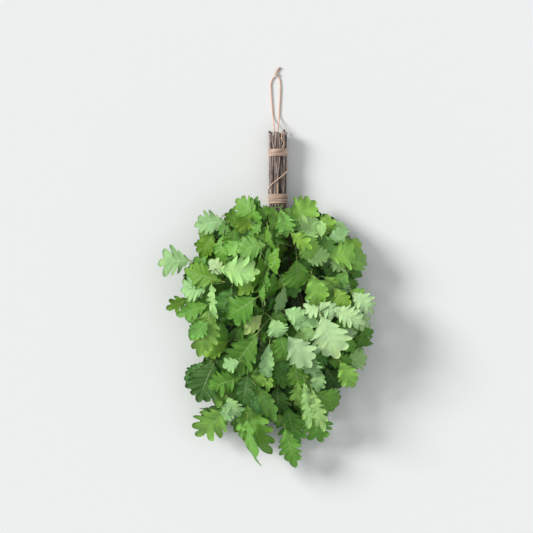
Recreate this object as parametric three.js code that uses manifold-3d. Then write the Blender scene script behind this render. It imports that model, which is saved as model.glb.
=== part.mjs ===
// Oak sauna whisk: a bundle of leafy oak branches, tied at the handle with two
// jute bindings and a slanting lashing, with a hanging loop of the same twine.
// It lies on its back on the surface z = 0, with the handle towards +Y.
// Millimetres, +Z up. The origin is below the middle of the whisk without its loop.
import * as THREE from 'three';
import { mergeVertices } from 'three/addons/utils/BufferGeometryUtils.js';
import Module from 'manifold-3d';

const wasm = await Module();
wasm.setup();

// ---- driving dimensions ---------------------------------------------------
const SHIFT = [0.85, 55.4, 0.15];    // moves the layout so that the origin is under the middle, on the surface
const AXIS_X = 20.7;              // handle axis, before the shift
const AXIS_Z = 18.45;             // height of the handle axis: the bindings rest on z = 0
const RING_R = 13.9;              // radius on which the outer stems sit
const STEM_R = 2.3;               // outer stem radius in the handle
const HANDLE_TOP = 244;           // mean height of the cut ends along Y
const HANDLE_LOW = 104;           // where the stems start to fan out
const BINDING_IN = 16.75;         // inner radius of both bindings
const BINDING_OUT = 18.4;         // outer radius of both bindings
const LOWER_BINDING = [113.2, 132.8];
const UPPER_BINDING = [198.6, 215.4];
const TWINE_R = 1.2;              // twine radius
const LEAF_T = 0.8;               // leaf plate thickness
const TWIG_R = 1.0;               // green twig radius
const GAP = 0.35;                 // clearance between neighbouring pieces

// ---- tables of the bundle -------------------------------------------------
// A spray is one green shoot with its leaves. joints are the leaf bases, twigs
// the pieces of shoot between them (0 is the root), and a leaf is
// [joint, direction, facing, length, width, arch, fold].
const SPRAYS = [
  { stem: 22, root: [-11, -44.3, 90],
    joints: [[24, -84, 94.7], [7.7, -88.9, 127.6], [22.1, -116.5, 106.7], [34.4, -117.8, 115.7], [-12.5, -51.6, 132.6], [-4.5, -82.2, 109.2], [-10.7, -110, 128.6], [6.4, -129.8, 114.1]],
    twigs: [[0, 6], [6, 2], [2, 7], [7, 8], [8, 3], [3, 4], [6, 1], [6, 5]],
    leaves: [
      [5, [-0.757, -0.505, -0.414], [-0.33, -0.251, 0.91], 77.1, 53.1, 0.07, 0.12],
      [4, [0.588, -0.808, -0.04], [0.063, -0.004, 0.998], 72.4, 49.7, 0.07, 0.12],
      [1, [0.956, -0.277, -0.102], [0.031, -0.251, 0.968], 70.9, 36.6, 0.07, 0.12],
      [8, [-0.127, -0.914, -0.386], [-0.072, -0.38, 0.922], 83.7, 24.9, 0.07, 0.12],
      [3, [0.223, -0.968, 0.114], [0.055, 0.129, 0.99], 47.7, 38.2, 0.07, 0.12],
      [2, [0.404, -0.849, -0.34], [0.166, -0.298, 0.94], 43.7, 35, 0.07, 0.12],
      [6, [-0.667, -0.737, -0.105], [0.048, -0.183, 0.982], 50.5, 25.2, 0.07, 0.12],
    ] },
  { stem: 0, root: [8.8, 47.3, 90],
    joints: [[51.9, 35.9, 105.1], [57.4, 17.7, 100.1], [53.7, 17.2, 108.9], [36.7, -22.2, 83.1], [31.6, -30.4, 114.2], [28.3, -41, 105.7], [20.4, 41.6, 126.1], [7.7, 41.3, 97.6], [-9.5, 26.1, 111.2], [4, -3, 109.9], [15.5, -5.8, 104.9], [4.7, 39.6, 102.3], [-13.6, -16.5, 106.5]],
    twigs: [[0, 8], [8, 12], [12, 9], [12, 7], [9, 10], [10, 11], [10, 13], [11, 5], [5, 6], [6, 4], [7, 1], [1, 3], [3, 2]],
    leaves: [
      [1, [0.519, 0.741, -0.425], [0.301, 0.307, 0.903], 72.1, 44.7, 0.07, 0.12],
      [12, [-0.972, -0.213, -0.104], [-0.148, 0.204, 0.968], 58.6, 43.9, 0.07, 0.12],
      [3, [0, -0.983, -0.182], [0.26, -0.176, 0.949], 56, 44.8, 0.07, 0.12],
      [2, [0.96, 0.062, -0.274], [0.277, -0.379, 0.883], 57.6, 34.7, 0.07, 0.12],
      [5, [-0.273, -0.94, -0.204], [0.632, -0.335, 0.699], 58.5, 31.7, 0.07, 0.12],
      [11, [-0.257, -0.965, -0.047], [0.743, -0.229, 0.629], 55.2, 30.9, 0.07, 0.12],
      [7, [-0.099, -0.991, -0.091], [-0.692, 0.003, 0.722], 53.6, 26.7, 0.1, 0.4],
      [13, [-0.725, -0.688, -0.029], [0.18, -0.23, 0.957], 49, 26, 0.07, 0.12],
      [6, [-0.53, -0.833, -0.159], [0.621, -0.509, 0.596], 46.9, 23.1, 0.07, 0.12],
      [4, [0.402, -0.905, -0.137], [0.012, -0.145, 0.989], 35.6, 28.5, 0.07, 0.12],
    ] },
  { stem: 16, root: [-10, 88, 72.3],
    joints: [[-9.3, 88.3, 86.6], [-7.7, 93.8, 80.1], [6.1, 102.7, 87.7], [6.9, 57.2, 125], [0.7, 79.1, 128.6], [24.2, 105.9, 105.6], [60.8, 63.3, 111.8], [37.6, 62.7, 122.9], [52.1, 59.2, 117.4], [-19, 96, 90.1], [4.8, 72.6, 87.4], [-0.8, 61.5, 88.1], [-7.7, 79.3, 89.5]],
    twigs: [[0, 2], [2, 1], [1, 13], [1, 10], [13, 11], [11, 12], [2, 3], [3, 6], [12, 4], [4, 5], [4, 8], [8, 9], [9, 7]],
    leaves: [
      [1, [-0.77, 0.554, -0.316], [-0.265, 0.172, 0.949], 58.1, 37.6, 0.07, 0.12],
      [4, [0.12, 0.957, -0.263], [0.568, 0.152, 0.809], 59.1, 22.9, 0.07, 0.12],
      [7, [0.426, -0.885, -0.185], [0.367, -0.018, 0.93], 54.3, 43.4, 0.07, 0.12],
      [6, [0.202, -0.977, -0.067], [-0.131, -0.095, 0.987], 52.7, 35.9, 0.07, 0.12],
      [2, [-0.586, 0.721, -0.371], [-0.31, 0.224, 0.924], 39.8, 23.4, 0.07, 0.12],
      [11, [-0.83, -0.505, -0.238], [-0.215, -0.104, 0.971], 49.6, 26.8, 0.07, 0.12],
      [10, [-0.733, -0.666, -0.139], [0.139, -0.346, 0.928], 53.5, 24.7, 0.07, 0.12],
      [5, [0.193, -0.963, -0.19], [-0.88, -0.255, 0.401], 55, 23.9, 0.07, 0.12],
      [8, [0.787, -0.582, -0.204], [0.284, 0.048, 0.958], 51.7, 25.3, 0.07, 0.12],
    ] },
  { stem: 14, root: [-42.3, 2.5, 70],
    joints: [[-91.2, -4.1, 123.1], [-76.9, -17.2, 112.9], [-73.3, -27.5, 102.4], [-98.8, -15.3, 91.7], [-95, -31.5, 92.7], [-98.8, -29.5, 87.2], [-96.9, -19.7, 124.1], [-98.4, -62.9, 94.1], [-100.4, -91.3, 103.2], [-98.5, -64.9, 96.2], [-59.2, -30.5, 96.1], [-68.9, -2.5, 70.4], [-46.5, -4.7, 73.3]],
    twigs: [[0, 13], [13, 12], [13, 11], [11, 3], [3, 2], [2, 1], [1, 7], [3, 5], [5, 6], [6, 4], [5, 8], [8, 10], [10, 9]],
    leaves: [
      [8, [-0.232, -0.963, -0.14], [-0.131, -0.111, 0.985], 99.9, 46.6, 0.07, 0.12],
      [3, [-0.933, 0.267, -0.241], [-0.26, -0.037, 0.965], 80.2, 43, 0.07, 0.12],
      [5, [-0.952, -0.179, -0.247], [-0.275, 0.149, 0.95], 60, 43.7, 0.07, 0.12],
      [10, [-0.911, -0.322, -0.257], [-0.233, -0.11, 0.966], 66.6, 30.3, 0.07, 0.12],
      [1, [0.997, -0.07, -0.046], [0.038, -0.108, 0.993], 76.3, 48, 0.07, 0.12],
      [11, [-0.353, -0.815, -0.459], [-0.343, -0.344, 0.874], 81.3, 43.6, 0.07, 0.12],
      [9, [-0.693, -0.66, -0.288], [-0.153, -0.255, 0.955], 53.9, 28.6, 0.07, 0.12],
      [6, [-0.82, -0.546, -0.172], [-0.196, -0.015, 0.98], 52.3, 23.3, 0.07, 0.12],
      [4, [-0.675, 0.718, -0.171], [-0.128, 0.114, 0.985], 42.3, 28.5, 0.07, 0.12],
      [7, [0.066, -0.949, -0.307], [-0.616, -0.281, 0.736], 80.4, 24.5, 0.07, 0.12],
      [12, [0.175, -0.982, -0.068], [-0.197, -0.102, 0.975], 51.3, 29.5, 0.07, 0.12],
      [2, [-0.615, 0.703, -0.357], [-0.275, 0.233, 0.933], 40.4, 26.7, 0.07, 0.12],
    ] },
  { stem: 17, root: [87.6, -129.6, 90],
    joints: [[68.6, -149.7, 113.4], [89.9, -138, 95.3], [97, -177.4, 89.2], [104.4, -168.5, 84.7], [128.9, -164.5, 99.7], [138.8, -169.7, 70.8], [103.7, -179, 59.9], [50.8, -166.4, 94.7], [56.1, -200.1, 98.4], [66.6, -196.1, 104.1], [77.6, -208.1, 109.6], [82.9, -224.2, 79.2]],
    twigs: [[0, 2], [2, 1], [1, 8], [8, 9], [9, 10], [10, 11], [11, 12], [2, 4], [4, 3], [4, 7], [4, 5], [5, 6]],
    leaves: [
      [11, [0.265, -0.948, -0.178], [-0.093, -0.209, 0.973], 93.8, 28.7, 0.07, 0.12],
      [10, [0.093, -0.985, -0.146], [0.025, -0.145, 0.989], 95.7, 26.7, 0.07, 0.12],
      [12, [0.845, -0.455, -0.282], [0.202, -0.217, 0.955], 55.1, 44.1, 0.07, 0.12],
      [5, [0.442, -0.801, -0.404], [0.243, -0.327, 0.913], 64.6, 35.7, 0.07, 0.12],
      [9, [0, -0.971, -0.239], [0.015, -0.239, 0.971], 53.2, 32.1, 0.07, 0.12],
      [7, [0.572, -0.786, -0.236], [0.019, -0.275, 0.961], 50.5, 32.8, 0.07, 0.12],
      [6, [0.941, 0.164, -0.296], [0.312, -0.086, 0.946], 43.9, 35.1, 0.07, 0.12],
      [8, [0.069, -0.965, -0.254], [0.044, -0.252, 0.967], 51.8, 33.9, 0.07, 0.12],
      [1, [0.315, -0.874, -0.37], [-0.082, -0.414, 0.907], 50.9, 32.7, 0.07, 0.12],
      [3, [-0.145, -0.978, -0.153], [0.226, -0.183, 0.957], 49.3, 27.6, 0.07, 0.12],
    ] },
  { stem: 1, root: [75.4, -1.2, 90],
    joints: [[138.5, -2.7, 75.4], [147.7, -6.2, 70.9], [78.6, -7.8, 114.7], [90, -20.6, 90.5], [98.9, -16.9, 88.3], [118, -34.8, 98.6], [148.6, -42.3, 88.3], [144.5, -42.6, 66]],
    twigs: [[0, 4], [4, 5], [5, 6], [4, 3], [6, 7], [7, 8], [8, 2], [2, 1]],
    leaves: [
      [7, [0.722, -0.691, 0.031], [0.156, 0.206, 0.966], 56.8, 36.9, 0.07, 0.12],
      [1, [0.843, 0.421, -0.334], [0.359, 0.021, 0.933], 51.1, 38, 0.07, 0.12],
      [3, [0.24, -0.96, -0.147], [0.182, -0.104, 0.978], 66.6, 37.7, 0.07, 0.12],
      [8, [0.941, -0.329, 0.077], [0.035, 0.319, 0.947], 38.2, 22.7, 0.07, 0.12],
      [6, [0.514, -0.856, -0.051], [0.192, 0.057, 0.98], 52, 29, 0.07, 0.12],
      [4, [0.724, -0.69, 0.005], [0.023, 0.031, 0.999], 51.7, 25, 0.07, 0.12],
      [2, [-0.605, -0.791, 0.09], [0.176, -0.022, 0.984], 38.5, 25.4, 0.07, 0.12],
    ] },
  { stem: 18, root: [89.6, -83.9, 68.2],
    joints: [[112.4, -69.8, 113.8], [145.3, -83.2, 87.9], [138.5, -102.7, 83.4], [164.8, -125.2, 55.8], [94.7, -80.4, 115.7], [153.8, -120.1, 73.9], [138.9, -122.8, 73.2], [92.5, -92.1, 70.2]],
    twigs: [[0, 8], [8, 5], [5, 1], [1, 2], [2, 3], [3, 7], [7, 6], [6, 4]],
    leaves: [
      [5, [0.353, -0.934, -0.057], [0.002, -0.06, 0.998], 85.3, 63.8, 0.07, 0.12],
      [1, [0.892, -0.446, -0.077], [0.038, -0.095, 0.995], 67.6, 35.5, 0.07, 0.12],
      [2, [0.851, -0.503, -0.154], [0.209, 0.054, 0.976], 46.2, 32.5, 0.07, 0.12],
      [6, [0.82, -0.492, -0.292], [-0.216, -0.739, 0.638], 43.8, 25.6, 0.07, 0.12],
      [7, [0.468, -0.884, -0.024], [0.033, -0.01, 0.999], 34.5, 23.3, 0.07, 0.12],
      [8, [-0.211, -0.95, -0.23], [0.013, -0.238, 0.971], 51.1, 28.8, 0.07, 0.12],
      [4, [0.945, 0.315, -0.09], [0.124, -0.091, 0.988], 28.6, 22.9, 0.07, 0.12],
    ] },
  { stem: 23, root: [-17, -136.3, 90],
    joints: [[-36.3, -195.8, 74.3], [-18.3, -144.8, 97.7], [-22.9, -205.8, 94.7], [-31, -217.1, 87.1], [-11.8, -166.7, 87.6], [3, -176, 80.2], [12.5, -167.4, 71.6]],
    twigs: [[0, 2], [2, 5], [5, 6], [6, 7], [5, 1], [1, 4], [4, 3]],
    leaves: [
      [3, [0.451, -0.858, -0.246], [0.216, -0.163, 0.963], 83.2, 32.3, 0.07, 0.12],
      [4, [0.414, -0.859, -0.302], [-0.195, -0.408, 0.892], 60.6, 26.7, 0.07, 0.12],
      [2, [-0.525, -0.817, -0.236], [-0.176, -0.167, 0.97], 61, 30.3, 0.07, 0.12],
      [5, [-0.093, -0.96, -0.264], [0.068, -0.27, 0.96], 57.7, 25.1, 0.07, 0.12],
      [7, [0, -0.972, -0.235], [-0.498, -0.204, 0.843], 51.7, 22.6, 0.07, 0.12],
      [6, [-0.037, -0.986, -0.163], [-0.214, -0.151, 0.965], 49, 20.1, 0.07, 0.12],
    ] },
  { stem: 15, root: [-23.9, 78.4, 65.4],
    joints: [[-45.2, 49, 89.9], [-76.9, 63.4, 75.1], [-66.8, 79.9, 66.6], [-51.1, 59.7, 70.9], [-59.7, 58.1, 78.6], [-29.4, 74.2, 71.1]],
    twigs: [[0, 6], [6, 4], [4, 5], [5, 2], [5, 1], [2, 3]],
    leaves: [
      [3, [-0.946, -0.081, -0.314], [-0.321, 0.1, 0.942], 66.6, 39.9, 0.07, 0.12],
      [4, [-0.225, 0.901, -0.371], [-0.101, 0.358, 0.928], 47.9, 30.6, 0.07, 0.12],
      [2, [-0.062, -0.997, 0.043], [-0.461, 0.067, 0.885], 57.4, 28.3, 0.07, 0.12],
      [1, [-0.68, -0.729, -0.081], [-0.25, 0.127, 0.96], 36.8, 29.4, 0.07, 0.12],
    ] },
  { stem: 3, root: [68, 34.2, 48.8],
    joints: [[98.1, 48.7, 103.1], [97.6, 45.7, 63.5], [112.3, 49.4, 58], [106.2, 50.3, 77.5], [130.6, 26.5, 47.5], [104.2, 16.8, 80.8], [111.8, 24.1, 74.5], [97.9, -2.5, 66], [123.1, 7.9, 49.8], [122.4, 20.7, 36.8], [72.4, 26.9, 51.5], [104, 12.2, 45]],
    twigs: [[0, 11], [11, 2], [2, 3], [2, 4], [4, 1], [4, 7], [7, 6], [6, 8], [8, 12], [12, 9], [9, 10], [10, 5]],
    leaves: [
      [6, [0.986, 0.09, -0.142], [0.136, 0.073, 0.988], 59.8, 46.5, 0.07, 0.12],
      [3, [0.584, 0.7, -0.411], [0.392, 0.2, 0.898], 46.4, 36.6, 0.07, 0.12],
      [2, [0.278, 0.938, -0.207], [0.299, 0.12, 0.947], 51.8, 31.6, 0.07, 0.12],
      [5, [0.878, 0.293, -0.378], [0.427, -0.128, 0.895], 49.5, 31.7, 0.07, 0.12],
      [4, [0.863, 0.247, -0.441], [0.475, -0.694, 0.541], 43.7, 28.3, 0.07, 0.12],
      [1, [-0.051, 0.976, -0.213], [0.555, 0.206, 0.806], 34.6, 17.1, 0.07, 0.12],
      [9, [-0.145, -0.965, 0.22], [0.228, 0.184, 0.956], 37.3, 25.7, 0.07, 0.12],
    ] },
  { stem: 2, root: [45.6, 88, 42],
    joints: [[40.5, 76, 57.7], [44.4, 86.3, 47.6]],
    twigs: [[0, 2], [2, 1]],
    leaves: [
      [1, [0.731, 0.647, -0.217], [0.017, 0.301, 0.954], 64.1, 49.8, 0.07, 0.12],
    ] },
  { stem: 21, root: [-32.5, -40, 40.9],
    joints: [[-65.2, -134.1, 65.9], [-45.6, -99.4, 70.3], [-8.3, -93, 59.3], [-82.3, -115.7, 2.8], [-54.7, -90.8, 13], [-12.6, -131.3, 44.8], [-50.8, -95.5, 56.4], [-52.3, -82.8, 61.7], [-70.2, -96.3, 46.9], [-39.5, -65.4, 65.8], [-35.4, -48.4, 42.1], [-2.4, -109.2, 48.7], [-2.5, -105.5, 63.5]],
    twigs: [[0, 11], [11, 10], [10, 8], [8, 7], [7, 2], [7, 9], [9, 5], [5, 4], [2, 3], [3, 13], [13, 12], [12, 6], [2, 1]],
    leaves: [
      [4, [-0.425, -0.883, 0.202], [-0.366, 0.371, 0.853], 64.2, 48.5, 0.03, 0.12],
      [1, [-0.869, -0.468, -0.159], [-0.219, 0.077, 0.973], 53.8, 29.2, 0.07, 0.12],
      [6, [-0.649, -0.734, -0.2], [0.013, -0.273, 0.962], 81.4, 41.5, 0.07, 0.12],
      [2, [-0.318, -0.914, -0.254], [-0.163, -0.211, 0.964], 45.2, 25.2, 0.07, 0.12],
    ] },
  { stem: 11, root: [-50.9, -157.1, 26.9],
    joints: [[-90.5, -161, 62.7], [-97.2, -168.6, 59.4], [-72, -228.9, 91.5], [-97.2, -167.7, 12.9], [-53.2, -165.8, 27.1], [-75.2, -199.1, 47.5], [-90.1, -186.8, 31.7], [-74.5, -191.4, 54], [-88.5, -163.5, 35.7]],
    twigs: [[0, 5], [5, 9], [9, 7], [9, 4], [7, 6], [6, 8], [9, 2], [2, 1], [8, 3]],
    leaves: [
      [1, [-0.377, -0.905, -0.195], [-0.181, -0.134, 0.974], 95.6, 72.6, 0.07, 0.12],
      [2, [-0.658, -0.636, -0.403], [-0.461, -0.083, 0.884], 82.3, 48.3, 0.07, 0.12],
      [4, [0.092, -0.986, -0.141], [0.057, -0.136, 0.989], 81.2, 48.9, 0.03, 0.12],
      [3, [0.504, -0.852, -0.141], [-0.189, -0.268, 0.945], 46.1, 28, 0.07, 0.12],
    ] },
  { stem: 8, root: [41.1, -190.9, 12.9],
    joints: [[19.1, -212, 54.8], [35.3, -243.9, 51.5], [31.7, -282.1, 76.5], [7.8, -263.4, 64.6], [80.6, -247.5, 56.3], [41.7, -199.9, 12.7], [55.3, -202.6, 38.4], [49.8, -231.4, 7.3], [52, -209.2, 21.1]],
    twigs: [[0, 6], [6, 9], [9, 7], [9, 8], [7, 1], [1, 2], [2, 4], [4, 3], [2, 5]],
    leaves: [
      [2, [0.252, -0.924, -0.288], [-0.029, -0.305, 0.952], 86, 47.2, 0.07, 0.12],
      [5, [0.252, -0.959, -0.126], [-0.168, -0.172, 0.971], 71.4, 53.4, 0.07, 0.12],
      [8, [0.411, -0.912, 0.002], [-0.414, -0.184, 0.892], 80.4, 46.8, 0.06, 0.12],
      [3, [0.231, -0.924, -0.306], [-0.084, -0.332, 0.939], 85.6, 34.6, 0.07, 0.12],
      [4, [0.704, -0.653, -0.279], [0.221, -0.173, 0.96], 35.8, 19.8, 0.07, 0.12],
    ] },
  { stem: 20, root: [31.6, -91.6, 38.5],
    joints: [[35, -176.6, 67.8], [46, -153.5, 64.3], [20.7, -119.2, 27.2], [16.6, -144.8, 2.4], [-3.1, -150.8, 16.5], [4.8, -169.3, 26.6], [0.3, -165.7, 23.1], [7.5, -156.4, 10.2], [22.9, -147.5, 41.2], [42.9, -161.4, 36], [15.8, -177.9, 41.8], [1.9, -182.6, 39.5], [32.1, -100.5, 39.4]],
    twigs: [[0, 13], [13, 3], [3, 9], [9, 10], [10, 2], [2, 1], [9, 11], [11, 12], [12, 6], [6, 7], [7, 5], [5, 8], [8, 4]],
    leaves: [
      [4, [-0.86, -0.502, 0.094], [-0.074, 0.305, 0.95], 80.5, 46.6, 0.05, 0.12],
      [2, [-0.22, -0.952, -0.213], [-0.052, -0.206, 0.977], 49.1, 25.2, 0.07, 0.12],
      [1, [0.21, -0.966, -0.148], [0.034, -0.144, 0.989], 42.7, 23.3, 0.07, 0.12],
    ] },
  { stem: 13, root: [-78.5, -7.6, 26.4],
    joints: [[-130.5, 10.9, 56.1], [-138.2, -55, 47.2], [-89.7, -34.1, 28.2], [-126.6, -37.6, 28], [-91.2, -71.2, 30], [-100, -89.1, 7.5], [-88.5, -56.4, 26.8], [-112.4, -62.7, 14.2], [-100, -35.4, 11.7], [-84.3, -14.5, 26.8]],
    twigs: [[0, 10], [10, 3], [3, 9], [3, 7], [7, 5], [7, 8], [8, 6], [9, 4], [4, 2], [4, 1]],
    leaves: [
      [1, [-0.995, -0.057, -0.084], [-0.099, 0.37, 0.924], 63.4, 50.7, 0.07, 0.12],
      [6, [-0.74, -0.667, -0.094], [-0.092, -0.038, 0.995], 58.6, 30.2, 0.07, 0.12],
      [2, [-0.885, -0.462, -0.055], [-0.019, -0.083, 0.996], 46.9, 27.2, 0.07, 0.12],
      [5, [-0.379, -0.901, -0.21], [-0.396, -0.047, 0.917], 81.8, 49.6, 0.07, 0.12],
      [7, [-0.875, -0.447, -0.185], [-0.122, -0.166, 0.979], 73.5, 38.5, 0.01, 0.12],
      [10, [0.882, -0.453, -0.126], [-0.041, -0.341, 0.939], 63.8, 43, 0.06, 0.12],
    ] },
  { stem: 10, root: [-39.8, -192.8, 16.5],
    joints: [[-63.9, -246.5, 65], [-60, -237.7, 75.5], [-36.2, -234.3, 57.3], [-33.9, -259.9, 81], [-41.6, -237.9, 57.6], [-40.7, -263.3, 40], [-53.3, -201.7, 19.5], [-40.3, -230.2, 20.2], [-33.8, -224.3, 19.3], [-5.4, -273, 4.3], [-41.6, -201.6, 16.4], [-10.1, -263.6, 2.4]],
    twigs: [[0, 11], [11, 7], [11, 9], [9, 8], [8, 3], [3, 5], [5, 1], [1, 2], [5, 6], [5, 4], [8, 12], [12, 10]],
    leaves: [
      [3, [0.36, -0.933, 0.008], [-0.173, -0.058, 0.983], 109.8, 54.8, 0.07, 0.12],
      [1, [-0.687, -0.687, -0.239], [0, -0.329, 0.944], 89.1, 59.1, 0.07, 0.12],
      [4, [0.146, -0.987, -0.071], [-0.856, -0.162, 0.492], 98, 32.4, 0.07, 0.12],
      [10, [-0.866, -0.478, 0.145], [-0.128, 0.493, 0.86], 48, 36, -0.01, 0.12],
      [2, [-0.411, -0.858, -0.308], [-0.155, -0.267, 0.951], 48.1, 28.8, 0.07, 0.12],
      [6, [-0.409, -0.908, -0.089], [-0.045, -0.077, 0.996], 39.9, 23.5, 0.07, 0.12],
      [7, [-0.991, -0.044, -0.124], [-0.118, -0.119, 0.986], 80.9, 54.4, 0.06, 0.12],
    ] },
  { stem: 12, root: [-38.1, 86.2, 17.2],
    joints: [[-92.8, 65.9, 44.1], [-96.4, 55.1, 44.1], [-47.7, 8.3, 58], [-46.4, 82.6, 16.9], [-109.6, 67.4, 21.5], [-71.6, 77.1, 22.9], [-74.3, 47.8, 10.8], [-51.8, 38.2, 33.1], [-70, 1.2, 43], [-77.3, 13.9, 33.9], [-1.6, 84.2, 13.2], [0, 87.2, 8.3], [9.5, 92.7, 2.7], [-0.2, 80, 10.7]],
    twigs: [[0, 4], [4, 6], [6, 7], [6, 1], [1, 2], [1, 5], [7, 8], [8, 10], [10, 9], [9, 3], [4, 11], [11, 12], [12, 13], [11, 14]],
    leaves: [
      [14, [-0.881, -0.467, -0.07], [-0.24, 0.316, 0.918], 66, 41.4, -0.03, 0.12],
      [5, [0.202, -0.935, -0.29], [-0.206, -0.33, 0.921], 67.3, 38.9, -0.01, 0.12],
      [1, [-0.496, -0.868, -0.019], [-0.185, 0.085, 0.979], 58.4, 40.6, 0.07, 0.12],
      [7, [-0.954, 0.242, -0.177], [-0.105, 0.284, 0.953], 48.2, 31.6, 0.05, 0.12],
      [13, [-0.995, 0.096, 0.019], [0.002, -0.179, 0.984], 47.5, 30, -0.04, 0.12],
      [2, [-0.854, 0.201, -0.48], [-0.471, 0.093, 0.877], 36, 23.5, 0.07, 0.12],
      [3, [0.316, -0.947, -0.063], [-0.031, -0.077, 0.997], 57.1, 28.9, 0.07, 0.12],
    ] },
  { stem: 7, root: [65.5, -39.4, 13.4],
    joints: [[109.4, -99.6, 28.9], [67.9, -48, 13.1], [76.7, -60.4, 20.3], [76.1, -77.6, 41], [76.7, -106.7, 34.2]],
    twigs: [[0, 2], [2, 3], [3, 4], [4, 5], [5, 1]],
    leaves: [
      [1, [0.986, -0.168, -0.019], [0.022, 0.012, 1], 76, 40.4, -0.02, 0.12],
    ] },
  { stem: 9, root: [-1, 22.3, 5.4],
    joints: [[38.8, -49.5, 47.8], [27.9, -42.3, 53], [33.8, -14.1, 24.2], [13.6, 3.4, 21], [10, -11.7, 11.5], [0.7, 13.4, 2.4], [20.9, -17.6, 45.5]],
    twigs: [[0, 6], [6, 4], [4, 5], [5, 3], [3, 7], [7, 2], [2, 1]],
    leaves: [
      [5, [-0.101, -0.991, -0.088], [-0.36, -0.046, 0.932], 62.4, 40.2, -0.03, 0.12],
      [1, [0.796, -0.587, -0.146], [0.065, -0.157, 0.985], 43.1, 30.9, 0.07, 0.12],
    ] },
  { stem: 19, root: [91.6, -131.1, 19.2],
    joints: [[99.9, -190.4, 50.8], [94.1, -139.7, 19.1], [88.3, -170.5, 4.2], [89, -182.2, 9.6], [82.4, -201, 26.9], [129.4, -139.2, 20.9], [147.7, -126.3, 11.4], [84.8, -194.2, 12.2], [84.4, -173.8, 27.8], [76.4, -195.2, 31.9], [88.7, -146.8, 32.5]],
    twigs: [[0, 2], [2, 11], [11, 9], [9, 4], [4, 3], [4, 8], [8, 5], [5, 10], [10, 1], [2, 6], [6, 7]],
    leaves: [
      [3, [0.587, -0.809, -0.015], [-0.168, -0.14, 0.976], 54.9, 35.3, 0.02, 0.12],
      [7, [0.591, -0.797, -0.126], [0.43, 0.179, 0.885], 47.9, 33.3, -0.05, 0.12],
      [1, [0.375, -0.916, -0.143], [0.219, -0.062, 0.974], 43.4, 27.5, 0.07, 0.12],
      [8, [0.144, -0.983, 0.117], [0.032, 0.123, 0.992], 80.6, 51.1, 0.01, 0.12],
    ] },
  { stem: 6, root: [115.3, 18.7, 8],
    joints: [[147, -4.4, 50.1], [143.6, -17.5, 38.9], [153.5, 1.2, 3.9], [131.7, 10.5, 14.4], [144.1, -27.7, 14.6], [123.2, -31, 8.4], [121.7, 12.4, 5.6]],
    twigs: [[0, 7], [7, 4], [4, 3], [3, 5], [5, 6], [5, 2], [2, 1]],
    leaves: [
      [6, [0.794, -0.599, -0.105], [0.086, -0.061, 0.994], 58.9, 30.6, 0.01, 0.12],
      [2, [0.534, -0.83, 0.161], [0.252, 0.338, 0.907], 30.5, 23.6, 0.07, 0.12],
      [1, [0.821, -0.411, -0.396], [0.359, -0.167, 0.918], 30.8, 16.3, 0.07, 0.12],
    ] },
  { stem: 4, root: [66.6, 60.9, 24.7],
    joints: [[72.6, 54.3, 25.3], [106.8, 55.1, 5.4], [130.3, 46.9, 8.7], [98.4, 56, 17.4], [113.4, 56.6, 12.2], [115.6, 32.9, 8.8]],
    twigs: [[0, 1], [1, 4], [4, 2], [2, 5], [5, 3], [3, 6]],
    leaves: [
      [6, [0.987, 0.085, -0.138], [0.138, -0.005, 0.99], 54.5, 34.7, 0.02, 0.12],
      [2, [-0.292, 0.954, -0.073], [-0.204, 0.012, 0.979], 47.7, 32.3, -0.02, 0.12],
    ] },
];

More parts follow.
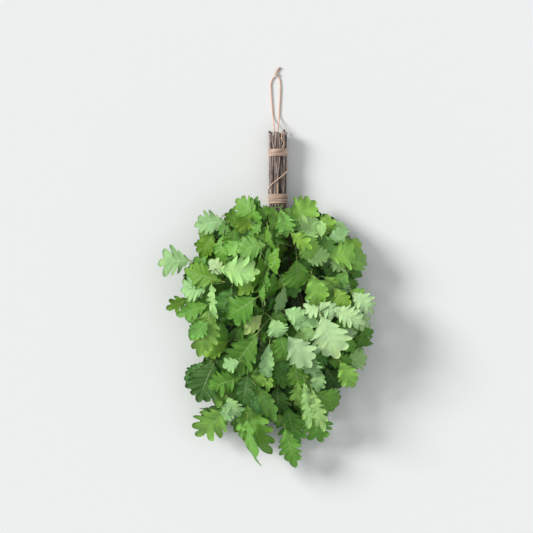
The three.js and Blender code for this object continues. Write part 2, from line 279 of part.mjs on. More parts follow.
const STEMS = [
  { ring: [0, 13.9], radius: 2.3, route: [[18.9, 89.3, 42], [16.3, 75, 54.3], [12.8, 61, 70.7], [8.8, 47.3, 90]] },
  { ring: [5.02, 12.96], radius: 2.3, route: [[31.5, 78.8, 41.7], [43.8, 52.3, 53.9], [58.5, 25.7, 70.4], [75.4, -1.2, 90]] },
  { ring: [9.36, 10.27], radius: 2.3, route: [[33.2, 99.7, 32.4], [36.2, 95.6, 34.4], [40.4, 91.7, 37.8], [45.6, 88, 42]] },
  { ring: [12.44, 6.2], radius: 2.3, route: [[38.4, 87.4, 29.5], [46.2, 70.1, 34.1], [56.3, 52.3, 40.8], [68, 34.2, 48.8]] },
  { ring: [13.84, 1.28], radius: 2.3, route: [[40.7, 93.8, 21.7], [47.1, 82.8, 22], [56, 71.9, 23.1], [66.6, 60.9, 24.7]] },
  { ring: [13.37, -3.8], radius: 2.3, route: [[34.5, 99.6, 15], [34.1, 96.1, 16], [34.3, 92.1, 17.1], [35, 87.9, 18.2]] },
  { ring: [11.09, -8.38], radius: 2.3, route: [[44.6, 82.4, 7.6], [63.1, 60.8, 8.4], [87.2, 39.6, 8.4], [115.3, 18.7, 8]] },
  { ring: [7.32, -11.82], radius: 2.3, route: [[34.1, 70.8, 7.6], [42.2, 36, 9], [53, -0.9, 10.9], [65.5, -39.4, 13.4]] },
  { ring: [2.55, -13.66], radius: 2.3, route: [[26.1, 36.2, 6], [29.9, -35, 7.8], [35.1, -111.2, 10.1], [41.1, -190.9, 12.9]] },
  { ring: [-2.55, -13.66], radius: 2.3, route: [[15.9, 85, 4.2], [12.1, 65.1, 3.8], [6.4, 44, 3.5], [-1, 22.3, 5.4]] },
  { ring: [-7.32, -11.82], radius: 2.3, route: [[4.7, 35.6, 9.5], [-6.7, -36.3, 11.1], [-21.9, -112.9, 13.5], [-39.8, -192.8, 16.5]] },
  { ring: [-11.09, -8.38], radius: 2.3, route: [[-0.5, 43.7, 13], [-13.5, -19.6, 16.6], [-30.6, -86.9, 21.4], [-50.9, -157.1, 26.9]] },
  { ring: [-13.37, -3.8], radius: 2.3, route: [[-0.2, 97.9, 14.6], [-10, 92.8, 15.4], [-22.9, 89, 16.3], [-38.1, 86.2, 17.2]] },
  { ring: [-13.84, 1.28], radius: 2.3, route: [[-7.2, 76.5, 21.1], [-25.6, 48.8, 22.4], [-49.9, 20.7, 24.2], [-78.5, -7.6, 26.4]] },
  { ring: [-12.44, 6.2], radius: 2.3, route: [[-0.5, 79.3, 31.5], [-11.1, 54.3, 41.5], [-25.4, 28.6, 54.7], [-42.3, 2.5, 70]] },
  { ring: [-9.36, 10.27], radius: 2.3, route: [[5.4, 96.2, 34.8], [-2.2, 89.1, 42.7], [-12.1, 83.3, 53.1], [-23.9, 78.4, 65.4]] },
  { ring: [-5.02, 12.96], radius: 2.3, route: [[11.6, 98, 38.5], [6, 93.2, 47.1], [-1.4, 90.1, 58.7], [-10, 88, 72.3]] },
  { ring: [1.94, 7.24], radius: 2.8, route: [[33.3, 49.3, 36.3], [47.3, -7.6, 50.1], [65.8, -67.6, 68.4], [87.6, -129.6, 90]] },
  { ring: [7.24, 1.94], radius: 2.8, route: [[38, 59.9, 28.4], [51.2, 14.1, 38.6], [68.9, -34.1, 52.2], [89.6, -83.9, 68.2]] },
  { ring: [5.3, -5.3], radius: 2.8, route: [[36.7, 49.4, 14.3], [50.7, -7.6, 15.7], [69.5, -68.1, 17.2], [91.6, -131.1, 19.2]] },
  { ring: [-1.94, -7.24], radius: 2.8, route: [[20.9, 59, 15.7], [23.6, 11.7, 21.6], [27.3, -38.8, 29.4], [31.6, -91.6, 38.5]] },
  { ring: [-7.24, -1.94], radius: 2.8, route: [[5.9, 70.4, 20.5], [-4, 35.3, 25.8], [-17.1, -1.7, 32.7], [-32.5, -40, 40.9]] },
  { ring: [-5.3, 5.3], radius: 2.8, route: [[11, 68.9, 34.7], [5.4, 32.7, 48.9], [-2.2, -5.2, 67.8], [-11, -44.3, 90]] },
  { ring: [0, 0], radius: 3.3, route: [[14.5, 48, 30.2], [6.4, -10.4, 45.6], [-4.4, -72.2, 66], [-17, -136.3, 90]] },
];

// ---- helpers --------------------------------------------------------------
const whisk = new THREE.Group();
const V = (p) => new THREE.Vector3(p[0], p[1], p[2]);

const MATERIAL = {
  bark: () => new THREE.MeshStandardMaterial({ color: 0x6b5a50, roughness: 0.85, metalness: 0 }),
  leaf: (n) => new THREE.MeshStandardMaterial({ color: [0x6f9c46, 0x86b562, 0x5c8a3a, 0x97bd78][n % 4], roughness: 0.6, metalness: 0, side: THREE.DoubleSide }),
  twine: () => new THREE.MeshStandardMaterial({ color: 0xb99672, roughness: 0.95, metalness: 0 }),
};

function toSolid(geometry) {
  let g = geometry.clone();
  g.deleteAttribute('normal');
  g.deleteAttribute('uv');
  g = mergeVertices(g, 1e-4);
  return new wasm.Manifold(new wasm.Mesh({
    numProp: 3,
    vertProperties: Float32Array.from(g.attributes.position.array),
    triVerts: Uint32Array.from(g.index.array),
  }));
}

function toGeometry(solid) {
  const m = solid.getMesh();
  const g = new THREE.BufferGeometry();
  g.setAttribute('position', new THREE.BufferAttribute(Float32Array.from(m.vertProperties), 3));
  g.setIndex(Array.from(m.triVerts));
  g.computeVertexNormals();
  return g;
}

function add(name, geometry, material) {
  const mesh = new THREE.Mesh(geometry, material);
  mesh.name = name;
  mesh.position.set(...SHIFT);
  whisk.add(mesh);
}

// A closed tapering rod through the given points, with one radius per point.
function rod(points, radii, sides) {
  const pos = [], idx = [];
  const up = new THREE.Vector3(0.12, 0.2, 1).normalize();
  points.forEach((p, k) => {
    const a = points[Math.max(0, k - 1)], b = points[Math.min(points.length - 1, k + 1)];
    const t = b.clone().sub(a).normalize();
    let u = up.clone().cross(t);
    if (u.length() < 0.2) u = new THREE.Vector3(1, 0, 0).cross(t);
    u.normalize();
    const w = t.clone().cross(u);
    for (let i = 0; i < sides; i++) {
      const h = 2 * Math.PI * i / sides;
      const q = p.clone().addScaledVector(u, radii[k] * Math.cos(h)).addScaledVector(w, radii[k] * Math.sin(h));
      pos.push(q.x, q.y, q.z);
    }
  });
  const n = points.length;
  for (let k = 0; k < n - 1; k++) for (let i = 0; i < sides; i++) {
    const j = (i + 1) % sides, a = k * sides + i, b = k * sides + j, c = a + sides, d = b + sides;
    idx.push(a, b, d, a, d, c);
  }
  for (let i = 1; i < sides - 1; i++) {
    idx.push(0, i + 1, i);
    idx.push((n - 1) * sides, (n - 1) * sides + i, (n - 1) * sides + i + 1);
  }
  const g = new THREE.BufferGeometry();
  g.setAttribute('position', new THREE.BufferAttribute(Float32Array.from(pos), 3));
  g.setIndex(idx);
  g.computeVertexNormals();
  return g;
}

// A twine: a round section extruded along a smooth curve through the points.
function twine(points, steps, radius = TWINE_R, sides = 8) {
  const path = new THREE.CatmullRomCurve3(points.map(V));
  const section = new THREE.Shape();
  for (let i = 0; i < sides; i++) {
    const h = 2 * Math.PI * i / sides;
    if (i === 0) section.moveTo(radius * Math.cos(h), radius * Math.sin(h));
    else section.lineTo(radius * Math.cos(h), radius * Math.sin(h));
  }
  section.closePath();
  return new THREE.ExtrudeGeometry(section, { steps, extrudePath: path, bevelEnabled: false });
}

// A piece of green shoot through its joints; its ends run a little into its neighbours.
function twig(...points) {
  const grow = typeof points.at(-1) === 'number' ? points.pop() : 0, n = points.length - 1;
  const first = points[1].clone().sub(points[0]).normalize().multiplyScalar(0.6);
  const last = points[n].clone().sub(points[n - 1]).normalize().multiplyScalar(0.6);
  const line = points.map((p, i) => (i === 0 ? p.clone().sub(first) : i === n ? p.clone().add(last) : p));
  return rod(line, line.map(() => TWIG_R + grow), 3);
}

// The runs of shoot that a list of joint pairs makes, without sharp bends.
function runs(pairs, joint) {
  const left = pairs.slice(), out = [];
  const turn = (a, b, c) => joint[b].clone().sub(joint[a]).angleTo(joint[c].clone().sub(joint[b]));
  while (left.length) {
    const run = left.shift().slice();
    for (;;) {
      const [p, q] = run.slice(-2);
      const next = left.map((e, i) => [i, e]).filter(([, e]) => e[0] === q && turn(p, q, e[1]) < 1.3).sort((x, y) => turn(p, q, x[1][1]) - turn(p, q, y[1][1]))[0];
      if (!next) break;
      run.push(next[1][1]);
      left.splice(next[0], 1);
    }
    out.push(run);
  }
  return out;
}

// A leaf: a thin plate from its stalk to its tip, arched along its length and
// folded a little along its midrib. grow makes it larger on every side.
function leaf(base, row, grow = 0) {
  const [, dir, facing, length, width, arch, fold] = row;
  const a = V(dir).normalize(), n = V(facing).normalize();
  const s = n.clone().cross(a).normalize();
  n.crossVectors(a, s);
  const at = (u, v, w) => base.clone().addScaledVector(a, u).addScaledVector(s, v)
    .addScaledVector(n, -arch * length * ((2 * (u / length - 0.45)) ** 2 - 0.81) * 0.6 + fold * Math.abs(v) * 0.6 + w);
  const half = width / 2 + grow, e = grow;
  const outline = [[-e, -0.9 - e], [-e, 0.9 + e], [0.58 * length, half], [length + 2 * e, 0], [0.58 * length, -half]];
  const pos = [];
  for (const w of [LEAF_T / 2 + grow, -LEAF_T / 2 - grow])
    for (const [u, v] of outline) { const q = at(u, v, w); pos.push(q.x, q.y, q.z); }
  const idx = [0, 4, 1, 4, 2, 1, 4, 3, 2, 5, 6, 9, 6, 7, 9, 7, 8, 9];
  for (let i = 0; i < 5; i++) {
    const j = (i + 1) % 5;
    idx.push(i, j, 5 + j, i, 5 + j, 5 + i);
  }
  const g = new THREE.BufferGeometry();
  g.setAttribute('position', new THREE.BufferAttribute(Float32Array.from(pos), 3));
  g.setIndex(idx);
  return g;
}

// A binding: several turns of twine side by side, as one scalloped ring.
function binding([low, high], turns) {
  const pitch = (high - low) / turns;
  const profile = [[BINDING_IN, low]];
  for (let k = 0; k < turns; k++) {
    profile.push([BINDING_OUT - 0.7, low + pitch * k], [BINDING_OUT, low + pitch * (k + 0.5)]);
  }
  profile.push([BINDING_OUT - 0.7, high], [BINDING_IN, high], [BINDING_IN, low]);
  const g = new THREE.LatheGeometry(profile.map(([r, y]) => new THREE.Vector2(r, y)), 20);
  g.translate(AXIS_X, 0, AXIS_Z);
  return g;
}

// a point on the handle's surface: angle 0 is the top, +90 degrees is +X
const onHandle = (deg, y, r) => [AXIS_X + r * Math.sin(deg * Math.PI / 180), y, AXIS_Z + r * Math.cos(deg * Math.PI / 180)];

// ---- woody stems ----------------------------------------------------------
const stemSpace = [];   // each stem with its clearance
const CUT_HEIGHTS = [0, -4, 2, -7, 1, -3, 7.5, -5, -1, 2, -6, 1, -3, 3, -2, -8, 1, -9, -10, -8, -11, -9, -10, -10];
STEMS.forEach((stem, i) => {
  const [x, z] = stem.ring, r = stem.radius;
  const top = HANDLE_TOP + CUT_HEIGHTS[i % CUT_HEIGHTS.length] * 0.8;
  const splay = 1.09;
  const pts = [
    [AXIS_X + x * splay, top, AXIS_Z + z * splay], [AXIS_X + x, UPPER_BINDING[1] + 3, AXIS_Z + z],
    [AXIS_X + x, HANDLE_LOW, AXIS_Z + z], ...stem.route,
  ].map(V);
  const end = 1.5;
  const radii = [r, r, r, r * 0.92, r * 0.82, (r + end) / 2 * 0.9, end];
  let solid = toSolid(rod(pts, radii, 6));
  const before = solid.volume();
  for (const c of stemSpace) solid = solid.subtract(c);
  if (before - solid.volume() > 1e-6) solid = solid.decompose().sort((p, q) => q.volume() - p.volume())[0];
  add(`stem_${String(i + 1).padStart(2, '0')}`, toGeometry(solid), MATERIAL.bark());
  stemSpace.push(toSolid(rod(pts, radii.map((v) => v + GAP + 0.1), 6)));
});

// ---- bindings, lashing, loop ------------------------------------------------
add('upper_binding', binding(UPPER_BINDING, 5), MATERIAL.twine());
add('lower_binding', binding(LOWER_BINDING, 6), MATERIAL.twine());
// the lashing runs once round the handle, from the upper to the lower binding
const lash = [];
for (let k = 0; k <= 12; k++) {
  const t = k / 12;
  lash.push(onHandle(172 - 275 * t, 197.3 - 62.6 * t, RING_R + STEM_R + GAP + 0.9));
}
add('diagonal_lashing', twine(lash, 24, 0.9, 6), MATERIAL.twine());

// the end of the upper binding stands up along the handle and curls back
const lift = RING_R + STEM_R + TWINE_R + 1.9;
add('upper_twine_end', twine([
  onHandle(19, 243.5, lift + 1.4), onHandle(20, 238, lift + 1.4), onHandle(20, 232.5, lift + 1.2),
  onHandle(29, 227, lift + 1), onHandle(33, 222.5, lift + 0.6), onHandle(27, 217.2, lift - 0.4),
], 14, 1.0), MATERIAL.twine());
add('lower_twine_end', twine([
  onHandle(-1, 134.3, lift - 0.8), onHandle(-2, 140, lift - 0.6), onHandle(-1, 147.5, lift - 0.3),
], 5, 1.0), MATERIAL.twine());

// the hanging loop lies on the surface beyond the cut ends
const LOOP_LEFT = [
  [14, 238, 19.5], [14, 246, 19.6], [13.8, 253.5, 16.8], [13.2, 260.5, 9.5], [12.5, 268, 3.6], [11.8, 276, 1.45], [10.9, 287, 1.35],
  [9.9, 300, 1.35], [9.2, 312, 1.35], [8.5, 325, 1.35], [8.4, 334, 1.35], [10.6, 342, 1.35], [15.3, 347.8, 1.6],
];
const LOOP_RIGHT = [
  [20.4, 238, 21.5], [20.6, 247, 21.6], [21.2, 255, 18.4], [22, 262.5, 10.6], [22.8, 270, 4.2], [23.4, 278, 1.5], [23.9, 288, 1.35],
  [24.6, 300, 1.35], [25.2, 312, 1.35], [25.6, 325, 1.35], [25.2, 336, 1.35], [23.6, 343.5, 1.35], [21.5, 347.4, 1.6],
];
const KNOT = [18.5, 350.3, 3];
add('loop_cord_left', twine(LOOP_LEFT, 46), MATERIAL.twine());
add('loop_cord_right', twine(LOOP_RIGHT, 46), MATERIAL.twine());
const ball = new THREE.SphereGeometry(3, 10, 7);
ball.scale(1.0, 0.85, 0.9);
ball.translate(KNOT[0], KNOT[1] + 0.6, KNOT[2] - 0.2);
let knot = toSolid(ball);
knot = knot.add(toSolid(twine([[18.4, 351, 2.6], [20, 355.5, 2], [22.8, 361, 1.5], [26.4, 363.6, 1.4]], 8)));
knot = knot.add(toSolid(twine([[17.8, 351.5, 2.8], [18.4, 356.5, 2.2], [21.2, 361.5, 2.8], [24.8, 364.8, 3]], 8, 1.1)));
add('loop_knot', toGeometry(knot), MATERIAL.twine());

// ---- leaf sprays ------------------------------------------------------------
const join = (parts) => parts.reduce((a, b) => a.add(b));
SPRAYS.forEach((spray, k) => {
  const joint = [V(spray.root), ...spray.joints.map(V)];
  const parts = runs(spray.twigs, joint).map((run) => toSolid(twig(...run.map((i) => joint[i]))));
  for (const row of spray.leaves) parts.push(toSolid(leaf(joint[row[0]], row)));
  // the shoot starts just past the end of its own stem
  const solid = join(parts).subtract(stemSpace[spray.stem]);
  const pieces = solid.decompose().sort((p, q) => q.volume() - p.volume());
  add(`leaf_spray_${String(k + 1).padStart(2, '0')}`, toGeometry(pieces[0]), MATERIAL.leaf(k));
});

export default whisk;
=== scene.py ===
# Oak sauna whisk: leafy oak branches tied with jute twine, lying on a pale surface.
import bpy, math
import numpy as np
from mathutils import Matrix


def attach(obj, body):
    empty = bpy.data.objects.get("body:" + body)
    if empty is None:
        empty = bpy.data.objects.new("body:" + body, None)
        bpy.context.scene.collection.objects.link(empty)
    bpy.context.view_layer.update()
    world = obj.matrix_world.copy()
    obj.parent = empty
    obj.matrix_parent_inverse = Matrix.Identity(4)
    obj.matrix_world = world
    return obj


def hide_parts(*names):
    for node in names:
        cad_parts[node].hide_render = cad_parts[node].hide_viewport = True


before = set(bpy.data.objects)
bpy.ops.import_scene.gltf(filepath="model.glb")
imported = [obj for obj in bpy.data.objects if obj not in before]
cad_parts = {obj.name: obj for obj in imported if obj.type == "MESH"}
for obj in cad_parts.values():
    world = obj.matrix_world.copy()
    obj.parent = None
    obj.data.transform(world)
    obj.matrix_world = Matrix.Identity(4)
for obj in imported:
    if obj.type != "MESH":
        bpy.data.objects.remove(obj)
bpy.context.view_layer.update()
scene = bpy.context.scene

# ---- place of the layout in the row frame (millimetres) -----------------------
SHIFT = np.array([0.85, 55.4, 0.15])
AXIS_X, AXIS_Z = 20.7, 18.45
HANDLE_TOP, HANDLE_LOW = 244.0, 104.0
LOWER_BINDING, UPPER_BINDING = (113.2, 132.8), (198.6, 215.4)
CAM_D, CAM_REF, MM_PER_UNIT = 3500.0, 60.0, 1.8
MM = 0.001

# ---- camera --------------------------------------------------------------------
cam = bpy.data.cameras.new("camera")
cam.sensor_width = 36.0
cam.lens = 36.0 * (CAM_D - CAM_REF) / (533 * MM_PER_UNIT)
cam.clip_end = 50
camera = bpy.data.objects.new("camera", cam)
scene.collection.objects.link(camera)
camera.location = (SHIFT[0] * MM, SHIFT[1] * MM, CAM_D * MM)
scene.camera = camera

# ---- tables ----------------------------------------------------------------------
# A spray is (CAD node, shoot pieces as (from, to, radius, radius), leaves). A leaf is
# (base, direction, facing, length, width, arch, fold, lobes, depth of lobes, colour, number).
SPRAYS = [
 ("leaf_spray_01", [
   ((-10.7, -43, 89.3), (-11, -44.5, 90.1), 1.35, 1.25),
   ((-11, -44.3, 90), (-4.5, -82.2, 109.2), 1.25, 1.04),
   ((-4.5, -82.2, 109.2), (7.7, -88.9, 127.6), 1.14, 0.98),
   ((7.7, -88.9, 127.6), (-10.7, -110, 128.6), 1.08, 0.92),
   ((-10.7, -110, 128.6), (6.4, -129.8, 114.1), 1.02, 0.86),
   ((6.4, -129.8, 114.1), (22.1, -116.5, 106.7), 0.96, 0.85),
   ((22.1, -116.5, 106.7), (34.4, -117.8, 115.7), 0.95, 0.85),
   ((-4.5, -82.2, 109.2), (24, -84, 94.7), 1.14, 0.98),
   ((-4.5, -82.2, 109.2), (-12.5, -51.6, 132.6), 1.14, 0.98),
   ((24, -84, 94.7), (27.5, -75.5, 104), 0.85, 0.7),
   ((-4.5, -82.2, 109.2), (-4.5, -52.7, 84), 0.85, 0.7),
   ((24, -84, 94.7), (16.1, -65.2, 102.1), 0.85, 0.7),
   ((22.1, -116.5, 106.7), (27.3, -114.8, 99.9), 0.85, 0.7),
  ], [
   ((24, -84, 94.7), (0.956, -0.277, -0.102), (0.093, -0.044, 0.995), 74.4, 44.3, 0.07, 0.12, 4, 0.16, "m", 42),
   ((7.7, -88.9, 127.6), (0.404, -0.849, -0.34), (-0.002, -0.373, 0.928), 45.9, 42.3, 0.07, 0.12, 5, 0.26, "m", 43),
   ((22.1, -116.5, 106.7), (0.223, -0.968, 0.114), (0.055, 0.129, 0.99), 50.1, 46.2, 0.07, 0.12, 4, 0.3, "b", 44),
   ((34.4, -117.8, 115.7), (0.588, -0.808, -0.04), (-0.011, -0.058, 0.998), 76, 60.1, 0.07, 0.12, 4, 0.26, "j", 45),
   ((-12.5, -51.6, 132.6), (-0.757, -0.505, -0.414), (-0.33, -0.251, 0.91), 80.9, 64.2, 0.07, 0.12, 4, 0.3, "b", 93),
   ((-4.5, -82.2, 109.2), (-0.667, -0.737, -0.105), (0.048, -0.183, 0.982), 53.1, 30.4, 0.07, 0.12, 4, 0.26, "k", 94),
   ((-10.7, -110, 128.6), (-0.55, -0.707, -0.445), (-0.253, -0.367, 0.895), 118.9, 64.6, 0.07, 0.12, 4, 0.3, "b", 102),
   ((6.4, -129.8, 114.1), (-0.127, -0.914, -0.386), (-0.072, -0.38, 0.922), 87.9, 30.1, 0.07, 0.12, 5, 0.22, "i", 114),
   ((27.5, -75.5, 104), (0.905, -0.416, -0.085), (0.033, -0.13, 0.991), 47.2, 34, 0.03, 0.25, 4, 0.2, "m", 505),
   ((-4.5, -52.7, 84), (-0.058, -0.99, -0.13), (0.957, -0.092, 0.273), 61.7, 30, 0.06, 0.25, 4, 0.3, "b", 509),
   ((16.1, -65.2, 102.1), (0.151, -0.988, 0.027), (-0.052, 0.02, 0.998), 58.8, 36.3, 0.06, 0.08, 5, 0.33, "b", 516),
   ((27.3, -114.8, 99.9), (-0.173, -0.942, -0.289), (-0.278, -0.235, 0.931), 67.2, 37.6, 0.08, 0.19, 4, 0.35, "d", 533),
  ]),
 ("leaf_spray_02", [
   ((9.1, 48.2, 88.8), (8.8, 47.2, 90.2), 1.35, 1.25),
   ((8.8, 47.3, 90), (7.7, 41.3, 97.6), 1.25, 1.04),
   ((7.7, 41.3, 97.6), (4.7, 39.6, 102.3), 1.14, 0.98),
   ((4.7, 39.6, 102.3), (-9.5, 26.1, 111.2), 1.08, 0.92),
   ((4.7, 39.6, 102.3), (20.4, 41.6, 126.1), 1.08, 0.92),
   ((-9.5, 26.1, 111.2), (4, -3, 109.9), 1.02, 0.86),
   ((4, -3, 109.9), (15.5, -5.8, 104.9), 0.96, 0.85),
   ((4, -3, 109.9), (-13.6, -16.5, 106.5), 0.96, 0.85),
   ((-13.6, -16.5, 106.5), (-3.8, -30.9, 118.1), 0.95, 0.85),
   ((15.5, -5.8, 104.9), (31.6, -30.4, 114.2), 0.95, 0.85),
   ((31.6, -30.4, 114.2), (28.3, -41, 105.7), 0.95, 0.85),
   ((28.3, -41, 105.7), (36.7, -22.2, 83.1), 0.95, 0.85),
   ((20.4, 41.6, 126.1), (51.9, 35.9, 105.1), 1.02, 0.86),
   ((51.9, 35.9, 105.1), (53.7, 17.2, 108.9), 0.96, 0.85),
   ((53.7, 17.2, 108.9), (57.4, 17.7, 100.1), 0.95, 0.85),
   ((7.7, 41.3, 97.6), (4.3, 34.5, 78.6), 0.85, 0.7),
   ((15.5, -5.8, 104.9), (4.5, -2.7, 92), 0.85, 0.7),
   ((15.5, -5.8, 104.9), (13.4, -6.2, 88), 0.85, 0.7),
   ((-13.6, -16.5, 106.5), (-15.2, -2.7, 86), 0.85, 0.7),
   ((28.3, -41, 105.7), (29.4, -34.7, 96), 0.85, 0.7),
   ((57.4, 17.7, 100.1), (67.6, 30.9, 84.8), 0.85, 0.7),
   ((57.4, 17.7, 100.1), (61.7, -8, 92.2), 0.85, 0.7),
  ], [
   ((51.9, 35.9, 105.1), (0.519, 0.741, -0.425), (0.133, 0.421, 0.897), 75.7, 54, 0.07, 0.12, 4, 0.36, "h", 10),
   ((57.4, 17.7, 100.1), (0.96, 0.062, -0.274), (0.28, -0.131, 0.951), 60.5, 42, 0.07, 0.12, 5, 0.28, "h", 23),
   ((53.7, 17.2, 108.9), (0, -0.983, -0.182), (0.26, -0.176, 0.949), 58.8, 54.2, 0.07, 0.12, 5, 0.2, "c", 28),
   ((36.7, -22.2, 83.1), (0.402, -0.905, -0.137), (0.012, -0.145, 0.989), 37.3, 34.4, 0.07, 0.12, 4, 0.24, "g", 29),
   ((31.6, -30.4, 114.2), (-0.273, -0.94, -0.204), (0.632, -0.335, 0.699), 58.5, 31.7, 0.07, 0.12, 4, 0.16, "i", 56),
   ((28.3, -41, 105.7), (-0.53, -0.833, -0.159), (0.621, -0.509, 0.596), 49.3, 27.9, 0.07, 0.12, 4, 0.2, "g", 57),
   ((20.4, 41.6, 126.1), (-0.099, -0.991, -0.091), (-0.692, 0.003, 0.722), 56.2, 32.4, 0.1, 0.4, 4, 0.12, "c", 59),
   ((7.7, 41.3, 97.6), (-0.195, -0.975, 0.105), (-0.804, 0.221, 0.552), 57.3, 42, 0.07, 0.12, 4, 0.2, "b", 60),
   ((-9.5, 26.1, 111.2), (-0.169, -0.984, -0.063), (0.693, -0.164, 0.702), 66.2, 27.4, 0.07, 0.12, 4, 0.15, "b", 61),
   ((4, -3, 109.9), (-0.235, -0.972, -0.007), (-0.759, 0.179, 0.626), 55.6, 30.8, 0.07, 0.12, 4, 0.2, "b", 62),
   ((15.5, -5.8, 104.9), (-0.257, -0.965, -0.047), (0.743, -0.229, 0.629), 57.9, 37.4, 0.07, 0.12, 4, 0.2, "c", 63),
   ((-3.8, -30.9, 118.1), (-0.108, -0.974, -0.2), (-0.585, -0.1, 0.805), 34.4, 18.1, 0.07, 0.12, 3, 0.2, "c", 64),
   ((4.7, 39.6, 102.3), (-0.972, -0.213, -0.104), (-0.148, 0.204, 0.968), 61.5, 53.1, 0.07, 0.12, 5, 0.22, "f", 67),
   ((-13.6, -16.5, 106.5), (-0.725, -0.688, -0.029), (0.18, -0.23, 0.957), 51.4, 31.4, 0.07, 0.12, 4, 0.2, "e", 95),
   ((4.3, 34.5, 78.6), (-0.199, -0.923, -0.33), (0.048, -0.345, 0.937), 48.2, 27.1, 0.03, 0.1, 4, 0.3, "b", 1104),
   ((4.5, -2.7, 92), (-0.24, -0.961, -0.134), (0.901, -0.272, 0.339), 59.5, 32, 0.06, 0.25, 4, 0.3, "b", 503),
   ((13.4, -6.2, 88), (-0.206, -0.966, -0.154), (0.88, -0.252, 0.402), 51.9, 36, 0.06, 0.25, 4, 0.3, "b", 506),
   ((-15.2, -2.7, 86), (-0.362, -0.92, -0.147), (0.761, -0.383, 0.524), 54.5, 34, 0.06, 0.25, 4, 0.3, "a", 507),
   ((29.4, -34.7, 96), (-0.335, -0.934, -0.125), (0.757, -0.346, 0.555), 47.8, 36, 0.06, 0.25, 4, 0.3, "h", 508),
   ((67.6, 30.9, 84.8), (0.065, -0.992, 0.107), (-0.145, 0.097, 0.985), 54.2, 30.3, 0.03, 0.17, 4, 0.32, "b", 523),
   ((61.7, -8, 92.2), (-0.829, -0.558, 0.033), (-0.181, 0.324, 0.929), 54.2, 29.4, 0.09, 0.1, 5, 0.35, "d", 528),
  ]),
 ("leaf_spray_03", [
   ((-9.2, 88.2, 71), (-10.1, 88, 72.5), 1.35, 1.25),
   ((-10, 88, 72.3), (-7.7, 93.8, 80.1), 1.25, 1.04),
   ((-7.7, 93.8, 80.1), (-9.3, 88.3, 86.6), 1.14, 0.98),
   ((-9.3, 88.3, 86.6), (-7.7, 79.3, 89.5), 1.08, 0.92),
   ((-9.3, 88.3, 86.6), (-19, 96, 90.1), 1.08, 0.92),
   ((-7.7, 79.3, 89.5), (4.8, 72.6, 87.4), 1.02, 0.86),
   ((4.8, 72.6, 87.4), (-0.8, 61.5, 88.1), 0.96, 0.85),
   ((-7.7, 93.8, 80.1), (6.1, 102.7, 87.7), 1.14, 0.98),
   ((-19, 96, 90.1), (-26.6, 110, 100.3), 1.02, 0.86),
   ((6.1, 102.7, 87.7), (24.2, 105.9, 105.6), 1.08, 0.92),
   ((24.2, 105.9, 105.6), (36.8, 95.3, 98.8), 1.02, 0.86),
   ((-0.8, 61.5, 88.1), (6.9, 57.2, 125), 0.95, 0.85),
   ((6.9, 57.2, 125), (0.7, 79.1, 128.6), 0.95, 0.85),
   ((6.9, 57.2, 125), (37.6, 62.7, 122.9), 0.95, 0.85),
   ((37.6, 62.7, 122.9), (52.1, 59.2, 117.4), 0.95, 0.85),
   ((52.1, 59.2, 117.4), (60.8, 63.3, 111.8), 0.95, 0.85),
   ((-7.7, 93.8, 80.1), (9, 94.5, 50.8), 1.14, 0.98),
   ((6.1, 102.7, 87.7), (28.4, 112.3, 71.7), 0.85, 0.7),
   ((9, 94.5, 50.8), (-17.3, 111.6, 51.1), 0.85, 0.7),
   ((9, 94.5, 50.8), (5.9, 79.6, 51.3), 0.85, 0.7),
   ((4.8, 72.6, 87.4), (10.8, 62.5, 69.5), 0.85, 0.7),
   ((4.8, 72.6, 87.4), (6.2, 82.8, 98), 0.85, 0.7),
   ((-7.7, 79.3, 89.5), (-8, 79.4, 88), 0.85, 0.7),
   ((6.1, 102.7, 87.7), (15.2, 90.1, 92), 0.85, 0.7),
   ((4.8, 72.6, 87.4), (16.9, 79.2, 70.3), 0.85, 0.7),
   ((6.1, 102.7, 87.7), (11.9, 93.1, 85.2), 0.85, 0.7),
  ], [
   ((-9.3, 88.3, 86.6), (-0.77, 0.554, -0.316), (-0.265, 0.172, 0.949), 61, 45.5, 0.07, 0.12, 4, 0.34, "f", 0),
   ((-7.7, 93.8, 80.1), (-0.586, 0.721, -0.371), (-0.31, 0.224, 0.924), 41.8, 28.3, 0.07, 0.12, 3, 0.3, "b", 1),
   ((-26.6, 110, 100.3), (0.388, -0.922, -0.015), (-0.81, -0.349, 0.471), 38.6, 27.4, 0.07, 0.12, 4, 0.2, "c", 2),
   ((6.1, 102.7, 87.7), (-0.851, -0.524, 0.034), (0.093, -0.087, 0.992), 28.6, 26.4, 0.12, 0.3, 5, 0.3, "d", 3),
   ((6.9, 57.2, 125), (0.12, 0.957, -0.263), (0.568, 0.152, 0.809), 52.2, 22.1, 0.07, 0.12, 4, 0.2, "c", 4),
   ((0.7, 79.1, 128.6), (0.193, -0.963, -0.19), (-0.88, -0.255, 0.401), 57.8, 28.9, 0.07, 0.12, 4, 0.12, "c", 5),
   ((24.2, 105.9, 105.6), (0.202, -0.977, -0.067), (-0.131, -0.095, 0.987), 55.4, 43.5, 0.07, 0.12, 4, 0.32, "f", 6),
   ((36.8, 95.3, 98.8), (0.506, -0.86, 0.061), (-0.32, -0.121, 0.94), 36.9, 27.4, 0.07, 0.12, 4, 0.3, "f", 8),
   ((60.8, 63.3, 111.8), (0.426, -0.885, -0.185), (0.367, -0.018, 0.93), 57, 52.6, 0.07, 0.12, 4, 0.26, "d", 11),
   ((37.6, 62.7, 122.9), (0.787, -0.582, -0.204), (0.284, 0.048, 0.958), 54.3, 30.6, 0.07, 0.12, 4, 0.39, "e", 13),
   ((52.1, 59.2, 117.4), (0.951, 0, -0.311), (0.302, 0.231, 0.925), 17.6, 11, 0.07, 0.12, 2, 0.2, "f", 14),
   ((-19, 96, 90.1), (-0.733, -0.666, -0.139), (0.139, -0.346, 0.928), 56.2, 29.9, 0.07, 0.12, 4, 0.16, "e", 75),
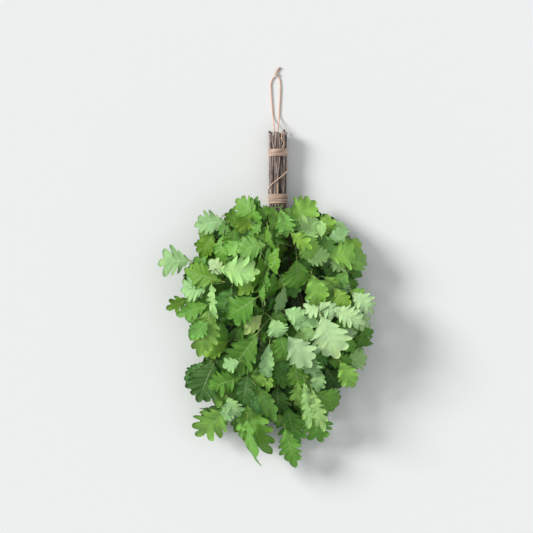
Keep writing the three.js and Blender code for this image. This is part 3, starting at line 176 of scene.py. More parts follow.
   ((4.8, 72.6, 87.4), (-0.83, -0.505, -0.238), (-0.215, -0.104, 0.971), 52.1, 32.5, 0.07, 0.12, 4, 0.24, "b", 77),
   ((-0.8, 61.5, 88.1), (-0.617, -0.786, -0.034), (-0.129, 0.058, 0.99), 33.4, 30.5, 0.07, 0.12, 4, 0.2, "b", 78),
   ((-7.7, 79.3, 89.5), (-0.666, -0.733, -0.139), (-0.358, 0.15, 0.922), 28.1, 23.2, 0.07, 0.12, 3, 0.3, "c", 79),
   ((9, 94.5, 50.8), (0.194, -0.973, -0.125), (-0.138, -0.153, 0.979), 66, 36.1, 0.07, 0.12, 4, 0.28, "q", 2250),
   ((28.4, 112.3, 71.7), (-0.041, -0.975, -0.221), (0.018, -0.221, 0.975), 64.1, 37.4, 0.06, 0.1, 4, 0.29, "a", 1079),
   ((-17.3, 111.6, 51.1), (0.617, -0.778, -0.118), (-0.095, -0.222, 0.97), 59.7, 32.7, 0.08, 0.1, 4, 0.33, "o", 1096),
   ((5.9, 79.6, 51.3), (0.345, -0.936, -0.077), (0.256, 0.014, 0.967), 69.3, 43, 0.07, 0.1, 4, 0.34, "o", 1141),
   ((10.8, 62.5, 69.5), (-0.358, -0.921, -0.151), (-0.398, 0.004, 0.918), 60.1, 32.1, -0.02, 0.1, 4, 0.27, "c", 1171),
   ((6.2, 82.8, 98), (0.064, -0.992, -0.108), (0.961, 0.033, 0.274), 55.6, 30, 0.06, 0.25, 4, 0.3, "b", 500),
   ((-8, 79.4, 88), (-0.614, 0.779, 0.125), (-0.686, -0.606, 0.404), 31.9, 30, 0.06, 0.25, 4, 0.3, "b", 510),
   ((15.2, 90.1, 92), (-0.767, 0.637, 0.072), (-0.454, -0.619, 0.641), 27.9, 34, 0.06, 0.25, 4, 0.4, "c", 511),
   ((16.9, 79.2, 70.3), (-0.142, -0.99, -0.02), (0.081, -0.031, 0.996), 52.5, 35.2, 0.04, 0.18, 5, 0.28, "c", 514),
   ((11.9, 93.1, 85.2), (-0.881, -0.359, -0.307), (-0.262, -0.169, 0.95), 67, 38.5, 0.06, 0.08, 4, 0.38, "a", 527),
  ]),
 ("leaf_spray_04", [
   ((-41.6, 3.6, 69.3), (-42.4, 2.4, 70.1), 1.35, 1.25),
   ((-42.3, 2.5, 70), (-46.5, -4.7, 73.3), 1.25, 1.04),
   ((-46.5, -4.7, 73.3), (-68.9, -2.5, 70.4), 1.14, 0.98),
   ((-46.5, -4.7, 73.3), (-59.2, -30.5, 96.1), 1.14, 0.98),
   ((-59.2, -30.5, 96.1), (-73.3, -27.5, 102.4), 1.08, 0.92),
   ((-73.3, -27.5, 102.4), (-76.9, -17.2, 112.9), 1.02, 0.86),
   ((-76.9, -17.2, 112.9), (-91.2, -4.1, 123.1), 0.96, 0.85),
   ((-91.2, -4.1, 123.1), (-96.9, -19.7, 124.1), 0.95, 0.85),
   ((-73.3, -27.5, 102.4), (-95, -31.5, 92.7), 1.02, 0.86),
   ((-95, -31.5, 92.7), (-98.8, -29.5, 87.2), 0.96, 0.85),
   ((-98.8, -29.5, 87.2), (-98.8, -15.3, 91.7), 0.95, 0.85),
   ((-95, -31.5, 92.7), (-98.4, -62.9, 94.1), 0.96, 0.85),
   ((-98.4, -62.9, 94.1), (-98.5, -64.9, 96.2), 0.95, 0.85),
   ((-98.5, -64.9, 96.2), (-100.4, -91.3, 103.2), 0.95, 0.85),
   ((-46.5, -4.7, 73.3), (-56.2, -24.4, 65.8), 0.85, 0.7),
   ((-46.5, -4.7, 73.3), (-55.7, -23.1, 66.5), 0.85, 0.7),
   ((-68.9, -2.5, 70.4), (-79.6, 2.8, 69.1), 0.85, 0.7),
   ((-46.5, -4.7, 73.3), (-29.5, -24.1, 69.2), 0.85, 0.7),
   ((-46.5, -4.7, 73.3), (-26, -17.6, 59.2), 0.85, 0.7),
   ((-98.8, -29.5, 87.2), (-101.7, -28.2, 78), 0.85, 0.7),
  ], [
   ((-91.2, -4.1, 123.1), (0.997, -0.07, -0.046), (0.038, -0.108, 0.993), 80.2, 58.1, 0.07, 0.12, 5, 0.26, "h", 65),
   ((-76.9, -17.2, 112.9), (-0.615, 0.703, -0.357), (-0.298, 0.213, 0.931), 42.4, 32.3, 0.07, 0.12, 3, 0.25, "j", 66),
   ((-73.3, -27.5, 102.4), (-0.933, 0.267, -0.241), (-0.26, -0.037, 0.965), 84.2, 52, 0.07, 0.12, 5, 0.26, "c", 82),
   ((-98.8, -15.3, 91.7), (-0.675, 0.718, -0.171), (-0.128, 0.114, 0.985), 44.4, 34.5, 0.07, 0.12, 4, 0.22, "c", 83),
   ((-95, -31.5, 92.7), (-0.952, -0.179, -0.247), (-0.277, 0.166, 0.946), 63, 52.8, 0.07, 0.12, 5, 0.3, "i", 84),
   ((-98.8, -29.5, 87.2), (-0.82, -0.546, -0.172), (-0.252, 0.073, 0.965), 54.9, 28.2, 0.07, 0.12, 4, 0.36, "i", 85),
   ((-96.9, -19.7, 124.1), (0.066, -0.949, -0.307), (-0.616, -0.281, 0.736), 80.4, 24.5, 0.07, 0.12, 5, 0.39, "h", 86),
   ((-98.4, -62.9, 94.1), (-0.232, -0.963, -0.14), (-0.131, -0.111, 0.985), 104.9, 56.3, 0.07, 0.12, 5, 0.3, "d", 88),
   ((-100.4, -91.3, 103.2), (-0.693, -0.66, -0.288), (-0.153, -0.255, 0.955), 56.6, 34.6, 0.07, 0.12, 4, 0.3, "f", 89),
   ((-98.5, -64.9, 96.2), (-0.911, -0.322, -0.257), (-0.233, -0.11, 0.966), 69.9, 36.7, 0.07, 0.12, 4, 0.3, "c", 90),
   ((-59.2, -30.5, 96.1), (-0.353, -0.815, -0.459), (-0.343, -0.344, 0.874), 85.4, 52.7, 0.07, 0.12, 4, 0.2, "g", 92),
   ((-68.9, -2.5, 70.4), (0.175, -0.982, -0.068), (-0.197, -0.102, 0.975), 53.9, 35.6, 0.07, 0.12, 4, 0.2, "b", 135),
   ((-46.5, -4.7, 73.3), (-0.604, -0.739, -0.299), (-0.27, -0.164, 0.949), 67.6, 39.3, 0.07, 0.12, 4, 0.28, "p", 2266),
   ((-56.2, -24.4, 65.8), (-0.03, -0.994, 0.103), (-0.039, 0.104, 0.994), 46.7, 28.2, 0.04, 0.1, 4, 0.29, "a", 1015),
   ((-55.7, -23.1, 66.5), (-0.836, -0.484, -0.258), (-0.32, 0.049, 0.946), 63.6, 33.7, 0.04, 0.1, 4, 0.24, "b", 1069),
   ((-79.6, 2.8, 69.1), (-0.4, -0.869, -0.29), (-0.057, -0.292, 0.955), 51.9, 32.5, 0.05, 0.1, 4, 0.32, "b", 1153),
   ((-29.5, -24.1, 69.2), (-0.367, -0.919, -0.142), (0.009, -0.156, 0.988), 47.2, 28.8, 0.02, 0.1, 4, 0.27, "c", 1168),
   ((-26, -17.6, 59.2), (0.109, -0.965, -0.238), (0.157, -0.22, 0.963), 49.8, 32.7, -0.02, 0.1, 4, 0.25, "a", 1201),
   ((-101.7, -28.2, 78), (-0.126, -0.987, -0.096), (0.039, -0.101, 0.994), 62.2, 37.4, 0.04, 0.08, 4, 0.34, "c", 520),
  ]),
 ("leaf_spray_05", [
   ((87.1, -128.3, 89.5), (87.6, -129.8, 90.1), 1.35, 1.25),
   ((87.6, -129.6, 90), (89.9, -138, 95.3), 1.25, 1.04),
   ((89.9, -138, 95.3), (68.6, -149.7, 113.4), 1.14, 0.98),
   ((68.6, -149.7, 113.4), (50.8, -166.4, 94.7), 1.08, 0.92),
   ((50.8, -166.4, 94.7), (56.1, -200.1, 98.4), 1.02, 0.86),
   ((56.1, -200.1, 98.4), (66.6, -196.1, 104.1), 0.96, 0.85),
   ((66.6, -196.1, 104.1), (77.6, -208.1, 109.6), 0.95, 0.85),
   ((77.6, -208.1, 109.6), (82.9, -224.2, 79.2), 0.95, 0.85),
   ((82.9, -224.2, 79.2), (80, -211, 66.8), 0.95, 0.85),
   ((89.9, -138, 95.3), (104.4, -168.5, 84.7), 1.14, 0.98),
   ((104.4, -168.5, 84.7), (97, -177.4, 89.2), 1.08, 0.92),
   ((104.4, -168.5, 84.7), (103.7, -179, 59.9), 1.08, 0.92),
   ((104.4, -168.5, 84.7), (128.9, -164.5, 99.7), 1.08, 0.92),
   ((128.9, -164.5, 99.7), (138.8, -169.7, 70.8), 1.02, 0.86),
   ((80, -211, 66.8), (73.9, -220.8, 56.6), 0.85, 0.7),
   ((128.9, -164.5, 99.7), (118, -142, 93.1), 0.85, 0.7),
   ((56.1, -200.1, 98.4), (49.9, -186.3, 87.8), 0.85, 0.7),
   ((89.9, -138, 95.3), (95.9, -117.5, 95.2), 0.85, 0.7),
  ], [
   ((68.6, -149.7, 113.4), (0.315, -0.874, -0.37), (-0.114, -0.422, 0.899), 53.4, 39.6, 0.07, 0.12, 4, 0.34, "i", 46),
   ((89.9, -138, 95.3), (0.234, -0.938, -0.257), (0.173, -0.219, 0.96), 31.9, 23.9, 0.07, 0.12, 3, 0.3, "d", 47),
   ((97, -177.4, 89.2), (-0.145, -0.978, -0.153), (-0.036, -0.149, 0.988), 51.8, 33.5, 0.07, 0.12, 4, 0.34, "i", 48),
   ((104.4, -168.5, 84.7), (0.991, 0, -0.131), (0.126, -0.265, 0.956), 49.2, 35.9, 0.07, 0.12, 4, 0.34, "c", 49),
   ((128.9, -164.5, 99.7), (0.442, -0.801, -0.404), (0.243, -0.327, 0.913), 67.9, 43.3, 0.07, 0.12, 4, 0.32, "d", 50),
   ((138.8, -169.7, 70.8), (0.941, 0.164, -0.296), (0.266, 0.182, 0.947), 46.1, 42.5, 0.07, 0.12, 4, 0.3, "h", 51),
   ((103.7, -179, 59.9), (0.572, -0.786, -0.236), (0.019, -0.275, 0.961), 53, 39.7, 0.07, 0.12, 4, 0.24, "a", 52),
   ((50.8, -166.4, 94.7), (0.069, -0.965, -0.254), (0.044, -0.252, 0.967), 54.4, 41, 0.07, 0.12, 4, 0.28, "b", 121),
   ((56.1, -200.1, 98.4), (0, -0.971, -0.239), (0.015, -0.239, 0.971), 53.2, 32.1, 0.07, 0.12, 3, 0.46, "d", 126),
   ((66.6, -196.1, 104.1), (0.093, -0.985, -0.146), (0.025, -0.145, 0.989), 95.7, 26.7, 0.07, 0.12, 6, 0.52, "h", 127),
   ((77.6, -208.1, 109.6), (0.265, -0.948, -0.178), (-0.093, -0.209, 0.973), 93.8, 28.7, 0.07, 0.12, 6, 0.52, "h", 128),
   ((82.9, -224.2, 79.2), (0.845, -0.455, -0.282), (0.202, -0.217, 0.955), 57.8, 53.3, 0.07, 0.12, 5, 0.22, "c", 129),
   ((80, -211, 66.8), (0.465, -0.884, -0.04), (-0.042, -0.067, 0.997), 40.5, 24, 0.07, 0.12, 3, 0.3, "b", 131),
   ((73.9, -220.8, 56.6), (0.035, -0.999, 0.018), (-0.054, 0.016, 0.998), 56.8, 35.6, 0.03, 0.1, 4, 0.28, "c", 1032),
   ((118, -142, 93.1), (-0.765, -0.644, -0.023), (-0.137, 0.128, 0.982), 67.7, 44.8, 0.03, 0.17, 4, 0.37, "g", 519),
   ((49.9, -186.3, 87.8), (0.722, -0.598, -0.348), (0.329, -0.147, 0.933), 72, 47.6, 0.05, 0.18, 4, 0.3, "d", 522),
   ((95.9, -117.5, 95.2), (-0.947, -0.182, -0.264), (-0.285, 0.098, 0.954), 49.8, 31.6, 0.07, 0.12, 5, 0.32, "h", 534),
  ]),
 ("leaf_spray_06", [
   ((74.7, -0.1, 89.2), (75.5, -1.3, 90.1), 1.35, 1.25),
   ((75.4, -1.2, 90), (90, -20.6, 90.5), 1.25, 1.04),
   ((90, -20.6, 90.5), (98.9, -16.9, 88.3), 1.14, 0.98),
   ((98.9, -16.9, 88.3), (118, -34.8, 98.6), 1.08, 0.92),
   ((118, -34.8, 98.6), (111.2, -60, 96.9), 1.02, 0.86),
   ((90, -20.6, 90.5), (78.6, -7.8, 114.7), 1.14, 0.98),
   ((111.2, -60, 96.9), (96, -58.5, 69.9), 0.96, 0.85),
   ((118, -34.8, 98.6), (148.6, -42.3, 88.3), 1.02, 0.86),
   ((148.6, -42.3, 88.3), (144.5, -42.6, 66), 0.96, 0.85),
   ((144.5, -42.6, 66), (147.7, -6.2, 70.9), 0.95, 0.85),
   ((147.7, -6.2, 70.9), (138.5, -2.7, 75.4), 0.95, 0.85),
   ((96, -58.5, 69.9), (84.4, -53.9, 47.8), 0.85, 0.7),
   ((96, -58.5, 69.9), (112.7, -38, 57.4), 0.85, 0.7),
   ((144.5, -42.6, 66), (158, -49.2, 47.2), 0.85, 0.7),
   ((96, -58.5, 69.9), (83.7, -50.7, 69.5), 0.85, 0.7),
   ((148.6, -42.3, 88.3), (154.3, -56, 87.7), 0.85, 0.7),
   ((98.9, -16.9, 88.3), (111.3, -26.8, 73.8), 0.85, 0.7),
  ], [
   ((138.5, -2.7, 75.4), (0.843, 0.421, -0.334), (0.359, 0.021, 0.933), 53.6, 46, 0.07, 0.12, 4, 0.3, "d", 21),
   ((147.7, -6.2, 70.9), (-0.605, -0.791, 0.09), (0.176, -0.022, 0.984), 40.4, 30.7, 0.07, 0.12, 3, 0.2, "f", 25),
   ((78.6, -7.8, 114.7), (0.24, -0.96, -0.147), (0.182, -0.104, 0.978), 69.9, 45.6, 0.07, 0.12, 4, 0.16, "d", 30),
   ((90, -20.6, 90.5), (0.724, -0.69, 0.005), (0.023, 0.031, 0.999), 54.3, 30.2, 0.07, 0.12, 4, 0.32, "d", 31),
   ((98.9, -16.9, 88.3), (0.839, -0.53, -0.124), (0.129, -0.026, 0.991), 42.5, 19.5, 0.07, 0.12, 3, 0.3, "d", 32),
   ((118, -34.8, 98.6), (0.514, -0.856, -0.051), (0.192, 0.057, 0.98), 54.5, 35.1, 0.07, 0.12, 4, 0.3, "e", 33),
   ((148.6, -42.3, 88.3), (0.722, -0.691, 0.031), (0.051, 0.098, 0.994), 59.6, 44.7, 0.07, 0.12, 4, 0.39, "j", 34),
   ((144.5, -42.6, 66), (0.941, -0.329, 0.077), (0.035, 0.319, 0.947), 40.1, 27.4, 0.07, 0.12, 4, 0.3, "d", 35),
   ((111.2, -60, 96.9), (-0.905, -0.418, 0.08), (-0.047, 0.286, 0.957), 53.6, 41.8, 0.07, 0.12, 4, 0.39, "j", 41),
   ((96, -58.5, 69.9), (0.328, -0.898, -0.293), (0.455, -0.121, 0.882), 57.2, 29.5, 0.07, 0.12, 4, 0.28, "p", 2239),
   ((84.4, -53.9, 47.8), (0.295, -0.949, -0.107), (-0.021, -0.119, 0.993), 65.2, 42.4, 0.04, 0.1, 4, 0.27, "a", 1005),
   ((112.7, -38, 57.4), (0.456, -0.888, -0.05), (0.079, -0.015, 0.997), 49, 31, -0.03, 0.1, 4, 0.32, "b", 1016),
   ((158, -49.2, 47.2), (0.16, -0.98, -0.116), (0.139, -0.094, 0.986), 57.1, 30.5, -0.03, 0.1, 4, 0.26, "b", 1082),
   ((83.7, -50.7, 69.5), (0.052, -0.993, -0.109), (0.389, -0.08, 0.918), 46.4, 27.5, 0.08, 0.1, 4, 0.34, "o", 1170),
   ((154.3, -56, 87.7), (-0.328, -0.943, 0.045), (-0.227, 0.125, 0.966), 64.2, 37.5, 0.06, 0.13, 5, 0.34, "b", 526),
   ((111.3, -26.8, 73.8), (0.928, -0.363, -0.09), (0.148, 0.137, 0.979), 48.8, 26.5, 0.05, 0.2, 5, 0.38, "i", 535),
  ]),
 ("leaf_spray_07", [
   ((89, -82.5, 67.8), (89.7, -84, 68.3), 1.35, 1.25),
   ((89.6, -83.9, 68.2), (92.5, -92.1, 70.2), 1.25, 1.04),
   ((92.5, -92.1, 70.2), (94.7, -80.4, 115.7), 1.14, 0.98),
   ((94.7, -80.4, 115.7), (112.4, -69.8, 113.8), 1.08, 0.92),
   ((112.4, -69.8, 113.8), (145.3, -83.2, 87.9), 1.02, 0.86),
   ((145.3, -83.2, 87.9), (138.5, -102.7, 83.4), 0.96, 0.85),
   ((138.5, -102.7, 83.4), (138.9, -122.8, 73.2), 0.95, 0.85),
   ((138.9, -122.8, 73.2), (153.8, -120.1, 73.9), 0.95, 0.85),
   ((153.8, -120.1, 73.9), (164.8, -125.2, 55.8), 0.95, 0.85),
   ((138.5, -102.7, 83.4), (122.2, -101.2, 65.4), 0.85, 0.7),
   ((164.8, -125.2, 55.8), (143.8, -135.9, 50.7), 0.85, 0.7),
   ((92.5, -92.1, 70.2), (114.5, -102.3, 65.8), 0.85, 0.7),
   ((92.5, -92.1, 70.2), (105.2, -95.4, 73.6), 0.85, 0.7),
   ((138.9, -122.8, 73.2), (137.4, -133.6, 55), 0.85, 0.7),
   ((145.3, -83.2, 87.9), (124.4, -75.6, 65.2), 0.85, 0.7),
   ((94.7, -80.4, 115.7), (89.5, -61.1, 113), 0.85, 0.7),
   ((92.5, -92.1, 70.2), (68.5, -96.2, 81.7), 0.85, 0.7),
  ], [
   ((112.4, -69.8, 113.8), (0.892, -0.446, -0.077), (0.054, -0.062, 0.997), 70.9, 43, 0.07, 0.12, 4, 0.39, "j", 36),
   ((145.3, -83.2, 87.9), (0.851, -0.503, -0.154), (0.157, -0.038, 0.987), 48.5, 39.4, 0.07, 0.12, 4, 0.36, "j", 37),
   ((138.5, -102.7, 83.4), (0.497, -0.828, -0.259), (0.034, -0.28, 0.959), 34, 26.1, 0.07, 0.12, 3, 0.3, "j", 38),
   ((164.8, -125.2, 55.8), (0.945, 0.315, -0.09), (0.124, -0.091, 0.988), 30, 27.7, 0.07, 0.12, 3, 0.3, "c", 39),
   ((94.7, -80.4, 115.7), (0.353, -0.934, -0.057), (-0.092, -0.095, 0.991), 89.6, 77.1, 0.07, 0.12, 4, 0.3, "j", 40),
   ((153.8, -120.1, 73.9), (0.82, -0.492, -0.292), (-0.216, -0.739, 0.638), 46, 31, 0.07, 0.12, 4, 0.2, "b", 54),
   ((138.9, -122.8, 73.2), (0.468, -0.884, -0.024), (0.033, -0.01, 0.999), 36.2, 28.2, 0.07, 0.12, 4, 0.25, "c", 55),
   ((92.5, -92.1, 70.2), (-0.211, -0.95, -0.23), (0.013, -0.238, 0.971), 53.6, 34.9, 0.07, 0.12, 4, 0.2, "b", 138),
   ((122.2, -101.2, 65.4), (0.618, -0.767, -0.174), (0.243, -0.024, 0.97), 49.4, 30.4, 0.07, 0.1, 4, 0.33, "a", 1036),
   ((143.8, -135.9, 50.7), (-0.95, -0.312, -0.027), (-0.049, 0.065, 0.997), 59, 31.1, 0.03, 0.1, 4, 0.28, "b", 1056),
   ((114.5, -102.3, 65.8), (-0.135, -0.991, -0.008), (0.151, -0.029, 0.988), 47.1, 27, 0.05, 0.1, 4, 0.33, "b", 1081),
   ((105.2, -95.4, 73.6), (0.47, -0.861, -0.194), (0.004, -0.218, 0.976), 68.8, 42.1, 0.07, 0.1, 4, 0.26, "a", 1176),
   ((137.4, -133.6, 55), (0.281, -0.909, -0.307), (-0.159, -0.359, 0.92), 48.9, 26.5, 0.02, 0.1, 4, 0.33, "a", 1177),
   ((124.4, -75.6, 65.2), (0.943, -0.168, -0.287), (0.305, 0.092, 0.948), 47.4, 29.7, -0.01, 0.1, 4, 0.3, "a", 1184),
   ((89.5, -61.1, 113), (0.828, -0.552, -0.097), (0.003, -0.169, 0.986), 51.6, 36, 0.06, 0.25, 4, 0.34, "j", 504),
   ((68.5, -96.2, 81.7), (0.909, 0.249, -0.335), (0.285, 0.217, 0.934), 50.6, 34.1, 0.09, 0.14, 4, 0.29, "h", 530),
  ]),
 ("leaf_spray_08", [
   ((-16.8, -134.9, 89.5), (-17.1, -136.5, 90.1), 1.35, 1.25),
   ((-17, -136.3, 90), (-18.3, -144.8, 97.7), 1.25, 1.04),
   ((-18.3, -144.8, 97.7), (-11.8, -166.7, 87.6), 1.14, 0.98),
   ((-11.8, -166.7, 87.6), (3, -176, 80.2), 1.08, 0.92),
   ((3, -176, 80.2), (12.5, -167.4, 71.6), 1.02, 0.86),
   ((12.5, -167.4, 71.6), (18.8, -165.3, 82.8), 0.96, 0.85),
   ((18.8, -165.3, 82.8), (18.5, -160, 81.5), 0.95, 0.85),
   ((12.5, -167.4, 71.6), (-9.4, -165.1, 59.4), 0.96, 0.85),
   ((-18.3, -144.8, 97.7), (-45.1, -167.6, 107.8), 1.14, 0.98),
   ((-11.8, -166.7, 87.6), (-36.3, -195.8, 74.3), 1.08, 0.92),
   ((-36.3, -195.8, 74.3), (-31, -217.1, 87.1), 1.02, 0.86),
   ((-31, -217.1, 87.1), (-22.9, -205.8, 94.7), 0.96, 0.85),
   ((-36.3, -195.8, 74.3), (-33, -202.6, 49.8), 0.85, 0.7),
   ((-9.4, -165.1, 59.4), (-41.5, -164.8, 59.7), 0.85, 0.7),
   ((-36.3, -195.8, 74.3), (-31.2, -182, 87.4), 0.85, 0.7),
   ((-18.3, -144.8, 97.7), (-1.3, -152.5, 98.6), 0.85, 0.7),
   ((-45.1, -167.6, 107.8), (-39.8, -150.3, 96.4), 0.85, 0.7),
  ], [
   ((-36.3, -195.8, 74.3), (-0.934, -0.326, -0.145), (-0.128, -0.072, 0.989), 82.4, 50.1, 0.07, 0.12, 5, 0.36, "b", 101),
   ((-18.3, -144.8, 97.7), (-0.525, -0.817, -0.236), (-0.176, -0.167, 0.97), 64.1, 36.7, 0.07, 0.12, 4, 0.24, "c", 103),
   ((-45.1, -167.6, 107.8), (-0.915, -0.305, -0.263), (-0.251, -0.078, 0.965), 36.7, 30.7, 0.07, 0.12, 3, 0.3, "i", 104),
   ((-22.9, -205.8, 94.7), (0.451, -0.858, -0.246), (0.216, -0.163, 0.963), 83.2, 32.3, 0.07, 0.12, 5, 0.24, "c", 112),
   ((-31, -217.1, 87.1), (0.414, -0.859, -0.302), (-0.195, -0.408, 0.892), 63.6, 32.3, 0.07, 0.12, 4, 0.24, "g", 113),
   ((-11.8, -166.7, 87.6), (-0.093, -0.96, -0.264), (0.068, -0.27, 0.96), 60.6, 30.4, 0.07, 0.12, 4, 0.28, "d", 115),
   ((3, -176, 80.2), (-0.037, -0.986, -0.163), (-0.214, -0.151, 0.965), 51.4, 24.3, 0.07, 0.12, 4, 0.3, "d", 116),
   ((18.5, -160, 81.5), (0.199, -0.94, -0.277), (0.144, -0.252, 0.957), 66.1, 28.3, 0.07, 0.12, 4, 0.2, "b", 117),
   ((12.5, -167.4, 71.6), (0, -0.972, -0.235), (-0.498, -0.204, 0.843), 54.3, 27.3, 0.07, 0.12, 4, 0.2, "o", 119),
   ((18.8, -165.3, 82.8), (0.722, -0.674, -0.158), (-0.025, -0.253, 0.967), 39.1, 22.1, 0.07, 0.12, 3, 0.25, "g", 120),
   ((-9.4, -165.1, 59.4), (0.082, -0.989, -0.124), (0.191, -0.107, 0.976), 62.5, 31.9, 0.07, 0.12, 4, 0.28, "p", 2259),
   ((-33, -202.6, 49.8), (0.603, -0.783, -0.156), (0.17, -0.065, 0.983), 54.3, 33.8, 0.05, 0.1, 4, 0.33, "c", 1102),
   ((-41.5, -164.8, 59.7), (0.72, -0.605, -0.341), (0.283, -0.193, 0.94), 51.7, 30, -0.01, 0.1, 4, 0.33, "a", 1105),
   ((-31.2, -182, 87.4), (-0.168, -0.979, -0.115), (-0.153, -0.09, 0.984), 73.6, 40.5, 0.02, 0.19, 4, 0.31, "a", 513),
   ((-1.3, -152.5, 98.6), (-0.82, -0.522, -0.235), (-0.179, -0.156, 0.971), 53.3, 33.4, 0.07, 0.14, 4, 0.27, "a", 518),
   ((-39.8, -150.3, 96.4), (0.32, -0.892, -0.32), (0.133, -0.292, 0.947), 64.1, 39.3, 0.04, 0.09, 4, 0.37, "b", 532),
  ]),
 ("leaf_spray_09", [
   ((-22.9, 78.8, 64.4), (-24, 78.4, 65.6), 1.35, 1.25),
   ((-23.9, 78.4, 65.4), (-29.4, 74.2, 71.1), 1.25, 1.04),
   ((-29.4, 74.2, 71.1), (-51.1, 59.7, 70.9), 1.14, 0.98),
   ((-51.1, 59.7, 70.9), (-59.7, 58.1, 78.6), 1.08, 0.92),
   ((-59.7, 58.1, 78.6), (-76.9, 63.4, 75.1), 1.02, 0.86),
   ((-59.7, 58.1, 78.6), (-45.2, 49, 89.9), 1.02, 0.86),
   ((-76.9, 63.4, 75.1), (-66.8, 79.9, 66.6), 0.96, 0.85),
   ((-45.2, 49, 89.9), (-15.1, 34.6, 93.3), 0.96, 0.85),
   ((-29.4, 74.2, 71.1), (-12, 69.3, 73.4), 0.85, 0.7),
   ((-29.4, 74.2, 71.1), (-30.7, 102.8, 54.2), 0.85, 0.7),
   ((-15.1, 34.6, 93.3), (-4.5, 29.4, 90), 0.85, 0.7),
   ((-15.1, 34.6, 93.3), (-8, 25.8, 94), 0.85, 0.7),
   ((-59.7, 58.1, 78.6), (-53.3, 74.5, 83.2), 0.85, 0.7),
   ((-51.1, 59.7, 70.9), (-33, 55.8, 72.6), 0.85, 0.7),
  ], [
   ((-15.1, 34.6, 93.3), (-0.591, -0.806, 0.035), (-0.082, 0.104, 0.991), 34.8, 26.1, 0.07, 0.12, 3, 0.3, "f", 68),
   ((-45.2, 49, 89.9), (-0.68, -0.729, -0.081), (-0.25, 0.127, 0.96), 38.6, 35.6, 0.07, 0.12, 4, 0.24, "f", 69),
   ((-76.9, 63.4, 75.1), (-0.062, -0.997, 0.043), (-0.461, 0.067, 0.885), 60.3, 34.2, 0.07, 0.12, 5, 0.24, "c", 70),
   ((-66.8, 79.9, 66.6), (-0.946, -0.081, -0.314), (-0.323, 0.136, 0.937), 69.9, 48.3, 0.07, 0.12, 4, 0.39, "i", 73),
   ((-51.1, 59.7, 70.9), (-0.225, 0.901, -0.371), (-0.101, 0.358, 0.928), 50.3, 37, 0.07, 0.12, 4, 0.26, "b", 74),
   ((-59.7, 58.1, 78.6), (-0.836, 0.39, -0.385), (-0.349, 0.162, 0.923), 33.8, 28.2, 0.07, 0.12, 4, 0.25, "b", 76),
   ((-29.4, 74.2, 71.1), (-0.514, -0.857, 0.028), (-0.107, 0.097, 0.99), 32.9, 26.3, 0.07, 0.12, 4, 0.25, "c", 80),
   ((-12, 69.3, 73.4), (-0.038, -0.972, -0.232), (-0.329, -0.207, 0.921), 47.3, 29, 0.04, 0.1, 4, 0.26, "o", 1068),
   ((-30.7, 102.8, 54.2), (0.194, -0.912, -0.361), (-0.127, -0.389, 0.913), 53.5, 34.4, -0.02, 0.1, 4, 0.26, "a", 1112),
   ((-4.5, 29.4, 90), (0, -0.987, -0.158), (0.883, -0.074, 0.464), 38, 30, 0.06, 0.25, 4, 0.3, "a", 501),
   ((-8, 25.8, 94), (-0.24, -0.957, -0.161), (0.91, -0.28, 0.305), 37.3, 28, 0.06, 0.25, 4, 0.3, "a", 502),
   ((-53.3, 74.5, 83.2), (-0.22, -0.974, -0.045), (0.036, -0.054, 0.998), 60.6, 40.5, 0.07, 0.11, 5, 0.28, "b", 524),
   ((-33, 55.8, 72.6), (-0.091, -0.994, -0.067), (-0.031, -0.065, 0.997), 60.5, 37.2, 0.06, 0.18, 4, 0.27, "a", 531),
  ]),
 ("leaf_spray_10", [
   ((67.2, 35.4, 48.3), (68.1, 34.1, 48.9), 1.35, 1.25),
   ((68, 34.2, 48.8), (72.4, 26.9, 51.5), 1.25, 1.04),
   ((72.4, 26.9, 51.5), (97.6, 45.7, 63.5), 1.14, 0.98),
   ((97.6, 45.7, 63.5), (112.3, 49.4, 58), 1.08, 0.92),
   ((97.6, 45.7, 63.5), (106.2, 50.3, 77.5), 1.08, 0.92),
   ((106.2, 50.3, 77.5), (98.1, 48.7, 103.1), 1.02, 0.86),
   ((106.2, 50.3, 77.5), (111.8, 24.1, 74.5), 1.02, 0.86),
   ((111.8, 24.1, 74.5), (104.2, 16.8, 80.8), 0.96, 0.85),
   ((104.2, 16.8, 80.8), (97.9, -2.5, 66), 0.95, 0.85),
   ((97.9, -2.5, 66), (104, 12.2, 45), 0.95, 0.85),
   ((104, 12.2, 45), (104.3, 29.9, 39.8), 0.95, 0.85),
   ((104, 12.2, 45), (123.1, 7.9, 49.8), 0.95, 0.85),
   ((123.1, 7.9, 49.8), (122.4, 20.7, 36.8), 0.95, 0.85),
   ((122.4, 20.7, 36.8), (130.6, 26.5, 47.5), 0.95, 0.85),
   ((104, 12.2, 45), (85.4, -4.5, 41.1), 0.95, 0.85),
   ((85.4, -4.5, 41.1), (83.9, -12.3, 46.4), 0.85, 0.7),
   ((72.4, 26.9, 51.5), (63.1, 16.3, 65), 0.85, 0.7),
   ((123.1, 7.9, 49.8), (120.3, -12.3, 58), 0.85, 0.7),
   ((72.4, 26.9, 51.5), (52.7, 25.4, 56.8), 0.85, 0.7),
   ((104.3, 29.9, 39.8), (94.7, 24.9, 34.3), 0.85, 0.7),
   ((112.3, 49.4, 58), (96.8, 65.9, 43.1), 0.85, 0.7),
   ((104.3, 29.9, 39.8), (88.7, 33.9, 39.2), 0.85, 0.7),
   ((72.4, 26.9, 51.5), (52.5, 36.6, 48.9), 0.85, 0.7),
   ((72.4, 26.9, 51.5), (67, 19.8, 37.2), 0.85, 0.7),
   ((85.4, -4.5, 41.1), (77.4, -7.2, 57.1), 0.85, 0.7),
   ((104, 12.2, 45), (92.3, 13.4, 44.4), 0.85, 0.7),
   ((106.2, 50.3, 77.5), (91.8, 66.2, 83.2), 0.85, 0.7),
   ((72.4, 26.9, 51.5), (71.2, 42.9, 53.6), 0.85, 0.7),
  ], [
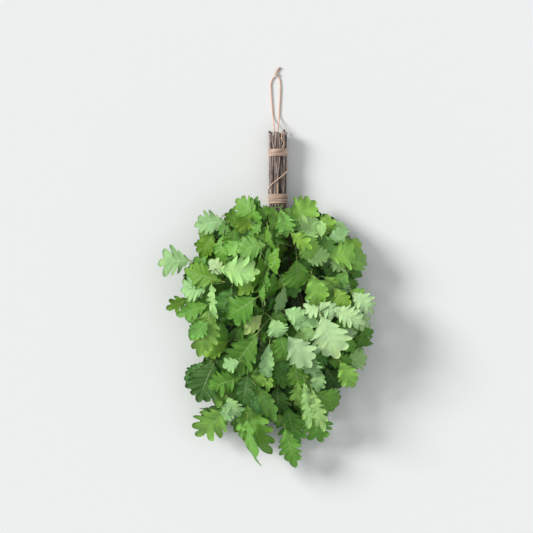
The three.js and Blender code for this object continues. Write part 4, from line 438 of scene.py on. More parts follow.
   ((98.1, 48.7, 103.1), (-0.051, 0.976, -0.213), (-0.051, 0.211, 0.976), 36.4, 20.7, 0.07, 0.12, 3, 0.2, "h", 12),
   ((97.6, 45.7, 63.5), (0.278, 0.938, -0.207), (0.299, 0.12, 0.947), 54.4, 38.2, 0.07, 0.12, 4, 0.28, "d", 16),
   ((112.3, 49.4, 58), (0.584, 0.7, -0.411), (0.09, 0.447, 0.89), 48.7, 44.2, 0.07, 0.12, 4, 0.36, "m", 17),
   ((106.2, 50.3, 77.5), (0.863, 0.247, -0.441), (0.449, 0.023, 0.893), 45.9, 34.2, 0.07, 0.12, 4, 0.3, "m", 18),
   ((130.6, 26.5, 47.5), (0.878, 0.293, -0.378), (0.427, -0.128, 0.895), 51.9, 38.3, 0.07, 0.12, 4, 0.25, "e", 19),
   ((104.2, 16.8, 80.8), (0.986, 0.09, -0.142), (0.136, 0.073, 0.988), 62.8, 56.3, 0.07, 0.12, 4, 0.28, "d", 20),
   ((111.8, 24.1, 74.5), (0.664, -0.747, 0.001), (-0.04, -0.034, 0.999), 45.2, 32.5, 0.07, 0.12, 4, 0.3, "h", 22),
   ((97.9, -2.5, 66), (0.912, -0.336, -0.236), (0.177, -0.196, 0.964), 39.4, 28.5, 0.07, 0.12, 4, 0.22, "b", 24),
   ((123.1, 7.9, 49.8), (-0.145, -0.965, 0.22), (0.228, 0.184, 0.956), 39.2, 31.1, 0.07, 0.12, 4, 0.2, "b", 137),
   ((85.4, -4.5, 41.1), (0.691, -0.699, -0.184), (0.386, 0.142, 0.911), 58.9, 35.4, 0.05, 0.12, 5, 0.24, "p", 2161),
   ((104.3, 29.9, 39.8), (0.765, -0.593, -0.253), (0.309, -0.006, 0.951), 56.1, 33.4, 0.07, 0.12, 4, 0.28, "q", 2243),
   ((122.4, 20.7, 36.8), (0.109, -0.989, 0.103), (-0.038, 0.1, 0.994), 63.8, 35.5, 0.07, 0.12, 4, 0.28, "p", 2244),
   ((72.4, 26.9, 51.5), (-0.131, -0.977, 0.169), (0.233, 0.136, 0.963), 58.2, 35.8, 0.07, 0.12, 4, 0.28, "p", 2252),
   ((104, 12.2, 45), (0.256, -0.967, 0.017), (-0.171, -0.028, 0.985), 72, 41.8, 0.07, 0.12, 4, 0.28, "q", 2272),
   ((83.9, -12.3, 46.4), (-0.693, -0.72, 0.051), (-0.036, 0.105, 0.994), 49.7, 30.9, -0.01, 0.1, 4, 0.25, "c", 1013),
   ((63.1, 16.3, 65), (0.162, -0.986, 0.043), (-0.011, 0.042, 0.999), 66.9, 36.9, 0, 0.1, 4, 0.26, "a", 1029),
   ((120.3, -12.3, 58), (-0.266, -0.964, 0.029), (-0.146, 0.07, 0.987), 63.5, 37.8, 0.01, 0.1, 4, 0.29, "b", 1037),
   ((52.7, 25.4, 56.8), (0.71, -0.68, -0.184), (0.217, -0.037, 0.975), 57.1, 35.8, 0.06, 0.1, 4, 0.33, "b", 1064),
   ((94.7, 24.9, 34.3), (0.992, 0.031, -0.126), (0.13, -0.251, 0.959), 66.6, 35.2, 0.06, 0.1, 4, 0.32, "b", 1084),
   ((96.8, 65.9, 43.1), (-0.127, -0.925, -0.357), (-0.215, -0.326, 0.921), 54.9, 29.8, 0.05, 0.1, 4, 0.24, "c", 1111),
   ((88.7, 33.9, 39.2), (-0.122, -0.976, -0.183), (0.018, -0.186, 0.982), 55.7, 33.9, 0.04, 0.1, 4, 0.24, "a", 1115),
   ((52.5, 36.6, 48.9), (-0.308, -0.925, -0.222), (-0.203, -0.164, 0.965), 68, 41, 0.08, 0.1, 4, 0.24, "a", 1127),
   ((67, 19.8, 37.2), (0.646, -0.708, -0.286), (0.445, 0.046, 0.894), 50.7, 26.9, 0.01, 0.1, 4, 0.28, "c", 1147),
   ((77.4, -7.2, 57.1), (-0.534, -0.845, -0.024), (0.061, -0.067, 0.996), 49.1, 25.9, -0.01, 0.1, 4, 0.3, "a", 1172),
   ((92.3, 13.4, 44.4), (-0.177, -0.984, -0.033), (-0.207, 0.005, 0.978), 54.4, 32.7, 0.08, 0.1, 4, 0.31, "a", 1204),
   ((91.8, 66.2, 83.2), (0.494, -0.864, -0.099), (-0.111, -0.175, 0.978), 60.5, 38.5, 0.02, 0.09, 4, 0.27, "f", 512),
   ((71.2, 42.9, 53.6), (0.77, -0.636, -0.058), (-0.05, -0.15, 0.987), 69.2, 42.7, 0.07, 0.11, 5, 0.33, "i", 521),
  ]),
 ("leaf_spray_11", [
   ((44.6, 88.7, 41.2), (45.7, 87.9, 42.1), 1.35, 1.25),
   ((45.6, 88, 42), (44.4, 86.3, 47.6), 1.25, 1.04),
   ((44.4, 86.3, 47.6), (40.5, 76, 57.7), 1.14, 0.98),
   ((44.4, 86.3, 47.6), (62.3, 76.6, 49), 1.14, 0.98),
   ((40.5, 76, 57.7), (35.1, 63.1, 77.7), 1.08, 0.92),
   ((35.1, 63.1, 77.7), (15.8, 27.5, 61.8), 1.02, 0.86),
   ((15.8, 27.5, 61.8), (9.1, 36.6, 43.9), 0.96, 0.85),
   ((15.8, 27.5, 61.8), (28.1, 10.9, 56.2), 0.96, 0.85),
   ((15.8, 27.5, 61.8), (-7.5, 49, 45.7), 0.96, 0.85),
   ((15.8, 27.5, 61.8), (25.2, 66.2, 13.9), 0.96, 0.85),
   ((25.2, 66.2, 13.9), (30.2, 57.4, 8.6), 0.95, 0.85),
   ((25.2, 66.2, 13.9), (41.7, 74.4, 6.2), 0.85, 0.7),
   ((25.2, 66.2, 13.9), (13.9, 54.1, 27.9), 0.85, 0.7),
   ((25.2, 66.2, 13.9), (30.4, 85.3, 23.3), 0.85, 0.7),
   ((9.1, 36.6, 43.9), (21.5, 37.1, 25.6), 0.85, 0.7),
   ((62.3, 76.6, 49), (81.1, 84.4, 26), 0.85, 0.7),
   ((30.2, 57.4, 8.6), (36.3, 46.9, 32.8), 0.85, 0.7),
   ((28.1, 10.9, 56.2), (46.1, 5.3, 45.5), 0.85, 0.7),
   ((62.3, 76.6, 49), (62.9, 55.5, 47.9), 0.85, 0.7),
   ((25.2, 66.2, 13.9), (43.4, 79.2, 14.6), 0.85, 0.7),
   ((25.2, 66.2, 13.9), (34.7, 70.8, 22.9), 0.85, 0.7),
   ((62.3, 76.6, 49), (60.7, 95, 49.8), 0.85, 0.7),
   ((-7.5, 49, 45.7), (-5.7, 58.7, 54.8), 0.85, 0.7),
   ((-7.5, 49, 45.7), (-21.1, 45.2, 45.1), 0.85, 0.7),
   ((62.3, 76.6, 49), (90.4, 73.5, 41.9), 0.85, 0.7),
   ((44.4, 86.3, 47.6), (61.8, 107.4, 37.1), 0.85, 0.7),
   ((44.4, 86.3, 47.6), (32.6, 80.1, 35.1), 0.85, 0.7),
   ((9.1, 36.6, 43.9), (-6.9, 24.4, 45.8), 0.85, 0.7),
   ((-7.5, 49, 45.7), (-16.1, 49.6, 44), 0.85, 0.7),
   ((9.1, 36.6, 43.9), (25, 47.6, 32.5), 0.85, 0.7),
  ], [
   ((62.3, 76.6, 49), (-0.725, 0.68, -0.106), (-0.014, 0.139, 0.99), 41.8, 37.3, 0.07, 0.12, 4, 0.25, "c", 7),
   ((40.5, 76, 57.7), (0.731, 0.647, -0.217), (0.017, 0.301, 0.954), 67.4, 60.3, 0.07, 0.12, 4, 0.26, "e", 9),
   ((35.1, 63.1, 77.7), (-0.875, -0.477, 0.076), (-0.236, 0.559, 0.795), 23.6, 21.8, 0.07, 0.12, 3, 0.2, "c", 15),
   ((25.2, 66.2, 13.9), (0.821, 0.571, -0.013), (-0.005, 0.03, 1), 69.6, 35, -0.02, 0.12, 5, 0.31, "g", 2146),
   ((41.7, 74.4, 6.2), (-0.876, -0.474, -0.095), (0.013, -0.22, 0.975), 47.7, 26, -0.04, 0.12, 4, 0.32, "g", 2149),
   ((30.2, 57.4, 8.6), (0.008, -0.996, 0.09), (-0.067, 0.09, 0.994), 60.8, 35.4, 0.02, 0.12, 5, 0.25, "p", 2180),
   ((13.9, 54.1, 27.9), (-0.039, -0.998, -0.045), (-0.244, -0.034, 0.969), 61.3, 32.3, 0.02, 0.12, 5, 0.22, "p", 2181),
   ((30.4, 85.3, 23.3), (-0.878, -0.454, -0.152), (-0.15, -0.041, 0.988), 54.6, 29.5, 0.02, 0.12, 5, 0.3, "c", 2193),
   ((28.1, 10.9, 56.2), (0.416, -0.906, -0.083), (-0.253, -0.203, 0.946), 62.2, 36.7, 0.07, 0.12, 4, 0.28, "p", 2238),
   ((15.8, 27.5, 61.8), (0.015, -0.997, -0.078), (-0.601, -0.072, 0.796), 68.2, 48.9, 0.07, 0.12, 4, 0.28, "p", 2263),
   ((-7.5, 49, 45.7), (0.209, -0.972, -0.108), (-0.429, -0.19, 0.883), 56, 32.5, 0.07, 0.12, 4, 0.28, "p", 2270),
   ((9.1, 36.6, 43.9), (0.278, -0.896, -0.345), (0.355, -0.238, 0.904), 63.5, 36.6, 0.07, 0.12, 4, 0.28, "p", 2279),
   ((44.4, 86.3, 47.6), (0.534, -0.83, -0.163), (0.086, -0.138, 0.987), 68.2, 37.7, 0.07, 0.12, 4, 0.28, "p", 2282),
   ((21.5, 37.1, 25.6), (0.509, -0.825, -0.244), (0.16, -0.188, 0.969), 55.4, 30.9, -0.03, 0.1, 4, 0.27, "o", 1001),
   ((81.1, 84.4, 26), (0.409, -0.91, -0.071), (0.128, -0.019, 0.992), 52.7, 31.1, -0.02, 0.1, 4, 0.32, "b", 1006),
   ((36.3, 46.9, 32.8), (0.272, -0.903, -0.332), (0.572, -0.126, 0.81), 58.2, 35.5, -0.02, 0.1, 4, 0.25, "b", 1014),
   ((46.1, 5.3, 45.5), (-0.521, -0.851, -0.063), (0.068, -0.114, 0.991), 66.9, 35.9, 0.02, 0.1, 4, 0.31, "c", 1028),
   ((62.9, 55.5, 47.9), (-0.105, -0.97, -0.22), (0.224, -0.239, 0.945), 66.5, 41.4, 0, 0.1, 4, 0.26, "b", 1034),
   ((43.4, 79.2, 14.6), (-0.228, -0.973, -0.021), (0.308, -0.092, 0.947), 50.8, 28.9, 0.06, 0.1, 4, 0.3, "b", 1065),
   ((34.7, 70.8, 22.9), (0.292, -0.93, -0.222), (-0.005, -0.234, 0.972), 64.2, 35.5, 0.03, 0.1, 4, 0.29, "b", 1066),
   ((60.7, 95, 49.8), (0.48, -0.842, -0.246), (-0.15, -0.355, 0.923), 54, 34.5, 0.03, 0.1, 4, 0.3, "a", 1071),
   ((-5.7, 58.7, 54.8), (-0.865, -0.461, -0.199), (-0.185, -0.076, 0.98), 65.7, 36.7, 0.06, 0.1, 4, 0.25, "c", 1073),
   ((-21.1, 45.2, 45.1), (0.003, -0.999, -0.035), (0.081, -0.035, 0.996), 60.4, 31.7, 0, 0.1, 4, 0.31, "a", 1092),
   ((90.4, 73.5, 41.9), (0.122, -0.94, -0.319), (0.224, -0.287, 0.931), 68.7, 45.1, 0.03, 0.1, 4, 0.25, "b", 1094),
   ((61.8, 107.4, 37.1), (0.789, -0.572, -0.223), (0.037, -0.319, 0.947), 48.9, 32.1, 0.05, 0.1, 4, 0.26, "b", 1124),
   ((32.6, 80.1, 35.1), (0.207, -0.974, -0.091), (0.26, -0.035, 0.965), 56.1, 34.4, 0.06, 0.1, 4, 0.28, "a", 1128),
   ((-6.9, 24.4, 45.8), (0.217, -0.975, 0.05), (0.013, 0.054, 0.998), 49.3, 28.6, 0.05, 0.1, 4, 0.27, "a", 1150),
   ((-16.1, 49.6, 44), (-0.03, -0.999, 0.012), (0.024, 0.011, 1), 53.8, 34.1, 0.04, 0.1, 4, 0.29, "b", 1169),
   ((25, 47.6, 32.5), (0.143, -0.989, -0.042), (0.068, -0.033, 0.997), 50.8, 26.7, 0.07, 0.1, 4, 0.3, "a", 1199),
  ]),
 ("leaf_spray_12", [
   ((-31.9, -38.7, 40.6), (-32.6, -40.2, 41), 1.35, 1.25),
   ((-32.5, -40, 40.9), (-35.4, -48.4, 42.1), 1.25, 1.04),
   ((-35.4, -48.4, 42.1), (-39.5, -65.4, 65.8), 1.14, 0.98),
   ((-39.5, -65.4, 65.8), (-52.3, -82.8, 61.7), 1.08, 0.92),
   ((-52.3, -82.8, 61.7), (-50.8, -95.5, 56.4), 1.02, 0.86),
   ((-50.8, -95.5, 56.4), (-45.6, -99.4, 70.3), 0.96, 0.85),
   ((-50.8, -95.5, 56.4), (-70.2, -96.3, 46.9), 0.96, 0.85),
   ((-70.2, -96.3, 46.9), (-77.8, -89, 60.2), 0.95, 0.85),
   ((-70.2, -96.3, 46.9), (-54.7, -90.8, 13), 0.95, 0.85),
   ((-54.7, -90.8, 13), (-82.3, -115.7, 2.8), 0.95, 0.85),
   ((-45.6, -99.4, 70.3), (-8.3, -93, 59.3), 0.95, 0.85),
   ((-8.3, -93, 59.3), (-2.5, -105.5, 63.5), 0.95, 0.85),
   ((-2.5, -105.5, 63.5), (-2.4, -109.2, 48.7), 0.95, 0.85),
   ((-2.4, -109.2, 48.7), (-12.6, -131.3, 44.8), 0.95, 0.85),
   ((-12.6, -131.3, 44.8), (-31.2, -138.1, 29.8), 0.95, 0.85),
   ((-8.3, -93, 59.3), (2.3, -78.1, 36.3), 0.95, 0.85),
   ((-45.6, -99.4, 70.3), (-65.2, -134.1, 65.9), 0.95, 0.85),
   ((-45.6, -99.4, 70.3), (-32.4, -103.5, 56.9), 0.85, 0.7),
   ((-70.2, -96.3, 46.9), (-61.6, -95, 32.3), 0.85, 0.7),
   ((-45.6, -99.4, 70.3), (-29.5, -89.6, 61.4), 0.85, 0.7),
   ((-35.4, -48.4, 42.1), (-52.4, -44.8, 42.9), 0.85, 0.7),
   ((-54.7, -90.8, 13), (-59.8, -94.1, 16.1), 0.85, 0.7),
   ((-35.4, -48.4, 42.1), (-25.9, -42.7, 23.5), 0.85, 0.7),
   ((-2.5, -105.5, 63.5), (13.3, -103.1, 75.9), 0.85, 0.7),
   ((-8.3, -93, 59.3), (-8, -70.6, 58.2), 0.85, 0.7),
   ((-12.6, -131.3, 44.8), (3.8, -137.1, 32.5), 0.85, 0.7),
   ((2.3, -78.1, 36.3), (-8, -59.5, 37.5), 0.85, 0.7),
   ((-2.4, -109.2, 48.7), (-4.9, -105.2, 21.6), 0.85, 0.7),
   ((-35.4, -48.4, 42.1), (-40.3, -32.4, 65.1), 0.85, 0.7),
   ((-70.2, -96.3, 46.9), (-77.1, -110.2, 37.7), 0.85, 0.7),
   ((-65.2, -134.1, 65.9), (-39.1, -127.2, 58.1), 0.85, 0.7),
   ((2.3, -78.1, 36.3), (-13.7, -62.3, 39.1), 0.85, 0.7),
   ((-65.2, -134.1, 65.9), (-49.4, -132.7, 51.7), 0.85, 0.7),
   ((-39.5, -65.4, 65.8), (-31.8, -60.6, 70.7), 0.85, 0.7),
   ((-70.2, -96.3, 46.9), (-67.7, -91.9, 35.3), 0.85, 0.7),
   ((-12.6, -131.3, 44.8), (6.8, -136.4, 47.7), 0.85, 0.7),
   ((-70.2, -96.3, 46.9), (-76.7, -88.4, 46), 0.85, 0.7),
   ((-35.4, -48.4, 42.1), (-38.4, -28.3, 43.5), 0.85, 0.7),
   ((-39.5, -65.4, 65.8), (-52.5, -50, 68.8), 0.85, 0.7),
   ((-45.6, -99.4, 70.3), (-44.9, -108.7, 62), 0.85, 0.7),
   ((2.3, -78.1, 36.3), (-18.3, -81.4, 26), 0.85, 0.7),
   ((-39.5, -65.4, 65.8), (-52.3, -51.8, 71.4), 0.85, 0.7),
   ((-54.7, -90.8, 13), (-32.6, -88.5, 33.2), 0.85, 0.7),
   ((2.3, -78.1, 36.3), (0.4, -91.2, 28.7), 0.85, 0.7),
   ((-31.2, -138.1, 29.8), (-24.3, -155.4, 30.4), 0.85, 0.7),
   ((-39.5, -65.4, 65.8), (-30.7, -51.8, 59.5), 0.85, 0.7),
   ((2.3, -78.1, 36.3), (12.2, -74.8, 39), 0.85, 0.7),
   ((-35.4, -48.4, 42.1), (-27.5, -32.8, 47.1), 0.85, 0.7),
   ((-2.4, -109.2, 48.7), (-8, -110.4, 49.1), 0.85, 0.7),
   ((-39.5, -65.4, 65.8), (-47.3, -65.7, 84.4), 0.85, 0.7),
   ((-39.5, -65.4, 65.8), (-21.6, -62, 78.7), 0.85, 0.7),
  ], [
   ((-77.8, -89, 60.2), (-0.284, -0.948, -0.141), (-0.261, -0.065, 0.963), 59.8, 53.7, 0.07, 0.12, 4, 0.2, "b", 96),
   ((-65.2, -134.1, 65.9), (-0.869, -0.468, -0.159), (-0.219, 0.077, 0.973), 56.5, 35.3, 0.07, 0.12, 4, 0.24, "o", 97),
   ((-45.6, -99.4, 70.3), (-0.318, -0.914, -0.254), (-0.163, -0.211, 0.964), 47.5, 30.5, 0.07, 0.12, 4, 0.2, "b", 98),
   ((-8.3, -93, 59.3), (0.278, -0.94, 0.199), (0.11, 0.237, 0.965), 54.3, 30.9, 0.07, 0.12, 4, 0.2, "b", 136),
   ((-82.3, -115.7, 2.8), (-0.425, -0.883, 0.202), (-0.366, 0.371, 0.853), 64.2, 48.5, 0.03, 0.12, 5, 0.32, "h", 2205),
   ((-54.7, -90.8, 13), (-0.091, -0.995, -0.034), (0.224, -0.054, 0.973), 48.9, 26.9, 0.07, 0.12, 4, 0.3, "b", 2206),
   ((-12.6, -131.3, 44.8), (-0.649, -0.734, -0.2), (0.013, -0.273, 0.962), 81.4, 41.5, 0.07, 0.12, 5, 0.24, "c", 2209),
   ((-31.2, -138.1, 29.8), (-0.185, -0.97, -0.16), (0.189, -0.195, 0.962), 67.3, 45.3, 0.08, 0.12, 4, 0.28, "h", 2210),
   ((-50.8, -95.5, 56.4), (-0.712, -0.675, -0.194), (-0.162, -0.11, 0.981), 60, 32.6, 0.07, 0.12, 4, 0.28, "p", 2241),
   ((2.3, -78.1, 36.3), (0.421, -0.907, 0.012), (-0.208, -0.084, 0.974), 59.5, 31.7, 0.07, 0.12, 4, 0.28, "a", 2245),
   ((-52.3, -82.8, 61.7), (-0.863, -0.397, -0.314), (-0.435, 0.265, 0.861), 53.3, 29.6, 0.07, 0.12, 4, 0.28, "p", 2253),
   ((-70.2, -96.3, 46.9), (0.523, -0.851, -0.052), (-0.057, -0.096, 0.994), 52.4, 29.1, 0.07, 0.12, 4, 0.28, "p", 2256),
   ((-39.5, -65.4, 65.8), (0.047, -0.976, -0.213), (-0.411, -0.213, 0.886), 59.5, 38.1, 0.07, 0.12, 4, 0.28, "a", 2257),
   ((-35.4, -48.4, 42.1), (0.134, -0.98, -0.15), (0.087, -0.139, 0.986), 51.4, 26.9, 0.07, 0.12, 4, 0.28, "p", 2260),
   ((-2.4, -109.2, 48.7), (-0.193, -0.976, -0.103), (-0.139, -0.077, 0.987), 58.8, 34.8, 0.07, 0.12, 4, 0.28, "p", 2261),
   ((-2.5, -105.5, 63.5), (-0.221, -0.935, -0.276), (-0.398, -0.172, 0.901), 58.6, 33.6, 0.07, 0.12, 4, 0.28, "p", 2262),
   ((-32.4, -103.5, 56.9), (-0.022, -0.993, -0.112), (-0.186, -0.106, 0.977), 52.1, 30, 0.08, 0.1, 4, 0.33, "a", 1003),
   ((-61.6, -95, 32.3), (-0.169, -0.965, -0.199), (-0.04, -0.195, 0.98), 58.4, 37.8, 0.05, 0.1, 4, 0.25, "c", 1009),
   ((-29.5, -89.6, 61.4), (-0.301, -0.954, -0.009), (-0.024, -0.002, 1), 69.4, 42.8, -0.01, 0.1, 4, 0.32, "c", 1019),
   ((-52.4, -44.8, 42.9), (-0.953, -0.278, -0.119), (-0.114, -0.033, 0.993), 46.8, 26.7, 0.04, 0.1, 4, 0.33, "a", 1023),
   ((-59.8, -94.1, 16.1), (-0.344, -0.938, 0.053), (0.02, 0.05, 0.999), 69.6, 41.7, 0.04, 0.1, 4, 0.25, "b", 1039),
   ((-25.9, -42.7, 23.5), (0.226, -0.954, -0.197), (-0.09, -0.222, 0.971), 55.8, 30, 0.06, 0.1, 4, 0.28, "c", 1040),
   ((13.3, -103.1, 75.9), (-0.009, -0.969, -0.246), (0.161, -0.245, 0.956), 50.4, 32.6, 0, 0.1, 4, 0.31, "a", 1048),
   ((-8, -70.6, 58.2), (-0.081, -0.991, -0.105), (-0.081, -0.098, 0.992), 68.6, 41.2, 0.02, 0.1, 4, 0.34, "a", 1054),
   ((3.8, -137.1, 32.5), (-0.702, -0.643, -0.306), (-0.296, -0.127, 0.947), 59, 31.5, 0.06, 0.1, 4, 0.3, "b", 1057),
   ((-8, -59.5, 37.5), (0.491, -0.849, -0.193), (0.296, -0.045, 0.954), 48.1, 31.1, 0.06, 0.1, 4, 0.29, "a", 1070),
   ((-4.9, -105.2, 21.6), (0.345, -0.937, 0.045), (-0.308, -0.068, 0.949), 51.9, 32.8, 0.06, 0.1, 4, 0.28, "a", 1075),
   ((-40.3, -32.4, 65.1), (-0.912, -0.379, -0.159), (-0.214, 0.106, 0.971), 65.1, 38.7, 0, 0.1, 4, 0.25, "b", 1080),
   ((-77.1, -110.2, 37.7), (0.273, -0.934, -0.229), (0.321, -0.136, 0.937), 54.1, 33.7, 0.04, 0.1, 4, 0.31, "a", 1083),
   ((-39.1, -127.2, 58.1), (-0.514, -0.802, -0.304), (-0.117, -0.286, 0.951), 56.1, 32.9, 0.04, 0.1, 4, 0.31, "a", 1093),
   ((-13.7, -62.3, 39.1), (-0.919, -0.266, -0.292), (-0.104, -0.55, 0.829), 66, 40.2, 0.02, 0.1, 4, 0.32, "a", 1101),
   ((-49.4, -132.7, 51.7), (-0.692, -0.686, -0.227), (-0.414, 0.119, 0.903), 67.2, 38.2, 0.08, 0.1, 4, 0.24, "b", 1109),
   ((-31.8, -60.6, 70.7), (-0.04, -0.987, -0.157), (-0.139, -0.15, 0.979), 54.1, 31.6, 0.01, 0.1, 4, 0.32, "a", 1110),
   ((-67.7, -91.9, 35.3), (-0.576, -0.813, -0.088), (-0.203, 0.038, 0.978), 67.2, 40.3, 0.06, 0.1, 4, 0.28, "a", 1116),
   ((6.8, -136.4, 47.7), (-0.145, -0.976, -0.165), (-0.228, -0.129, 0.965), 47.6, 25.2, 0.05, 0.1, 4, 0.26, "b", 1126),
   ((-76.7, -88.4, 46), (0.854, -0.519, 0.044), (-0.012, 0.066, 0.998), 54.7, 28.6, 0.02, 0.1, 4, 0.28, "a", 1133),
   ((-38.4, -28.3, 43.5), (-0.1, -0.99, -0.103), (0.103, -0.114, 0.988), 47.1, 25, 0.07, 0.1, 4, 0.3, "o", 1136),
   ((-52.5, -50, 68.8), (-0.42, -0.876, -0.235), (-0.205, -0.16, 0.966), 53.9, 34.8, -0.03, 0.1, 4, 0.29, "a", 1144),
   ((-44.9, -108.7, 62), (-0.129, -0.99, -0.059), (0.1, -0.073, 0.992), 57.5, 37.5, 0.08, 0.1, 4, 0.32, "a", 1148),
   ((-18.3, -81.4, 26), (0.195, -0.974, 0.114), (-0.374, 0.034, 0.927), 49.7, 32.5, -0.02, 0.1, 4, 0.29, "o", 1156),
   ((-52.3, -51.8, 71.4), (-0.389, -0.903, -0.184), (0.291, -0.31, 0.905), 68.9, 42.7, 0.03, 0.1, 4, 0.34, "b", 1161),
   ((-32.6, -88.5, 33.2), (0.042, -0.996, -0.082), (0.052, -0.08, 0.995), 68.4, 37.5, 0, 0.1, 4, 0.32, "b", 1163),
   ((0.4, -91.2, 28.7), (0.622, -0.783, -0.019), (-0.1, -0.104, 0.99), 48.4, 25.7, -0.01, 0.1, 4, 0.27, "a", 1173),
   ((-24.3, -155.4, 30.4), (-0.184, -0.951, -0.249), (0.088, -0.269, 0.959), 66.1, 34.9, -0.01, 0.1, 4, 0.34, "b", 1181),
   ((-30.7, -51.8, 59.5), (-0.531, -0.817, 0.227), (0.253, 0.103, 0.962), 62.7, 33.4, 0.07, 0.1, 4, 0.3, "a", 1185),
   ((12.2, -74.8, 39), (0.33, -0.942, 0.066), (-0.069, 0.046, 0.997), 48.6, 31.9, 0.02, 0.1, 4, 0.25, "c", 1188),
   ((-27.5, -32.8, 47.1), (0.146, -0.943, -0.3), (0.008, -0.302, 0.953), 56.4, 36.6, 0.07, 0.1, 4, 0.27, "b", 1191),
   ((-8, -110.4, 49.1), (-0.036, -0.953, -0.3), (0.252, -0.3, 0.92), 48.9, 27.6, -0.02, 0.1, 4, 0.3, "c", 1193),
   ((-47.3, -65.7, 84.4), (0.289, -0.901, -0.324), (-0.121, -0.37, 0.921), 63.9, 41.8, 0.04, 0.19, 5, 0.29, "c", 515),
   ((-21.6, -62, 78.7), (0.394, -0.889, -0.233), (0.011, -0.249, 0.969), 64.8, 38, 0.09, 0.16, 4, 0.3, "b", 529),
  ]),
 ("leaf_spray_13", [
   ((-50.4, -155.7, 26.8), (-50.9, -157.3, 26.9), 1.35, 1.25),
   ((-50.9, -157.1, 26.9), (-53.2, -165.8, 27.1), 1.25, 1.04),
   ((-53.2, -165.8, 27.1), (-88.5, -163.5, 35.7), 1.14, 0.98),
   ((-88.5, -163.5, 35.7), (-90.1, -186.8, 31.7), 1.08, 0.92),
   ((-88.5, -163.5, 35.7), (-97.2, -167.7, 12.9), 1.08, 0.92),
   ((-90.1, -186.8, 31.7), (-75.2, -199.1, 47.5), 1.02, 0.86),
   ((-75.2, -199.1, 47.5), (-74.5, -191.4, 54), 0.96, 0.85),
   ((-88.5, -163.5, 35.7), (-97.2, -168.6, 59.4), 1.08, 0.92),
   ((-97.2, -168.6, 59.4), (-90.5, -161, 62.7), 1.02, 0.86),
   ((-74.5, -191.4, 54), (-72, -228.9, 91.5), 0.95, 0.85),
   ((-90.5, -161, 62.7), (-98.3, -154.5, 50), 0.85, 0.7),
   ((-53.2, -165.8, 27.1), (-66.8, -156.2, 15.6), 0.85, 0.7),
   ((-53.2, -165.8, 27.1), (-41.9, -170.2, 18.7), 0.85, 0.7),
   ((-88.5, -163.5, 35.7), (-80.4, -135.4, 35.1), 0.85, 0.7),
   ((-53.2, -165.8, 27.1), (-68.4, -158.5, 22), 0.85, 0.7),
   ((-97.2, -167.7, 12.9), (-102.8, -161.9, 20.3), 0.85, 0.7),
   ((-88.5, -163.5, 35.7), (-91.8, -136.7, 26.4), 0.85, 0.7),
   ((-53.2, -165.8, 27.1), (-52, -181.8, 42.6), 0.85, 0.7),
   ((-90.5, -161, 62.7), (-106.8, -132.5, 51.4), 0.85, 0.7),
  ], [
   ((-90.5, -161, 62.7), (-0.377, -0.905, -0.195), (-0.181, -0.134, 0.974), 95.6, 72.6, 0.07, 0.12, 5, 0.32, "a", 99),
   ((-97.2, -168.6, 59.4), (-0.658, -0.636, -0.403), (-0.461, -0.083, 0.884), 82.3, 48.3, 0.07, 0.12, 5, 0.2, "a", 100),
   ((-72, -228.9, 91.5), (0.504, -0.852, -0.141), (-0.155, -0.249, 0.956), 48.4, 33.9, 0.07, 0.12, 4, 0.3, "i", 106),
   ((-97.2, -167.7, 12.9), (0.092, -0.986, -0.141), (0.057, -0.136, 0.989), 81.2, 48.9, 0.03, 0.12, 4, 0.29, "d", 2207),
   ((-53.2, -165.8, 27.1), (-0.952, -0.296, -0.077), (-0.041, -0.125, 0.991), 47.5, 26, -0.02, 0.12, 4, 0.23, "g", 2211),
   ((-75.2, -199.1, 47.5), (0.272, -0.927, -0.258), (0.33, -0.162, 0.93), 57.2, 32.2, 0.07, 0.12, 4, 0.28, "d", 2246),
   ((-90.1, -186.8, 31.7), (-0.064, -0.991, -0.117), (-0.662, -0.045, 0.748), 64, 47, 0.07, 0.12, 4, 0.28, "d", 2268),
   ((-74.5, -191.4, 54), (-0.217, -0.962, -0.166), (0.079, -0.187, 0.979), 68.8, 34.5, 0.07, 0.12, 4, 0.28, "d", 2276),
   ((-88.5, -163.5, 35.7), (0.195, -0.952, -0.236), (-0.273, -0.284, 0.919), 58.4, 33.1, 0.07, 0.12, 4, 0.28, "a", 2283),
   ((-98.3, -154.5, 50), (0.653, -0.66, -0.371), (0.171, -0.349, 0.921), 48.1, 27.8, 0.06, 0.1, 4, 0.29, "b", 1031),
   ((-66.8, -156.2, 15.6), (-0.956, -0.286, 0.065), (0.118, -0.172, 0.978), 49.9, 31.2, 0.04, 0.1, 4, 0.33, "b", 1072),
   ((-41.9, -170.2, 18.7), (0.374, -0.925, -0.06), (0.367, 0.088, 0.926), 62.5, 39.3, 0.05, 0.1, 4, 0.26, "b", 1091),
   ((-80.4, -135.4, 35.1), (-0.936, 0.348, -0.055), (-0.175, -0.323, 0.93), 59.4, 35.8, 0.03, 0.1, 4, 0.27, "o", 1114),
   ((-68.4, -158.5, 22), (0.181, -0.981, 0.066), (0.146, 0.094, 0.985), 54.6, 30, 0.04, 0.1, 4, 0.25, "a", 1125),
   ((-102.8, -161.9, 20.3), (-0.315, -0.929, -0.193), (0.171, -0.255, 0.952), 47.1, 30.7, 0.01, 0.1, 4, 0.25, "a", 1132),
   ((-91.8, -136.7, 26.4), (-0.155, -0.985, -0.071), (-0.026, -0.068, 0.997), 61.4, 36.7, 0.01, 0.1, 4, 0.32, "o", 1143),
   ((-52, -181.8, 42.6), (-0.41, -0.904, -0.121), (-0.434, 0.076, 0.898), 48.7, 26.4, -0.03, 0.1, 4, 0.31, "a", 1175),
   ((-106.8, -132.5, 51.4), (0.379, -0.924, 0.059), (-0.06, 0.039, 0.997), 71.7, 48.2, 0.06, 0.11, 5, 0.29, "a", 517),
  ]),
 ("leaf_spray_14", [
